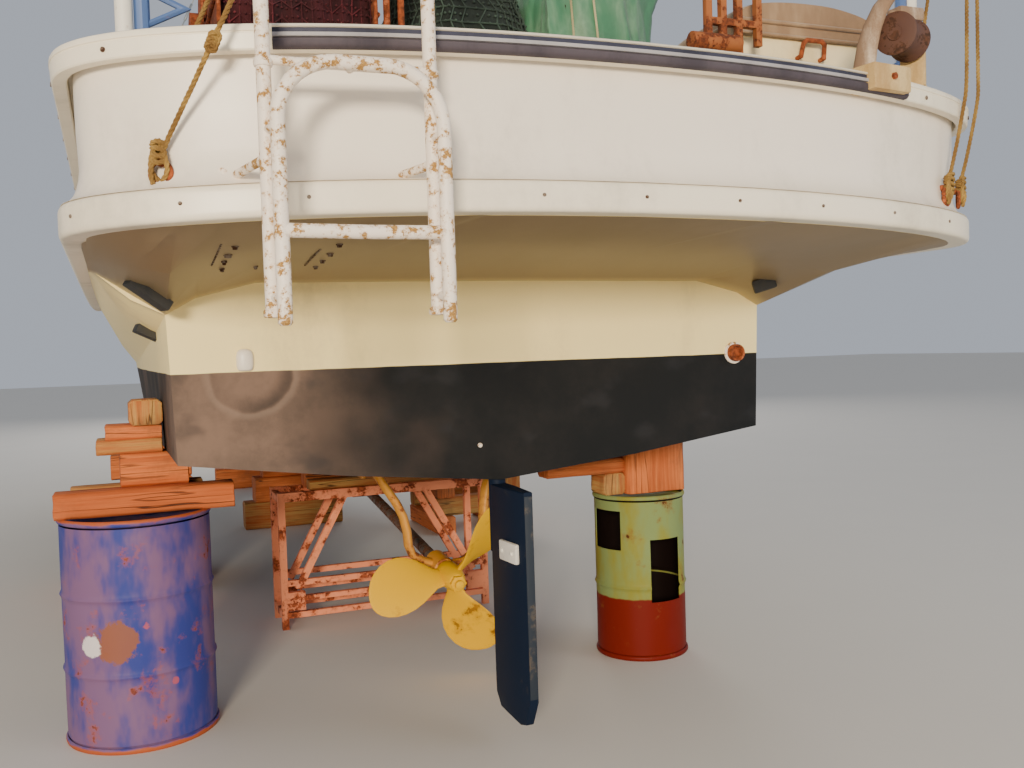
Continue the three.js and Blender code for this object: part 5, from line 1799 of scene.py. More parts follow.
def rope_tree() -> bpy.types.NodeTree:
    """Geometry nodes that lay three strands round a path.

    Returns:
        The tree.
    """
    w, i = geometry_tree("three_strand_rope", [("Radius", "value", 0.007), ("Lay", "value", 0.045),
                                               ("Material", "material", None)])
    even = w.node("GeometryNodeResampleCurve", {0: i["Geometry"], "Length": 0.006}, mode="LENGTH")
    length = w.node("GeometryNodeSplineParameter").outputs["Length"]
    turns = w.times(w.math("DIVIDE", length, i["Lay"]), 2 * math.pi)
    tangent = w.node("GeometryNodeInputTangent").outputs[0]
    normal = w.node("GeometryNodeInputNormal").outputs[0]
    cross = w.vector("CROSS_PRODUCT", tangent, normal)
    thin = w.times(i["Radius"], 0.54)
    joined = w.node("GeometryNodeJoinGeometry")
    ring = w.node("GeometryNodeCurvePrimitiveCircle", {"Resolution": 7, "Radius": thin})
    for strand in range(3):
        angle = w.plus(turns, strand * 2 * math.pi / 3)
        a = w.vector("SCALE", normal, w.times(w.math("COSINE", angle), thin))
        b = w.vector("SCALE", cross, w.times(w.math("SINE", angle), thin))
        moved = w.node("GeometryNodeSetPosition", {"Geometry": even.outputs[0], "Offset": w.vector("ADD", a, b)})
        strand_mesh = w.node("GeometryNodeCurveToMesh", {"Curve": moved.outputs[0], "Profile Curve": ring.outputs[0],
                                                         "Fill Caps": True})
        w.put(joined.inputs[0], strand_mesh.outputs[0])
    return end_tree(w, joined.outputs[0], i["Material"])


def net_tree() -> bpy.types.NodeTree:
    """Geometry nodes that run twine along every edge of a surface and knot it at the corners.

    Returns:
        The tree.
    """
    w, i = geometry_tree("knotted_net",
                         [("Twine", "value", 0.0022), ("Lift", "value", 0.003), ("Material", "material", None)])
    normal = w.node("GeometryNodeInputNormal").outputs[0]
    lift = w.vector("SCALE", normal, i["Lift"])
    raised = w.node("GeometryNodeSetPosition", {"Geometry": i["Geometry"], "Offset": lift})
    lines = w.node("GeometryNodeMeshToCurve", {0: raised.outputs[0]})
    ring = w.node("GeometryNodeCurvePrimitiveCircle", {"Resolution": 4, "Radius": i["Twine"]})
    twine = w.node("GeometryNodeCurveToMesh",
                   {"Curve": lines.outputs[0], "Profile Curve": ring.outputs[0], "Fill Caps": True})
    size = w.times(i["Twine"], 2.0)
    knot = w.node("GeometryNodeMeshIcoSphere", {"Radius": size, "Subdivisions": 1})
    knots = w.node("GeometryNodeInstanceOnPoints", {"Points": raised.outputs[0], "Instance": knot.outputs[0]})
    joined = w.node("GeometryNodeJoinGeometry")
    w.put(joined.inputs[0], twine.outputs[0])
    w.put(joined.inputs[0], knots.outputs[0])
    return end_tree(w, joined.outputs[0], i["Material"])


def screw_tree() -> bpy.types.NodeTree:
    """Geometry nodes that set a countersunk screw at even steps of a path, facing out of it.

    Returns:
        The tree.
    """
    w, i = geometry_tree("screws_on_path",
                         [("Step", "value", 0.3), ("Radius", "value", 0.006), ("Material", "material", None)])
    even = w.node("GeometryNodeResampleCurve", {0: i["Geometry"], "Length": i["Step"]}, mode="LENGTH")
    head = w.node("GeometryNodeMeshCylinder", {"Vertices": 14, "Radius": i["Radius"], "Depth": 0.003})
    tangent = w.node("GeometryNodeInputTangent").outputs[0]
    out = w.vector("CROSS_PRODUCT", tangent, (0.0, 0.0, 1.0))
    turn = w.node("FunctionNodeAlignRotationToVector", {"Vector": out}, axis="Z")
    heads = w.node("GeometryNodeInstanceOnPoints",
                   {"Points": even.outputs[0], "Instance": head.outputs[0], "Rotation": turn.outputs[0]})
    return end_tree(w, heads.outputs[0], i["Material"])


@dataclass
class Trim:
    """Screws in the rails, fittings on the transom, flaps at the scuppers and bolts under the overhang."""

    flaps: tuple[tuple[float, float, float, Point, Point], ...] = (
        # x, y, z of the seat, the way it faces, its size
        (1250, 168, 1710, (0.54, 0.19, -0.82), (70, 150, 36)), (1225, -704, 1602, (0.43, 0.06, -0.9), (110, 130, 36)),
        (-1098, 190, 1725, (-0.23, 0.15, -0.96), (70, 90, 50)),
        (-1225, -704, 1602, (-0.43, 0.06, -0.9), (110, 130, 36)),
    )
    bolts: tuple[tuple[float, float, float, float], ...] = (
        # x, y, z, radius
        (1045, 388, 1761, 7), (1048, 500, 1772, 6), (1048, 612, 1782, 11), (1040, 735, 1793, 8), (941, 365, 1771, 6),
        (740, 298, 1777, 7), (736, 398, 1787, 8), (734, 515, 1797, 9), (740, 684, 1807, 8),
    )
    seams: tuple[tuple[float, float, float, float, float], ...] = (
        # x, both ends' y, both ends' z
        (1080, 454, 772, 1767, 1795), (780, 329, 602, 1779, 1802),
    )

    def build(self, finish: dict, edge: DeckEdge) -> None:
        """Builds the pieces.

        Args:
            finish: Materials by the name of their finish.
            edge: The deck's own edge curve.
        """
        tree = screw_tree()
        for name, height, inset, step, radius in (("cap", None, -3.4, 0.31, 0.0065), ("band", 2.0, -0.6, 0.285, 0.005)):
            for length in ("stern", "port", "starboard"):
                rings = edge.rail(length, lambda y: [(inset, height if height is not None else edge.top(y) - 40)])
                path = [ring[0] for ring in rings]
                if length != "starboard":
                    path.reverse()
                runs = {length: path}
                if length == "stern" and name == "cap":
                    runs = {"port_quarter": [p for p in path if p[0] > 1000],
                            "starboard_quarter": [p for p in path if p[0] < -1040]}
                for run, points in runs.items():
                    values = {"Step": step, "Radius": radius, "Material": finish["screw"]}
                    grow(curve_of([points], False), tree, values, f"{name}_screws_{run}", Body.BOAT, "cream")
        self.transom(finish)

    def transom(self, finish: dict) -> None:
        """Builds the transom's pad and fittings, the scupper flaps, and the overhang's bolts and seams.

        Args:
            finish: Materials by the name of their finish.
        """
        pad = Form()
        rings = []
        for z, half in ((1440, 20), (1446, 27), (1460, 30), (1490, 30), (1505, 27), (1514, 19), (1517, 8)):
            rings.append([(944 + half * math.cos(a), 2 + 20 * math.sin(a) * (half / 30), z)
                          for a in [math.pi * k / 10 for k in range(11)]] + [(944 - half, -4, z), (944 + half, -4, z)])
        pad.loft(rings)
        pad.object("transom_pad", finish["gelcoat"], Body.BOAT, "gelcoat", angle=60)
        mark = Form()
        mark.turned([(-3, 9), (5, 9), (8, 6), (8, 0)], (83, 0, 1122), ALONG, 16)
        mark.turned([(-3, 0), (-3, 46), (6, 46), (8, 42), (8, 34), (4, 34), (4, 0)], (-1075, 0, 1440), ALONG, 40)
        mark.object("transom_fittings", finish["ladder"], Body.BOAT, "rusted")
        flaps = Form()
        for x, y, z, way, size in self.flaps:
            turn = Vector(way).to_track_quat("Z", "Y").to_matrix()
            centre = Vector((x, y, z)) + Vector(way).normalized() * 10
            half = Vector(size) / 2
            flaps.block(centre - half, centre + half, 6, turn)
        flaps.object("scupper_flaps", finish["rubber"], Body.BOAT, "strip")
        bolts = Form()
        for x, y, z, radius in self.bolts:
            bolts.turned([(4, 0), (4, radius + 3), (-2, radius + 3), (-3, radius), (-9, radius * 0.9), (-10, 0)],
                         (x, y, z), UP, 10)
        for x, y0, y1, z0, z1 in self.seams:
            bolts.tube([(x, y0, z0 - 1), (x, (y0 + y1) / 2, (z0 + z1) / 2 - 1), (x, y1, z1 - 1)], 3.0, 8)
        bolts.object("overhang_bolts", finish["screw"], Body.BOAT, "rusted")


@dataclass
class SternGear:
    """Net drum, nets, tarpaulin, locker cover, roller and ropes on the after deck."""

    drum_y: float = -60
    drum_z: float = 2620
    drum_left: float = 500
    drum_right: float = 1020
    bundle_y: float = -120
    shoulder: float = 0.12
    hem: float = 2290
    locker: tuple[float, ...] = (-1175, -640, 330, 725, 2520)
    roller_at: Point = (-960, 1108, 2425)
    roller_turn: float = math.radians(26)
    rope_radius: float = 0.0064
    rope_lay: float = 0.045
    bundle: tuple[tuple[float, ...], ...] = (
        # height, middle x, half length, half width
        (1892, -430, 330, 330), (2100, -415, 290, 360), (2500, -412, 252, 345), (2800, -412, 246, 300),
        (2925, -458, 262, 240), (3080, -480, 215, 150), (3118, -490, 100, 70),
    )
    pile: tuple[tuple[float, ...], ...] = (
        (1892, 60, 300, 300), (2150, 70, 320, 350), (2600, 90, 290, 310), (2850, 100, 240, 230), (2985, 110, 110, 110),
    )

    def build(self, finish: dict) -> None:
        """Builds the pieces.

        Args:
            finish: Materials by the name of their finish.
        """
        self.net_drum(finish)
        self.nets(finish)
        self.cover(finish)
        self.roller(finish)
        self.ropes(finish)

    def net_drum(self, finish: dict) -> None:
        """Builds the drum's flanges and the net that is wound on it.

        Args:
            finish: Materials by the name of their finish.
        """
        y, z, left, right = self.drum_y, self.drum_z, self.drum_left, self.drum_right
        flanges = Form()
        for x, out in ((left, 1), (right, -1)):
            rim = [(x + out * (7 + 7 * math.cos(a)), 363 + 7 * math.sin(a)) for a in circle(12)]
            flanges.turned(rim, (0, y, z), ACROSS, 64, True)
            flanges.turned([(x, 0), (x, 362), (x + out * 6, 362), (x + out * 6, 0)], (0, y, z), ACROSS, 64)
            for angle in circle(6):
                a, b = [Vector((x - out * 4, y + reach * math.cos(angle), z + reach * math.sin(angle)))
                        for reach in (60, 352)]
                flanges.tube([a, (a + b) / 2, b], 8, 8)
            inner, outer = x - out * 50, x + out * 10
            flanges.turned([(inner, 0), (inner, 28.9), (x, 28.9), (x, 60), (outer, 60), (outer, 0)], (0, y, z), ACROSS,
                           32)
        flanges.object("net_drum_flanges", finish["rusted"], Body.NET_DRUM, "rusted", ["net_drum"], 40)
        rings = []
        steps, sides = 30, 72
        for i in range(steps + 1):
            share = i / steps
            x = left + 12 + (right - left - 24) * share
            ring = []
            for angle in circle(sides):
                spot = Vector((x / 70, math.cos(angle) * 3.4, math.sin(angle) * 3.4))
                r = 318 + 26 * noise.noise(spot) + 12 * noise.noise(spot * 2.7) + 8 * math.sin(share * 40 + angle * 2)
                r -= 26 * abs(2 * share - 1) ** 6
                ring.append((x, y + r * math.cos(angle), z + r * math.sin(angle)))
            rings.append(ring)
        body = Form()
        body.loft(rings)
        body.object("net_roll", finish["net"], Body.NET_DRUM, "net", angle=80)
        net = mesh_scratch([p for ring in rings for p in ring], net_meshes(0, steps, sides))
        grow(net, net_tree(), {"Twine": 0.0024, "Lift": 0.004, "Material": finish["twine"]}, "net_roll_twine",
             Body.NET_DRUM, "net")

    def around(self, rows: Sequence[Sequence[float]], z: float, angle: float, out: float = 0.0) -> Point:
        """A point of a heap's skin at a height and an angle, moved outwards.

        Args:
            rows: The heap's table.
            z: Height.
            angle: Angle round the heap.
            out: How far outwards it moves.

        Returns:
            The point.
        """
        x, a, b = lerp_rows(rows, min(z, rows[-1][0]))
        c, t = math.cos(angle), math.sin(angle)
        return (x + (a + out) * math.copysign(abs(c) ** 0.7, c),
                self.bundle_y + (b + out) * math.copysign(abs(t) ** 0.7, t), z)

    def heap(self, rows: Sequence[Sequence[float]], seed: float, rough: float = 1.0, steps: int = 40,
             sides: int = 96) -> list[Ring]:
        """Rings of a lumpy heap from its table.

        Args:
            rows: The heap's table.
            seed: Picks the lumps.
            rough: Scales the lumps.
            steps: Rings.
            sides: Points of a ring.

        Returns:
            The rings.
        """
        rings = []
        low, high = rows[0][0], rows[-1][0]
        for i in range(steps + 1):
            z = low + (high - low) * math.sin(i / steps * math.pi / 2)
            ring = []
            for angle in circle(sides):
                c, t = math.cos(angle), math.sin(angle)
                spot = Vector((c * 2.2 + seed, t * 2.2, z / 240))
                lump = 22 * noise.noise(spot) + 16 * noise.noise(spot * 3) + 7 * noise.noise(spot * 8) - 14
                ring.append(self.around(rows, z, angle, lump * rough))
            rings.append(ring)
        top = Vector((rows[-1][1], self.bundle_y, high + 6))
        rings += [[tuple(Vector(p).lerp(top, share)) for p in rings[-1]] for share in (0.4, 0.8)]
        return rings

    def nets(self, finish: dict) -> None:
        """Builds the two heaps of net, with twine over the open one, and the tarpaulin.

        Args:
            finish: Materials by the name of their finish.
        """
        heap = Form()
        heap.loft(self.heap(self.bundle, 3.0, 0.3))
        heap.object("net_heap", finish["net"], Body.BOAT, "net", ["net_bundle"], 80)
        steps, sides = 40, 96
        rings = self.heap(self.pile, 8.0, 1.0, steps, sides)
        pile = Form()
        pile.loft(rings)
        pile.object("net_pile", finish["dark_net"], Body.BOAT, "net", angle=80)
        net = mesh_scratch([p for ring in rings[:steps + 1] for p in ring], net_meshes(4, steps, sides))
        grow(net, net_tree(), {"Twine": 0.003, "Lift": 0.006, "Material": finish["green_twine"]}, "net_pile_twine",
             Body.BOAT, "net")
        self.tarpaulin(finish)

    def drape(self, angle: float, share: float, out: float = 0.0) -> Point:
        """A point of the tarpaulin: share runs from its middle to its hem.

        Args:
            angle: Angle round the heap.
            share: 0 in the middle, 1 at the hem.
            out: How far outwards it moves.

        Returns:
            The point.
        """
        top = self.bundle[-1][0] + 14
        c, t = math.cos(angle), math.sin(angle)
        if share < self.shoulder:
            edge = Vector(self.around(self.bundle, self.bundle[-1][0], angle, 10 + out))
            crown = Vector((self.bundle[-1][1], self.bundle_y, top + out))
            point = crown.lerp(edge, share / self.shoulder)
            point.z = top + out - 8 * (share / self.shoulder) ** 2
            return tuple(point)
        down = (share - self.shoulder) / (1 - self.shoulder)
        z = top - 8 - (top - 8 - self.hem) * down ** 1.25
        z += 55 * down ** 2 * noise.noise(Vector((c * 1.5, t * 1.5, 9.0)))
        warp = 1.9 * noise.noise(Vector((c * 1.7, t * 1.7, 4.0 + down * 1.4)))
        fold = 1 - 2 * abs(math.sin(angle * 3.5 + warp)) ** 0.7
        small = 1 - 2 * abs(math.sin(angle * 8 + 2 * warp + 1.0)) ** 0.8
        deep = min(down * 2.2, 1.0)
        crease = 9 * abs(noise.noise(Vector((c * 4, t * 4, z / 130))))
        crease += 12 * noise.noise(Vector((c * 2, t * 2, z / 300)))
        deep *= 0.45 + 0.9 * abs(noise.noise(Vector((c * 1.1 + 5, t * 1.1, down))))
        return self.around(self.bundle, z, angle, 22 + max(34 * fold * deep + 10 * small * deep, -22) + crease + out)

    def tarpaulin(self, finish: dict) -> None:
        """Drapes the sheet in deep upright folds, and lays its lashings over it.

        Args:
            finish: Materials by the name of their finish.
        """
        sides, steps = 216, 64
        rings = [[self.drape(angle, i / steps) for angle in circle(sides)] for i in range(1, steps + 1)]
        form = Form()
        form.loft(rings)
        hem_face = max(form.bm.faces, key=lambda f: len(f.verts) * 10000 - f.calc_center_median().z)
        bmesh.ops.delete(form.bm, geom=[hem_face], context="FACES_ONLY")
        bmesh.ops.recalc_face_normals(form.bm, faces=form.bm.faces[:])
        bmesh.ops.solidify(form.bm, geom=form.bm.faces[:], thickness=2.0)
        sheet = form.object("tarpaulin", finish["tarp"], Body.BOAT, "tarp", angle=70)
        area = sum(face.area for face in sheet.data.polygons) / 2
        LOG.info("tarpaulin area %.3f", area)
        paths = []
        for turn in (66, 84):
            for half in (0, 180):
                angle = math.radians(turn + half)
                paths.append([self.drape(angle, share / 26, 7) for share in range(0, 27)])
        grow(curve_of(paths), rope_tree(), {"Radius": 0.0045, "Lay": 0.03, "Material": finish["lashing"]},
             "tarpaulin_lashings", Body.BOAT, "canvas")

    def cover(self, finish: dict) -> None:
        """Builds the locker's rounded canvas cover with its folded rim, and the handle.

        Args:
            finish: Materials by the name of their finish.
        """
        x0, x1, y0, y1, top = self.locker
        middle, half = (x0 + x1) / 2, (x1 - x0) / 2 + 17
        form = Form()
        rings = []
        for i in range(25):
            share = i / 24
            y = y0 - 17 + (y1 - y0 + 34) * share
            droop = 1 - 0.2 * abs(2 * share - 1) ** 5
            ring = []
            for k in range(33):
                angle = math.pi * k / 32
                sag = 3.5 * noise.noise(Vector((math.cos(angle) * 2, share * 4, 2.0)))
                ring.append((middle + half * math.cos(angle), y,
                             top + 44 + (94 + sag) * math.sin(angle) ** 0.7 * droop))
            ring += [(middle - half + 3, y, top - 2), (middle + half - 3, y, top - 2)]
            rings.append(ring)
        form.loft(rings)
        for high, thick in ((44, 8), (2, 6)):
            form.tube([(middle - half, y0 - 19, top + high), (middle - half, y1 + 19, top + high),
                       (middle + half, y1 + 19, top + high), (middle + half, y0 - 19, top + high),
                       (middle - half + 20, y0 - 19, top + high)], thick, 10)
        form.object("locker_canvas", finish["canvas"], Body.BOAT, "canvas", ["locker_cover"], 60)
        handle = Form()
        x, z = -912, 2505
        loop = [(x + 48, y1 + 2, z - 50), (x + 48, y1 + 26, z - 48), (x + 44, y1 + 36, z - 6), (x + 30, y1 + 38, z + 4),
                (x - 30, y1 + 38, z + 4), (x - 44, y1 + 36, z - 6), (x - 48, y1 + 26, z - 48), (x - 48, y1 + 2, z - 50)]
        handle.tube(loop, 8, 12)
        handle.object("locker_handle", finish["rusted"], Body.BOAT, "rusted", angle=60)

    def roller(self, finish: dict) -> None:
        """Builds the worn roller, the horn that keeps the warp on it, its stand and the clamp on the post.

        Args:
            finish: Materials by the name of their finish.
        """
        x, y, z = self.roller_at
        way = (math.cos(self.roller_turn), math.sin(self.roller_turn), 0)
        form = Form()
        barrel = [(-100, 0), (-100, 14.8), (-84, 15), (-83, 60), (-80, 66), (-72, 66), (-62, 58), (-45, 54), (-20, 52),
                  (6, 54), (22, 58), (30, 66), (40, 66), (43, 60), (43, 24), (47, 22), (47, 0)]
        form.turned(barrel, (x, y, z), way, 48)
        form.object("warp_roller", finish["roller"], Body.ROLLER, "cream", ["stern_roller"], 40)
        ahead, right = Vector(way), Vector((-way[1], way[0], 0))
        centre = Vector((x, y, z))
        horn = Form()
        rows = (
            # across, up, half width
            (-118, -205, 34), (-114, -150, 36), (-108, -90, 36), (-98, -30, 34), (-80, 26, 30), (-56, 74, 26),
            (-26, 106, 22), (6, 122, 21), (24, 122, 19), (34, 118, 10),
        )
        rings = []
        for i, (b, up, half) in enumerate(rows):
            before, after = rows[max(i - 1, 0)], rows[min(i + 1, len(rows) - 1)]
            run = Vector((after[0] - before[0], after[1] - before[1])).normalized()
            ring = []
            for angle in circle(16):
                off, thick = half * math.cos(angle), 17 * math.sin(angle)
                p = centre + ahead * (70 + thick) + right * (b + 22 - run.y * off) + Vector((0, 0, up + run.x * off))
                ring.append(tuple(p))
            rings.append(ring)
        horn.loft(rings)
        horn.object("roller_horn", finish["horn"], Body.BOAT, "cream", angle=60)
        stand = Form()
        turn = Matrix.Rotation(self.roller_turn, 3, "Z")
        far = centre - ahead * 106
        stand.block(far + Vector((-9, -40, -143)), far + Vector((9, 40, 34)), 7, turn)
        stand.block((x - 150, y - 130, z - 143), (x + 30, y - 30, z - 128), 5,
                    Matrix.Rotation(math.radians(12), 3, "Z"))
        stand.block((x + 22, y - 70, z - 193), (x + 188, y + 72, z - 113), 9, Matrix.Rotation(math.radians(8), 3, "Z"))
        stand.turned([(-118, 0), (-118, 20), (-106, 20), (-100, 12), (-88, 12), (-88, 0)], (x, y, z), way, 24)
        stand.object("roller_stand", finish["stand"], Body.BOAT, "cream", ["roller_bracket"], 40)
        bolt = Form()
        bolt.turned([(-8, 0), (-8, 11), (8, 11), (10, 7), (10, 0)], (x + 94, y + 71, z - 150), (-0.14, 0.99, 0), 6)
        bolt.object("roller_stand_bolt", finish["rusted"], Body.BOAT, "rusted", angle=40)
        clamp = Form()
        clamp.block((-1336, 766, 2594), (-1226, 834, 2640), 10)
        clamp.tube([(-1240, 800, 2618), (-1205, 800, 2616)], 15, 12)
        clamp.object("post_clamp", finish["horn"], Body.BOAT, "painted", angle=50)

    def ropes(self, finish: dict) -> None:
        """Builds the standing ropes between the quarters and the towing blocks, with their knots.

        Args:
            finish: Materials by the name of their finish.
        """
        tree = rope_tree()
        rope = {"Radius": self.rope_radius, "Lay": self.rope_lay, "Material": finish["rope"]}
        rows = (
            # name, lowest points, towing block
            ("port_quarter_rope", [(1236, 1008, 1975), (1216, 1020, 2022), (1150, 1104, 2150), (1106, 1172, 2240),
                                   (1086, 1176, 2278)], (400, 800, 3876)),
            ("starboard_outer_rope", [(-1392, 918, 2000), (-1402, 935, 2060), (-1424, 976, 2289), (-1432, 970, 2340)],
             (-1612, 806, 3816)),
            ("starboard_quarter_rope",
             [(-1247, 1008, 1985), (-1262, 1026, 2080), (-1290, 1040, 2240), (-1284, 1060, 2300)],
             (-1590, 800, 3816)),
            ("port_inner_rope", [(1165, 905, 2236), (1150, 900, 2290)], (416, 806, 3876)),
            ("starboard_inner_rope", [(-1390, 700, 2240), (-1388, 710, 2300)], (-1606, 806, 3816)),
        )
        for name, low, block in rows:
            start = Vector(low[-1])
            path = [*low, *[start.lerp(Vector(block), k / 8) for k in range(1, 9)]]
            grow(curve_of([path]), tree, rope, name, Body.BOAT, "canvas")
        knots, eyes = [], Form()
        for x, y, z, lean in ((1236, 992, 1967, 0.36), (-1247, 992, 1978, -0.4), (-1388, 905, 1985, -0.85)):
            spin = Matrix.Rotation(-lean, 3, "Z")
            centre = Vector((x, y + 12, z))
            for turn in range(4):
                grip = [(15 * math.cos(a), 9 + 13 * math.sin(a), 38 - 13 * turn + 6 * math.sin(a + turn))
                        for a in circle(14, True)]
                knots.append([spin @ Vector(p) + centre for p in grip])
            for way in (-1, 1):
                bight = [(0, 10, 50), (way * 14, 14, 20), (way * 21, 12, -14), (way * 15, 6, -38), (way * 3, 2, -48)]
                knots.append([spin @ Vector(p) + centre for p in bight])
            tail = [(8, 12, 6), (15, 22, -16), (19, 18, -36), (16, 12, -56)]
            knots.append([spin @ Vector(p) + centre for p in tail])
            ring = [spin @ Vector((25 * math.cos(a), 0, 28 * math.sin(a) - 28)) + centre for a in circle(24, True)]
            eyes.tube(ring, 6.5, 10)
            foot = spin @ Vector((0, -32, 0)) + centre
            eyes.turned([(0, 0), (0, 36), (8, 36), (11, 30), (11, 12), (34, 12), (38, 8), (38, 0)], foot,
                        spin @ Vector(ALONG), 28)
        for turn in range(3):
            x, y, z = 1112 + turn * 4, 1166 - turn * 5, 2226 - turn * 10
            knots.append([(x + 12 * math.cos(a), y + 6 * math.sin(a), z + 9 * math.sin(a)) for a in circle(12, True)])
        grow(curve_of(knots), tree, rope, "quarter_knots", Body.BOAT, "canvas")
        eyes.object("quarter_eyes", finish["rusted"], Body.BOAT, "rusted", angle=60)


@dataclass
class House:
    """Fittings of the wheelhouse, the mast and the boom."""

    front: float = -6500
    sill: float = 3080
    head: float = 3620
    side: float = 760
    roof: float = 4046
    mast_y: float = -4900
    boom_axis: float = -4740
    deck_rail: float = 2880
    door_face: float = -4654
    port_light: float = 3480
    lamp_y: float = -6350
    board_x: float = 800
    stay_foot_y: float = -4560
    mast_lamps: tuple[Flat, ...] = ((5600, -4985), (4600, -4815))
    front_panes: tuple[Flat, ...] = ((-680, -260), (-220, 220), (260, 680))
    side_panes: tuple[Flat, ...] = ((-6380, -5920), (-5860, -5400))

    def pane_loop(self, a: float, b: float, at: Callable[[float, float], Point]) -> Ring:
        """A rounded loop round a pane.

        Args:
            a: One edge of the pane.
            b: The other edge.
            at: Puts a flat point on the wall.

        Returns:
            The loop.
        """
        out = 4.0
        return [at(u, v) for u, v in rounded((a - out, b + out), (self.sill - out, self.head + out), 46, 6)]

    def build(self, finish: dict) -> None:
        """Builds the pieces.

        Args:
            finish: Materials by the name of their finish.
        """
        rubbers = Form()
        for a, b in self.front_panes:
            rubbers.tube(self.pane_loop(a, b, lambda u, v: (u, self.front - 3, v)), 11, 8)
        for side in (-1, 1):
            for a, b in self.side_panes:
                rubbers.tube(self.pane_loop(a, b, lambda u, v: (side * (self.side + 3), u, v)), 11, 8)
        wiper = [(-190, self.front - 16, self.sill + 20), (-60, self.front - 20, self.sill + 330),
                 (-50, self.front - 18, self.sill + 430)]
        rubbers.tube(wiper, 6, 8)
        rubbers.object("window_rubbers", finish["rubber"], Body.BOAT, "strip", angle=60)
        self.rails(finish)
        self.door(finish)
        self.roof_gear(finish)
        self.mast_gear(finish)

    def rails(self, finish: dict) -> None:
        """Builds the hand rails on the roof and the sides, and the roof's moulding.

        Args:
            finish: Materials by the name of their finish.
        """
        form = Form()
        for side in (-1, 1):
            x = side * 720
            ends = (-6480, -4700)
            form.tube([(x, ends[0], self.roof - 4), (x, ends[0], self.roof + 60), (x, ends[0] + 45, self.roof + 105),
                       *[(x, y, self.roof + 108) for y in range(-6300, -4800, 300)],
                       (x, ends[1] - 45, self.roof + 105), (x, ends[1], self.roof + 60), (x, ends[1], self.roof - 4)],
                      15, 12)
            for y in (-6050, -5600, -5150):
                form.tube([(x, y, self.roof - 4), (x, y, self.roof + 50), (x, y, self.roof + 106)], 12, 10)
                form.turned([(-2, 30), (6, 30), (9, 24), (9, 10)], (x, y, self.roof), UP, 16)
            x = side * (self.side + 48)
            wall, z = side * self.side, self.deck_rail
            form.tube([(wall, -6330, z), (x, -6320, z), *[(x, y, z) for y in range(-6200, -4800, 350)], (x, -4790, z),
                       (wall, -4780, z)], 14, 12)
            for y in (-5830, -5300):
                form.tube([(wall, y, z), (x - side * 20, y, z), (x, y, z)], 10, 10)
        form.object("house_rails", finish["steel"], Body.BOAT, "steel", angle=60)
        mould = Form()
        for z, radius in ((3972, 15), (4030, 11)):
            mould.tube([(x, y, z) for x, y in rounded((-846, 846), (-6676, -4474), 60, 5)], radius, 8)
        mould.tube([(x, y, 3035) for x, y in rounded((-764, 764), (-6504, -4646), 20, 3)], 9, 8)
        mould.object("house_mouldings", finish["cream"], Body.BOAT, "cream", angle=60)

    def door(self, finish: dict) -> None:
        """Builds the door's port light, handle and hinges, which swing with it.

        Args:
            finish: Materials by the name of their finish.
        """
        form = Form()
        y, light = self.door_face, self.port_light
        form.turned([(0, 96), (0, 128), (9, 128), (14, 122), (14, 102), (9, 96)], (0, y, light), ALONG, 40, True)
        for a in circle(8):
            form.turned([(6, 0), (6, 6), (17, 6), (18, 0)], (112 * math.cos(a), y, light + 112 * math.sin(a)),
                        ALONG, 6)
        form.turned([(0, 26), (6, 26), (8, 20), (8, 0)], (225, y, 3230), ALONG, 20)
        form.tube([(225, y, 3230), (225, y + 22, 3230), (210, y + 24, 3230), (120, y + 24, 3226)], 8, 10)
        for z in (3000, 3325, 3650):
            form.turned([(-45, 0), (-45, 5.5), (45, 5.5), (45, 0)], (-284, y, z), UP, 12)
            form.block((-276, y - 2, z - 30), (-180, y + 4, z + 30), 2)
        form.object("door_fittings", finish["steel"], Body.DOOR, "steel", angle=50)
        glass = Form()
        glass.turned([(1, 0), (1, 97), (7, 97), (7, 0)], (0, y, light), ALONG, 40)
        glass.object("door_port_light", finish["dark_glass"], Body.DOOR, "glass")

    def roof_gear(self, finish: dict) -> None:
        """Builds the side lights in their boards, the search light and the horn.

        Args:
            finish: Materials by the name of their finish.
        """
        boards, z = Form(), self.roof
        for side, key in ((1, "red_lens"), (-1, "green_lens")):
            x = side * self.board_x
            for inner, outer, y0, y1, high, bevel in ((-10, -22, -6420, -6100, 150, 3), (-20, 36, -6130, -6112, 150, 3),
                                                      (-14, 36, -6240, -6150, 22, 4)):
                boards.block((x + side * inner, y0, z - 2), (x + side * outer, y1, z + high), bevel)
            boards.turned([(100, 0), (100, 30), (114, 26), (120, 10), (120, 0)], (x + side * 12, -6195, z), UP, 24)
            lens = Form()
            lens.turned([(20, 0), (20, 26), (40, 29), (84, 29), (101, 26), (101, 0)], (x + side * 12, -6195, z), UP, 24)
            lens.object(f"{key}_light", finish[key], Body.BOAT, "glass", angle=60)
        boards.object("side_light_boards", finish["rubber"], Body.BOAT, "strip")
        lamp, y, aim = Form(), self.lamp_y, (0, -1, -0.06)
        lamp.turned([(0, 60), (10, 60), (14, 52), (18, 22), (120, 20), (124, 0)], (0, y, z), UP, 24)
        lamp.turned([(-96, 0), (-94, 40), (-70, 74), (-30, 92), (70, 96), (78, 100), (86, 98), (86, 88)],
                    (0, y, z + 205), aim, 40)
        for side in (-1, 1):
            lamp.tube([(side * 16, y, z + 100), (side * 104, y, z + 120), (side * 108, y, z + 205)], 8, 8)
        for x, long in ((300, 210), (355, 160)):
            bell = [(long - 60, 15), (long - 20, 30), (long, 52), (long + 3, 52), (long - 12, 26), (long - 20, 0)]
            lamp.turned([(-60, 0), (-60, 16), (0, 12), *bell], (x, -6300, z + 72), (0, -1, 0), 24)
            lamp.tube([(x, -6300, z - 2), (x, -6300, z + 40), (x, -6300, z + 72)], 9, 8)
        lamp.object("search_light", finish["steel"], Body.BOAT, "steel", angle=50)
        face = Form()
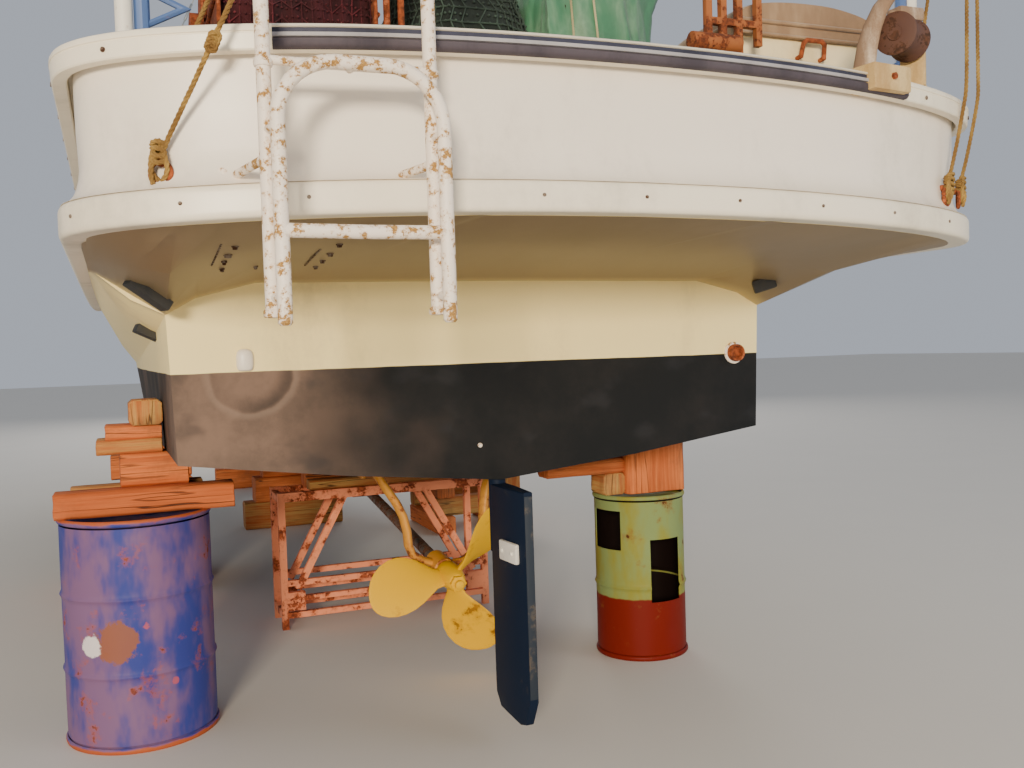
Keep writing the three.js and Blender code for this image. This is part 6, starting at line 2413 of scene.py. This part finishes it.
        face.turned([(60, 0), (60, 88), (72, 88), (80, 60), (84, 0)], (0, y, z + 205), aim, 40)
        face.object("search_light_glass", finish["white_lens"], Body.BOAT, "glass", angle=60)

    def mast_gear(self, finish: dict) -> None:
        """Builds the mast's lamps, stays and aerials, the scanner's cap and the boom's lift.

        Args:
            finish: Materials by the name of their finish.
        """
        form = Form()
        for z, y in self.mast_lamps:
            form.block((-32, y, z - 10), (32, self.mast_y, z + 2), 3)
            form.turned([(2, 34), (12, 34), (12, 30)], (0, y, z), UP, 20)
            form.turned([(92, 30), (98, 34), (112, 26), (114, 0)], (0, y, z), UP, 20)
        form.block((-30, -4862, 5870), (30, self.boom_axis + 26, 5892), 5)
        form.turned([(-24, 0), (-24, 24), (24, 24), (24, 0)], (0, self.boom_axis, 5882), UP, 20)
        for k in range(9):
            z = 4240 + k * 170
            for side in (-1, 1):
                form.tube([(side * 46, self.mast_y, z), (side * 130, self.mast_y, z),
                           (side * 134, self.mast_y, z + 26)],
                          8, 8)
        for x, top in ((-380, 6080), (330, 5900)):
            long = top - 5250
            form.turned([(0, 0), (0, 14), (60, 13), (64, 6), (long, 2.5), (long, 0)], (x, self.mast_y, 5262),
                        UP, 10)
        for side in (-1, 1):
            form.turned([(-4, 34), (8, 34), (12, 20), (30, 8), (30, 0)],
                        (side * self.board_x, self.stay_foot_y, self.roof), UP, 16)
        form.object("mast_fittings", finish["painted"], Body.BOAT, "painted", angle=50)
        stays = Form()
        for side in (-1, 1):
            top = Vector((side * 34, self.mast_y + 20, 5850))
            foot = Vector((side * self.board_x, self.stay_foot_y, self.roof + 26))
            for shares, radius in (((0, 0.5, 0.9), 4.5), ((0.89, 0.93, 0.97), 10), ((0.96, 0.98, 1), 5)):
                stays.tube([top.lerp(foot, share) for share in shares], radius, 8)
        stays.object("mast_stays", finish["steel"], Body.BOAT, "steel", angle=60)
        lift = Form()
        lift.tube([(0, self.boom_axis, 5905), (0, -3100, 5655), (0, -1450, 5402)], 5, 8)
        lift.turned([(-30, 0), (-30, 20), (30, 20), (30, 0)], (0, self.boom_axis, 5920), UP, 16)
        lift.turned([(-16, 0), (-16, 44), (-10, 50), (10, 50), (16, 44), (16, 0)], (0, -1560, 5440), ACROSS, 28)
        for y, z in ((-4400, 4346), (-2600, 4964)):
            lift.turned([(-14, 36), (-14, 50), (14, 50), (14, 36)], (0, y, z), (0, 3350, 1150), 24, True)
        lift.object("boom_lift", finish["steel"], Body.BOOM, "steel", angle=50)
        cap = Form()
        cap.turned([(-34, 0), (-34, 62), (-20, 74), (-2, 76), (-2, 0)], (0, -5370, 5040), UP, 28)
        cap.object("scanner_base", finish["painted"], Body.RADAR, "painted", angle=50)
        lens = Form()
        for z, y in self.mast_lamps:
            lens.turned([(11, 0), (11, 27), (92, 27), (92, 0)], (0, y, z), UP, 20)
        lens.object("mast_lamps", finish["white_lens"], Body.BOAT, "glass", angle=60)


@dataclass
class DeckGear:
    """Winch wire, brakes, hatch fittings, vents, cleats, bow rails and the openings in the bulwark."""

    winch_y: float = -2850
    winch_z: float = 2300
    ports: tuple[float, ...] = (-1500, -2900, -4300, -5700, -7100)
    lids: tuple[tuple[str, Body, float, float, float, float], ...] = (
        # name, body, half breadth, fore and after end, top
        ("hold", Body.HOLD_LID, 550, -2280, -1120, 2234), ("fore", Body.FORE_LID, 360, -7880, -7120, 2532),
    )

    def build(self, finish: dict, edge: DeckEdge) -> None:
        """Builds the pieces.

        Args:
            finish: Materials by the name of their finish.
            edge: The deck's own edge curve.
        """
        self.winch(finish)
        self.hatches(finish)
        self.casing(finish)
        self.bow(finish, edge)
        self.side_openings(finish, edge)

    def winch(self, finish: dict) -> None:
        """Builds the wire wound on the drums, the flanges' ribs, the brake wheels and the levers.

        Args:
            finish: Materials by the name of their finish.
        """
        y, z = self.winch_y, self.winch_z
        wire = Form()
        for side in (-1, 1):
            profile = [(62, 119)]
            for turn in range(30):
                start = 63 + turn * 9.7
                profile += [(start, 166), (start + 2.4, 171), (start + 4.8, 172.5), (start + 7.2, 171)]
            profile += [(354, 166), (354, 119)]
            wire.turned(profile, (0, y, z), (side, 0, 0), 56, True)
        wire.object("winch_wire", finish["wire"], Body.WINCH, "steel", angle=30)
        spokes = Form()
        for side in (-1, 1):
            for at in (60, 356):
                for a in circle(8):
                    low, high = [Vector((side * at, y + reach * math.cos(a), z + reach * math.sin(a)))
                                 for reach in (186, 224)]
                    spokes.tube([low, (low + high) / 2, high], 7, 6)
        spokes.object("winch_flange_ribs", finish["rusted"], Body.WINCH, "rusted", angle=50)
        form = Form()
        for x in (-393, 393):
            hub = Vector((x, y + 262, 2330))
            form.tube([hub + Vector((80 * math.cos(a), 0, 80 * math.sin(a))) for a in circle(24, True)], 9, 8)
            for a in circle(4):
                out = Vector((80 * math.cos(a + 0.4), 0, 80 * math.sin(a + 0.4)))
                form.tube([hub, hub + out / 2, hub + out], 6, 6)
            form.turned([(-60, 0), (-60, 12), (10, 14), (14, 0)], hub, ALONG, 12)
            form.tube([(x, y - 190, 2380), (x, y - 215, 2480), (x, y - 235, 2600)], 8, 8)
            form.turned([(-20, 0), (-18, 14), (0, 19), (18, 14), (20, 0)], (x, y - 238, 2612), UP, 12)
            for dx in (-26, 26):
                for dy in (-228, 228):
                    form.turned([(0, 0), (0, 12), (9, 12), (11, 0)], (x + dx, y + dy, 1988), UP, 6)
        form.object("winch_controls", finish["rusted"], Body.BOAT, "rusted", angle=50)

    def hatches(self, finish: dict) -> None:
        """Builds the lids' handles and edge strips, and the dogs and hinges on their coamings.

        Args:
            finish: Materials by the name of their finish.
        """
        for name, body, half, y0, y1, top in self.lids:
            lid = Form()
            inset = half * 0.7
            for y in (y0 + 220, y1 - 220):
                for side in (-1, 1):
                    x = side * (inset - 40)
                    lid.tube([(x - 60, y, top - 4), (x - 60, y, top + 30), (x - 40, y, top + 44), (x + 40, y, top + 44),
                              (x + 60, y, top + 30), (x + 60, y, top - 4)], 8, 8)
            ridge = rounded((-inset - 60, inset + 60), (y0 + 110, y1 - 110), 40, 4)
            lid.tube([(x, y, top + 1) for x, y in ridge], 9, 8)
            lid.object(f"{name}_lid_handles", finish["steel"], body, "steel", angle=50)
            dogs = Form()
            count = 3 if half > 400 else 2
            for side in (-1, 1):
                for k in range(count):
                    y = y0 + 200 + (y1 - y0 - 400) * k / (count - 1)
                    x = side * (half + 16)
                    dogs.tube([(side * (half - 28), y, top - 210), (x, y, top - 205), (x, y, top - 120),
                               (x, y, top - 40)], 8, 8)
                    dogs.turned([(-8, 0), (-8, 20), (8, 20), (8, 0)], (x, y, top - 62), UP, 10)
            for x in (-half * 0.6, half * 0.6):
                dogs.turned([(-60, 0), (-60, 15), (60, 15), (60, 0)], (x, y0 - 4, top - 62), ACROSS, 16)
            dogs.object(f"{name}_hatch_dogs", finish["steel"], Body.BOAT, "steel", angle=50)

    def casing(self, finish: dict) -> None:
        """Builds the slatted vents on the casing's sides, its lid's handles and the deck ventilators.

        Args:
            finish: Materials by the name of their finish.
        """
        slats = Form()
        for side in (-1, 1):
            for y in (-4330, -3830):
                x = side * 562
                for low in (2340, 2624):
                    slats.block((x, y - 172, low), (x + side * 12, y + 172, low + 16), 3)
                turn = Matrix.Rotation(math.radians(side * 35), 3, "Y")
                for k in range(9):
                    z = 2380 + k * 28
                    slats.block((x - 11, y - 160, z - 2), (x + 15, y + 160, z + 2), 0.8, turn)
        slats.object("casing_vents", finish["cream"], Body.BOAT, "cream", angle=40)
        lid = Form()
        for y in (-4300, -3800):
            lid.tube([(-470, y + dy, z) for dy, z in ((-55, 2842), (-55, 2880), (-35, 2892), (35, 2892), (55, 2880),
                                                      (55, 2842))], 8, 8)
        lid.object("casing_lid_handles", finish["steel"], Body.CASING_LID, "steel", angle=50)
        vent = Form()
        for x, y in ((-980, -4000), (980, -5400), (-980, -5400)):
            hood = [(300, 54), (304, 66), (318, 96), (332, 96), (350, 70), (362, 36), (364, 0)]
            vent.turned([(-30, 0), (-30, 62), (10, 62), (14, 54), *hood], (x, y, 1925), UP, 32)
        vent.object("deck_ventilators", finish["painted"], Body.BOAT, "painted", angle=50)

    def bow(self, finish: dict, edge: DeckEdge) -> None:
        """Builds the rails over the bow and the cleats on the deck.

        Args:
            finish: Materials by the name of their finish.
            edge: The deck's own edge curve.
        """
        form = Form()
        for side in (-1, 1):
            feet = []
            for y in (-8300, -8900, -9450, -9950, -10330):
                x = edge.beam_at(y) - 66
                feet.append((side * x, y, edge.middle(x, y) + edge.top(y)))
            rail = [(x, y, z + 330) for x, y, z in feet]
            (x0, y0, z0), (x1, y1, z1) = feet[0], feet[-1]
            form.tube([(x0, y0 + 160, z0 - 20), (x0, y0 + 110, z0 + 200), *rail, (x1, y1 - 60, z1 + 210),
                       (x1 * 0.8, y1 - 90, z1 - 8)], 15, 12)
            for x, y, z in feet:
                form.tube([(x, y, z - 8), (x, y, z + 160), (x, y, z + 330)], 11, 10)
                form.turned([(-3, 32), (5, 32), (8, 24), (8, 8)], (x, y, z), UP, 16)
        form.object("bow_rails", finish["steel"], Body.BOAT, "steel", angle=60)
        cleats = Form()
        for y in (-9300, -2600, 620):
            for side in (-1, 1):
                x = side * (edge.beam_at(y) - 190 if y < 500 else 1010)
                z = edge.middle(x, y) + (2 if y < 500 else 8)
                cleats.block((x - 34, y - 80, z - 14), (x + 34, y + 80, z + 8), 5)
                for dy in (-44, 44):
                    cleats.turned([(0, 0), (0, 19), (52, 16), (60, 0)], (x, y + dy, z + 4), UP, 14)
                horns = ((-150, 70), (-80, 60), (0, 58), (80, 60), (150, 70))
                cleats.tube([(x, y + dy, z + up) for dy, up in horns], [8, 13, 16, 13, 8], 12)
        cleats.object("deck_cleats", finish["rusted"], Body.BOAT, "rusted", angle=60)

    def side_openings(self, finish: dict, edge: DeckEdge) -> None:
        """Builds the framed freeing ports in the bulwark's sides.

        Args:
            finish: Materials by the name of their finish.
            edge: The deck's own edge curve.
        """
        frames, flaps = Form(), Form()
        for y in self.ports:
            for side in (-1, 1):
                for form, half, tall, thick in ((frames, 190, 44, 5), (flaps, 170, 30, 8)):
                    ring = []
                    for at in (y - half, y - half / 2, y, y + half / 2, y + half):
                        x = edge.beam_at(at) - 52
                        z = edge.middle(x, at) + 128
                        outline = ((-6, -tall), (thick, -tall + 3), (thick, tall - 3), (-6, tall))
                        ring.append([(side * (x + a), at, z + b) for a, b in outline])
                    form.loft(ring)
        frames.object("freeing_port_frames", finish["cream"], Body.BOAT, "cream", angle=40)
        flaps.object("freeing_port_flaps", finish["rubber"], Body.BOAT, "strip", angle=40)


@dataclass
class Yard:
    """Floor, light and camera."""

    camera_place: Point = (1.3412, 8.2179, 1.4878)
    yaw: float = 0.3775
    pitch: float = -0.0362
    roll: float = 0.0323
    lens: float = 34.42
    floor_half: float = 60.0

    def build(self) -> None:
        """Builds the floor, the lights and the camera."""
        self.camera()
        self.floor()
        self.lights()

    def camera(self) -> None:
        """Places the camera at the photograph's viewpoint."""
        forward = Vector((math.sin(self.yaw) * math.cos(self.pitch), math.cos(self.yaw) * math.cos(self.pitch),
                          math.sin(self.pitch)))
        right = Vector((math.cos(self.yaw), -math.sin(self.yaw), 0))
        up = right.cross(forward)
        across = right * math.cos(self.roll) - up * math.sin(self.roll)
        above = up * math.cos(self.roll) + right * math.sin(self.roll)
        turned = [Vector((-v.x, -v.y, v.z)) for v in (across, above, -forward)]
        data = bpy.data.cameras.new("camera")
        data.lens = self.lens
        data.sensor_width = 36
        camera = bpy.data.objects.new("camera", data)
        camera.matrix_world = Matrix.Translation(self.camera_place) @ Matrix(turned).transposed().to_4x4()
        bpy.context.scene.collection.objects.link(camera)
        bpy.context.scene.camera = camera

    def floor(self) -> None:
        """Lays the plain floor."""
        h = self.floor_half
        mesh = bpy.data.meshes.new("floor")
        mesh.from_pydata([(-h, -h, 0), (h, -h, 0), (h, h, 0), (-h, h, 0)], [], [(0, 1, 2, 3)])
        floor = bpy.data.objects.new("floor", mesh)
        c = Coat("floor_paint")
        c.feed(Base_Color=c.w.mix(c.w.noise(c.place, 1.5), rgb("d8d2c8"), rgb("dcd6cc")), Roughness=0.9)
        mesh.materials.append(c.material)
        bpy.context.scene.collection.objects.link(floor)

    def lights(self) -> None:
        """Hangs a broad warm key light on the port quarter, a cool fill and a pale surround."""
        world = bpy.data.worlds.new("surround")
        world.use_nodes = True
        background = world.node_tree.nodes["Background"]
        background.inputs["Color"].default_value = (0.78, 0.84, 0.95, 1)
        background.inputs["Strength"].default_value = 0.55
        bpy.context.scene.world = world
        rows = [
            # name, place, aim, width, height, power, colour
            ("key", (5.6, 16.5, 3.5), (0, 4.6, 1.4), 2.4, 1.6, 1900, (1.0, 0.86, 0.66)),
            ("fill", (-9.0, 13.0, 5.0), (0, 4.0, 1.5), 7.0, 5.0, 300, (0.86, 0.92, 1.0)),
            ("bow", (-5.0, -15.0, 7.0), (0, -3.0, 1.8), 8.0, 6.0, 900, (1.0, 0.97, 0.93)),
        ]
        for name, place, aim, width, height, power, color in rows:
            data = bpy.data.lights.new(name, "AREA")
            data.shape = "RECTANGLE"
            data.size, data.size_y, data.energy, data.color = width, height, power, color
            lamp = bpy.data.objects.new(name, data)
            lamp.location = place
            lamp.rotation_euler = (Vector(aim) - Vector(place)).to_track_quat("-Z", "Y").to_euler()
            bpy.context.scene.collection.objects.link(lamp)


FINISHES = {
    "hull_paint": HullCoat(),
    "gelcoat": Moulding("gelcoat", "efe5d5"),
    "cream": Moulding("cream_paint", "f3e9d2", amount=0.24),
    "antifouling": Moulding("bottom_paint", "30373c", "6a5a4c", 0.34, 0.7, 2.6, 0.78, 0.0),
    "strip": Moulding("rubber_strip", "4b434b", "2c2a34", 0.3, 0.5, 9.0, 0.7, 0.0),
    "strip_pale": Moulding("strip_inlay", "a5a2a4", "77757e", 0.3, 0.5, 9.0, 0.6, 0.0),
    "strip_navy": Moulding("strip_line", "2f3145", "1c1d2a", 0.3, 0.5, 9.0, 0.6, 0.0),
    "painted": Steel("white_steel", "ece7da", "a5764c", "6a4830", 0.37, 16.0),
    "posts": PostSteel("post_paint", "e9e4d6", "9a6238", "5a3420", 0.36, 14.0),
    "ladder": PatchySteel("ladder_steel", "f3e6d6", "bd9350", "8e6634", 0.41, 44.0, 0.5, heights=(
        (1.57, 0.07, 0.07), (1.93, 0.05, 0.06), (2.152, 0.05, 0.035), (1.768, 0.03, 0.03))),
    "propeller": Steel("propeller_paint", "eab208", "b87c14", "8a5e14", 0.355, 7.0, 0.5, specular=0.15),
    "bracket": Steel("bracket_paint", "dd9a34", "b0662a", "7a4420", 0.42, 8.0, 0.5),
    "rudder": Steel("rudder_paint", "0a1a30", "3c3a38", "1d2328", 0.3, 7.0, 0.6, specular=0.2),
    "rudder_edge": Steel("rudder_edge_paint", "1d2733", "6a5c4c", "2e2620", 0.36, 12.0, 0.6),
    "anode": Steel("zinc_anode", "e4e0d6", "b4ab9c", "8c8478", 0.36, 30.0, 0.7),
    "screw": Steel("recessed_screw", "7d6f60", "5a3a24", "2e1a10", 0.5, 60.0, 0.7),
    "rubber": Moulding("black_rubber", "23262a", "4a463f", 0.3, 0.5, 9.0, 0.7, 0.0),
    "rope": Moulding("rope_fibre", "aa8a48", "6b4a24", 0.42, 0.8, 22.0, 0.9, 0.0),
    "horn": Moulding("worn_horn", "d6c4ac", "7c5c42", 0.5, 0.85, 12.0, 0.6, 0.0),
    "stand": Moulding("stand_paint", "d9bd84", "9c7440", 0.36, 0.7, 8.0, 0.55, 0.05),
    "locker": Moulding("locker_paint", "f3dfae", "b08f5c", 0.22, 0.5, 3.0, 0.5, 0.1),
    "lashing": Moulding("lashing_cord", "c6bb92", "8a7a54", 0.35, 0.6, 18.0, 0.85, 0.0),
    "twine": Moulding("maroon_twine", "7a3038", "2c1014", 0.42, 0.8, 12.0, 0.95, 0.0),
    "green_twine": Moulding("dark_green_twine", "4c5f52", "27302b", 0.42, 0.8, 12.0, 0.95, 0.0),
    "roller": Steel("worn_roller", "54362a", "5c3a28", "38241a", 0.45, 14.0, 0.7),
    "rusted": Steel("rusted_steel", "b4683f", "a8552c", "5a2c16", 0.62, 9.0, 0.75),
    "trestle": Steel("trestle_steel", "f5956a", "b55a34", "6a2f1a", 0.45, 11.0, 0.8),
    "grid": Steel("grid_steel", "9c5a2a", "86441f", "4e2616", 0.5, 16.0, 0.8),
    "steel": Steel("galvanised_steel", "a2a7a8", "8a6446", "4e3424", 0.34, 10.0, 0.42, 0.7),
    "blue": Steel("blue_steel", "34489a", "9a5a3a", "5a3322", 0.36, 7.0, 0.42),
    "port_drum": DrumSteel(
        "faded_blue_drum", "363f8c", "a8574a", "6e3a30", 0.35, 9.0, 0.55, specular=0.25, faded="7c5c80", low="b0562e",
        split=0.016, crown=0.876, marks=(
            (1.41, 4.27, 0.427, 0.088, "93583a"), (1.504, 4.218, 0.413, 0.046, "e9e0dc"),
            (1.2, 4.26, 0.25, 0.02, "b4566a"), (1.3, 4.285, 0.48, 0.02, "b4566a"),
            (1.32, 4.29, 0.425, 0.014, "b4566a"))),
    "navy": Steel("navy_steel", "10283c", "6c5a48", "2a211a", 0.3, 9.0, 0.5),
    "yellow": Steel("yellow_paint", "d8bc2a", "b88a2a", "8a6422", 0.34, 9.0, 0.4),
    "timber": Wood("orange_timber"),
    "net": Moulding("net_twine", "4a1a20", "1e0a0c", 0.4, 0.8, 9.0, 0.95, 0.0),
    "dark_net": Moulding("dark_net_twine", "2c3630", "151a18", 0.4, 0.8, 9.0, 0.95, 0.0),
    "tarp": Cloth("green_tarpaulin", "427a58", "85a888", "2c5440", 420.0, 0.5, 0.1),
    "canvas": Cloth("brown_canvas", "8e7052", "ab8e6c", "6a5238", 300.0, 0.85, 0.3),
    "glass": Glass(),
    "dark_glass": Moulding("dark_glass", "2a3a3e", "4a5658", 0.2, 0.3, 3.0, 0.1, 0.5),
    "red_lens": Moulding("red_lens", "a81818", "6a1010", 0.2, 0.3, 30.0, 0.12, 0.6),
    "green_lens": Moulding("green_lens", "14784a", "0c4a2c", 0.2, 0.3, 30.0, 0.12, 0.6),
    "white_lens": Moulding("white_lens", "dfe6e4", "b4bcb8", 0.2, 0.3, 30.0, 0.12, 0.6),
    "wire": Steel("wound_wire", "6a655c", "7c4e30", "3c2a1e", 0.5, 22.0, 0.5, 0.4),
    "engine": Moulding("engine_paint", "4f7a66", "2a3a30", 0.3, 0.6, 4.0, 0.5, 0.2),
    "halved": DrumSteel(
        "two_tone_drum", "8f8a34", "8a5a2a", "4a2a1a", 0.36, 7.0, 0.5, faded="83945c", low="741a0c", split=0.29,
        core=(-0.97, 4.0109), specular=0.15),
}


@dataclass
class PackedNodes:
    """The CAD nodes that show as they are, with bevelled edges and their finishes."""

    bevel: float = 0.004
    bevel_angle: float = math.radians(40)
    materials: dict = field(default_factory=dict)
    special: dict = field(default_factory=lambda: {
        "hull": "hull_paint", "stern_overhang": "hull_paint", "trestle": "trestle", "grid_stand": "grid",
        "stern_locker": "locker", "wheelhouse_door": "gelcoat", "gantry_leg_port": "posts",
        "gantry_leg_starboard": "posts"})

    def dress(self) -> None:
        """Gives every node its material, a weld, a small bevel and smooth shading."""
        tree = smooth_tree()
        slots = {part["node"]: part["material_slot"] for part in frame["record"]["subparts"]}
        for name, obj in frame["nodes"].items():
            key = self.special.get(name, slots[name])
            obj.data.materials.clear()
            obj.data.materials.append(self.materials[key])
            weld = obj.modifiers.new("weld", "WELD")
            weld.merge_threshold = WELD
            if "glass" not in name:
                bevel = obj.modifiers.new("bevel", "BEVEL")
                bevel.width, bevel.segments, bevel.limit_method = self.bevel, 2, "ANGLE"
                bevel.angle_limit = self.bevel_angle
            obj.modifiers.new("smooth", "NODES").node_group = tree


def main() -> None:
    """Builds the scene."""
    logging.basicConfig(level=logging.INFO, format="%(message)s")
    materials = {key: finish.build() for key, finish in FINISHES.items()}
    Yard().build()
    PackedNodes(materials=materials).dress()
    edge = DeckEdge()
    edge.build(materials)
    Ladder().build(materials, edge)
    RunningGear().build(materials)
    SteelDrum("port_drum_skin", "port_drum", 1320, -700, 292, 885, (0.33, 0.66),
              ((60, 560, 60, 6), (100, 200, 80, 9), (130, 720, 70, 5))).build(materials["port_drum"], "blue")
    SteelDrum("centre_drum_skin", "centre_drum", -970, -680, 222, 775, (0.44,),
              ((70, 600, 70, 5), (110, 120, 60, 6)),
              ((98, 23, 275, 570), (12, 25, 520, 705))).build(materials["halved"], "halved")
    Timbers().build(materials)
    Trim().build(materials, edge)
    SternGear().build(materials)
    House().build(materials)
    DeckGear().build(materials, edge)


if __name__ == "__main__":
    main()
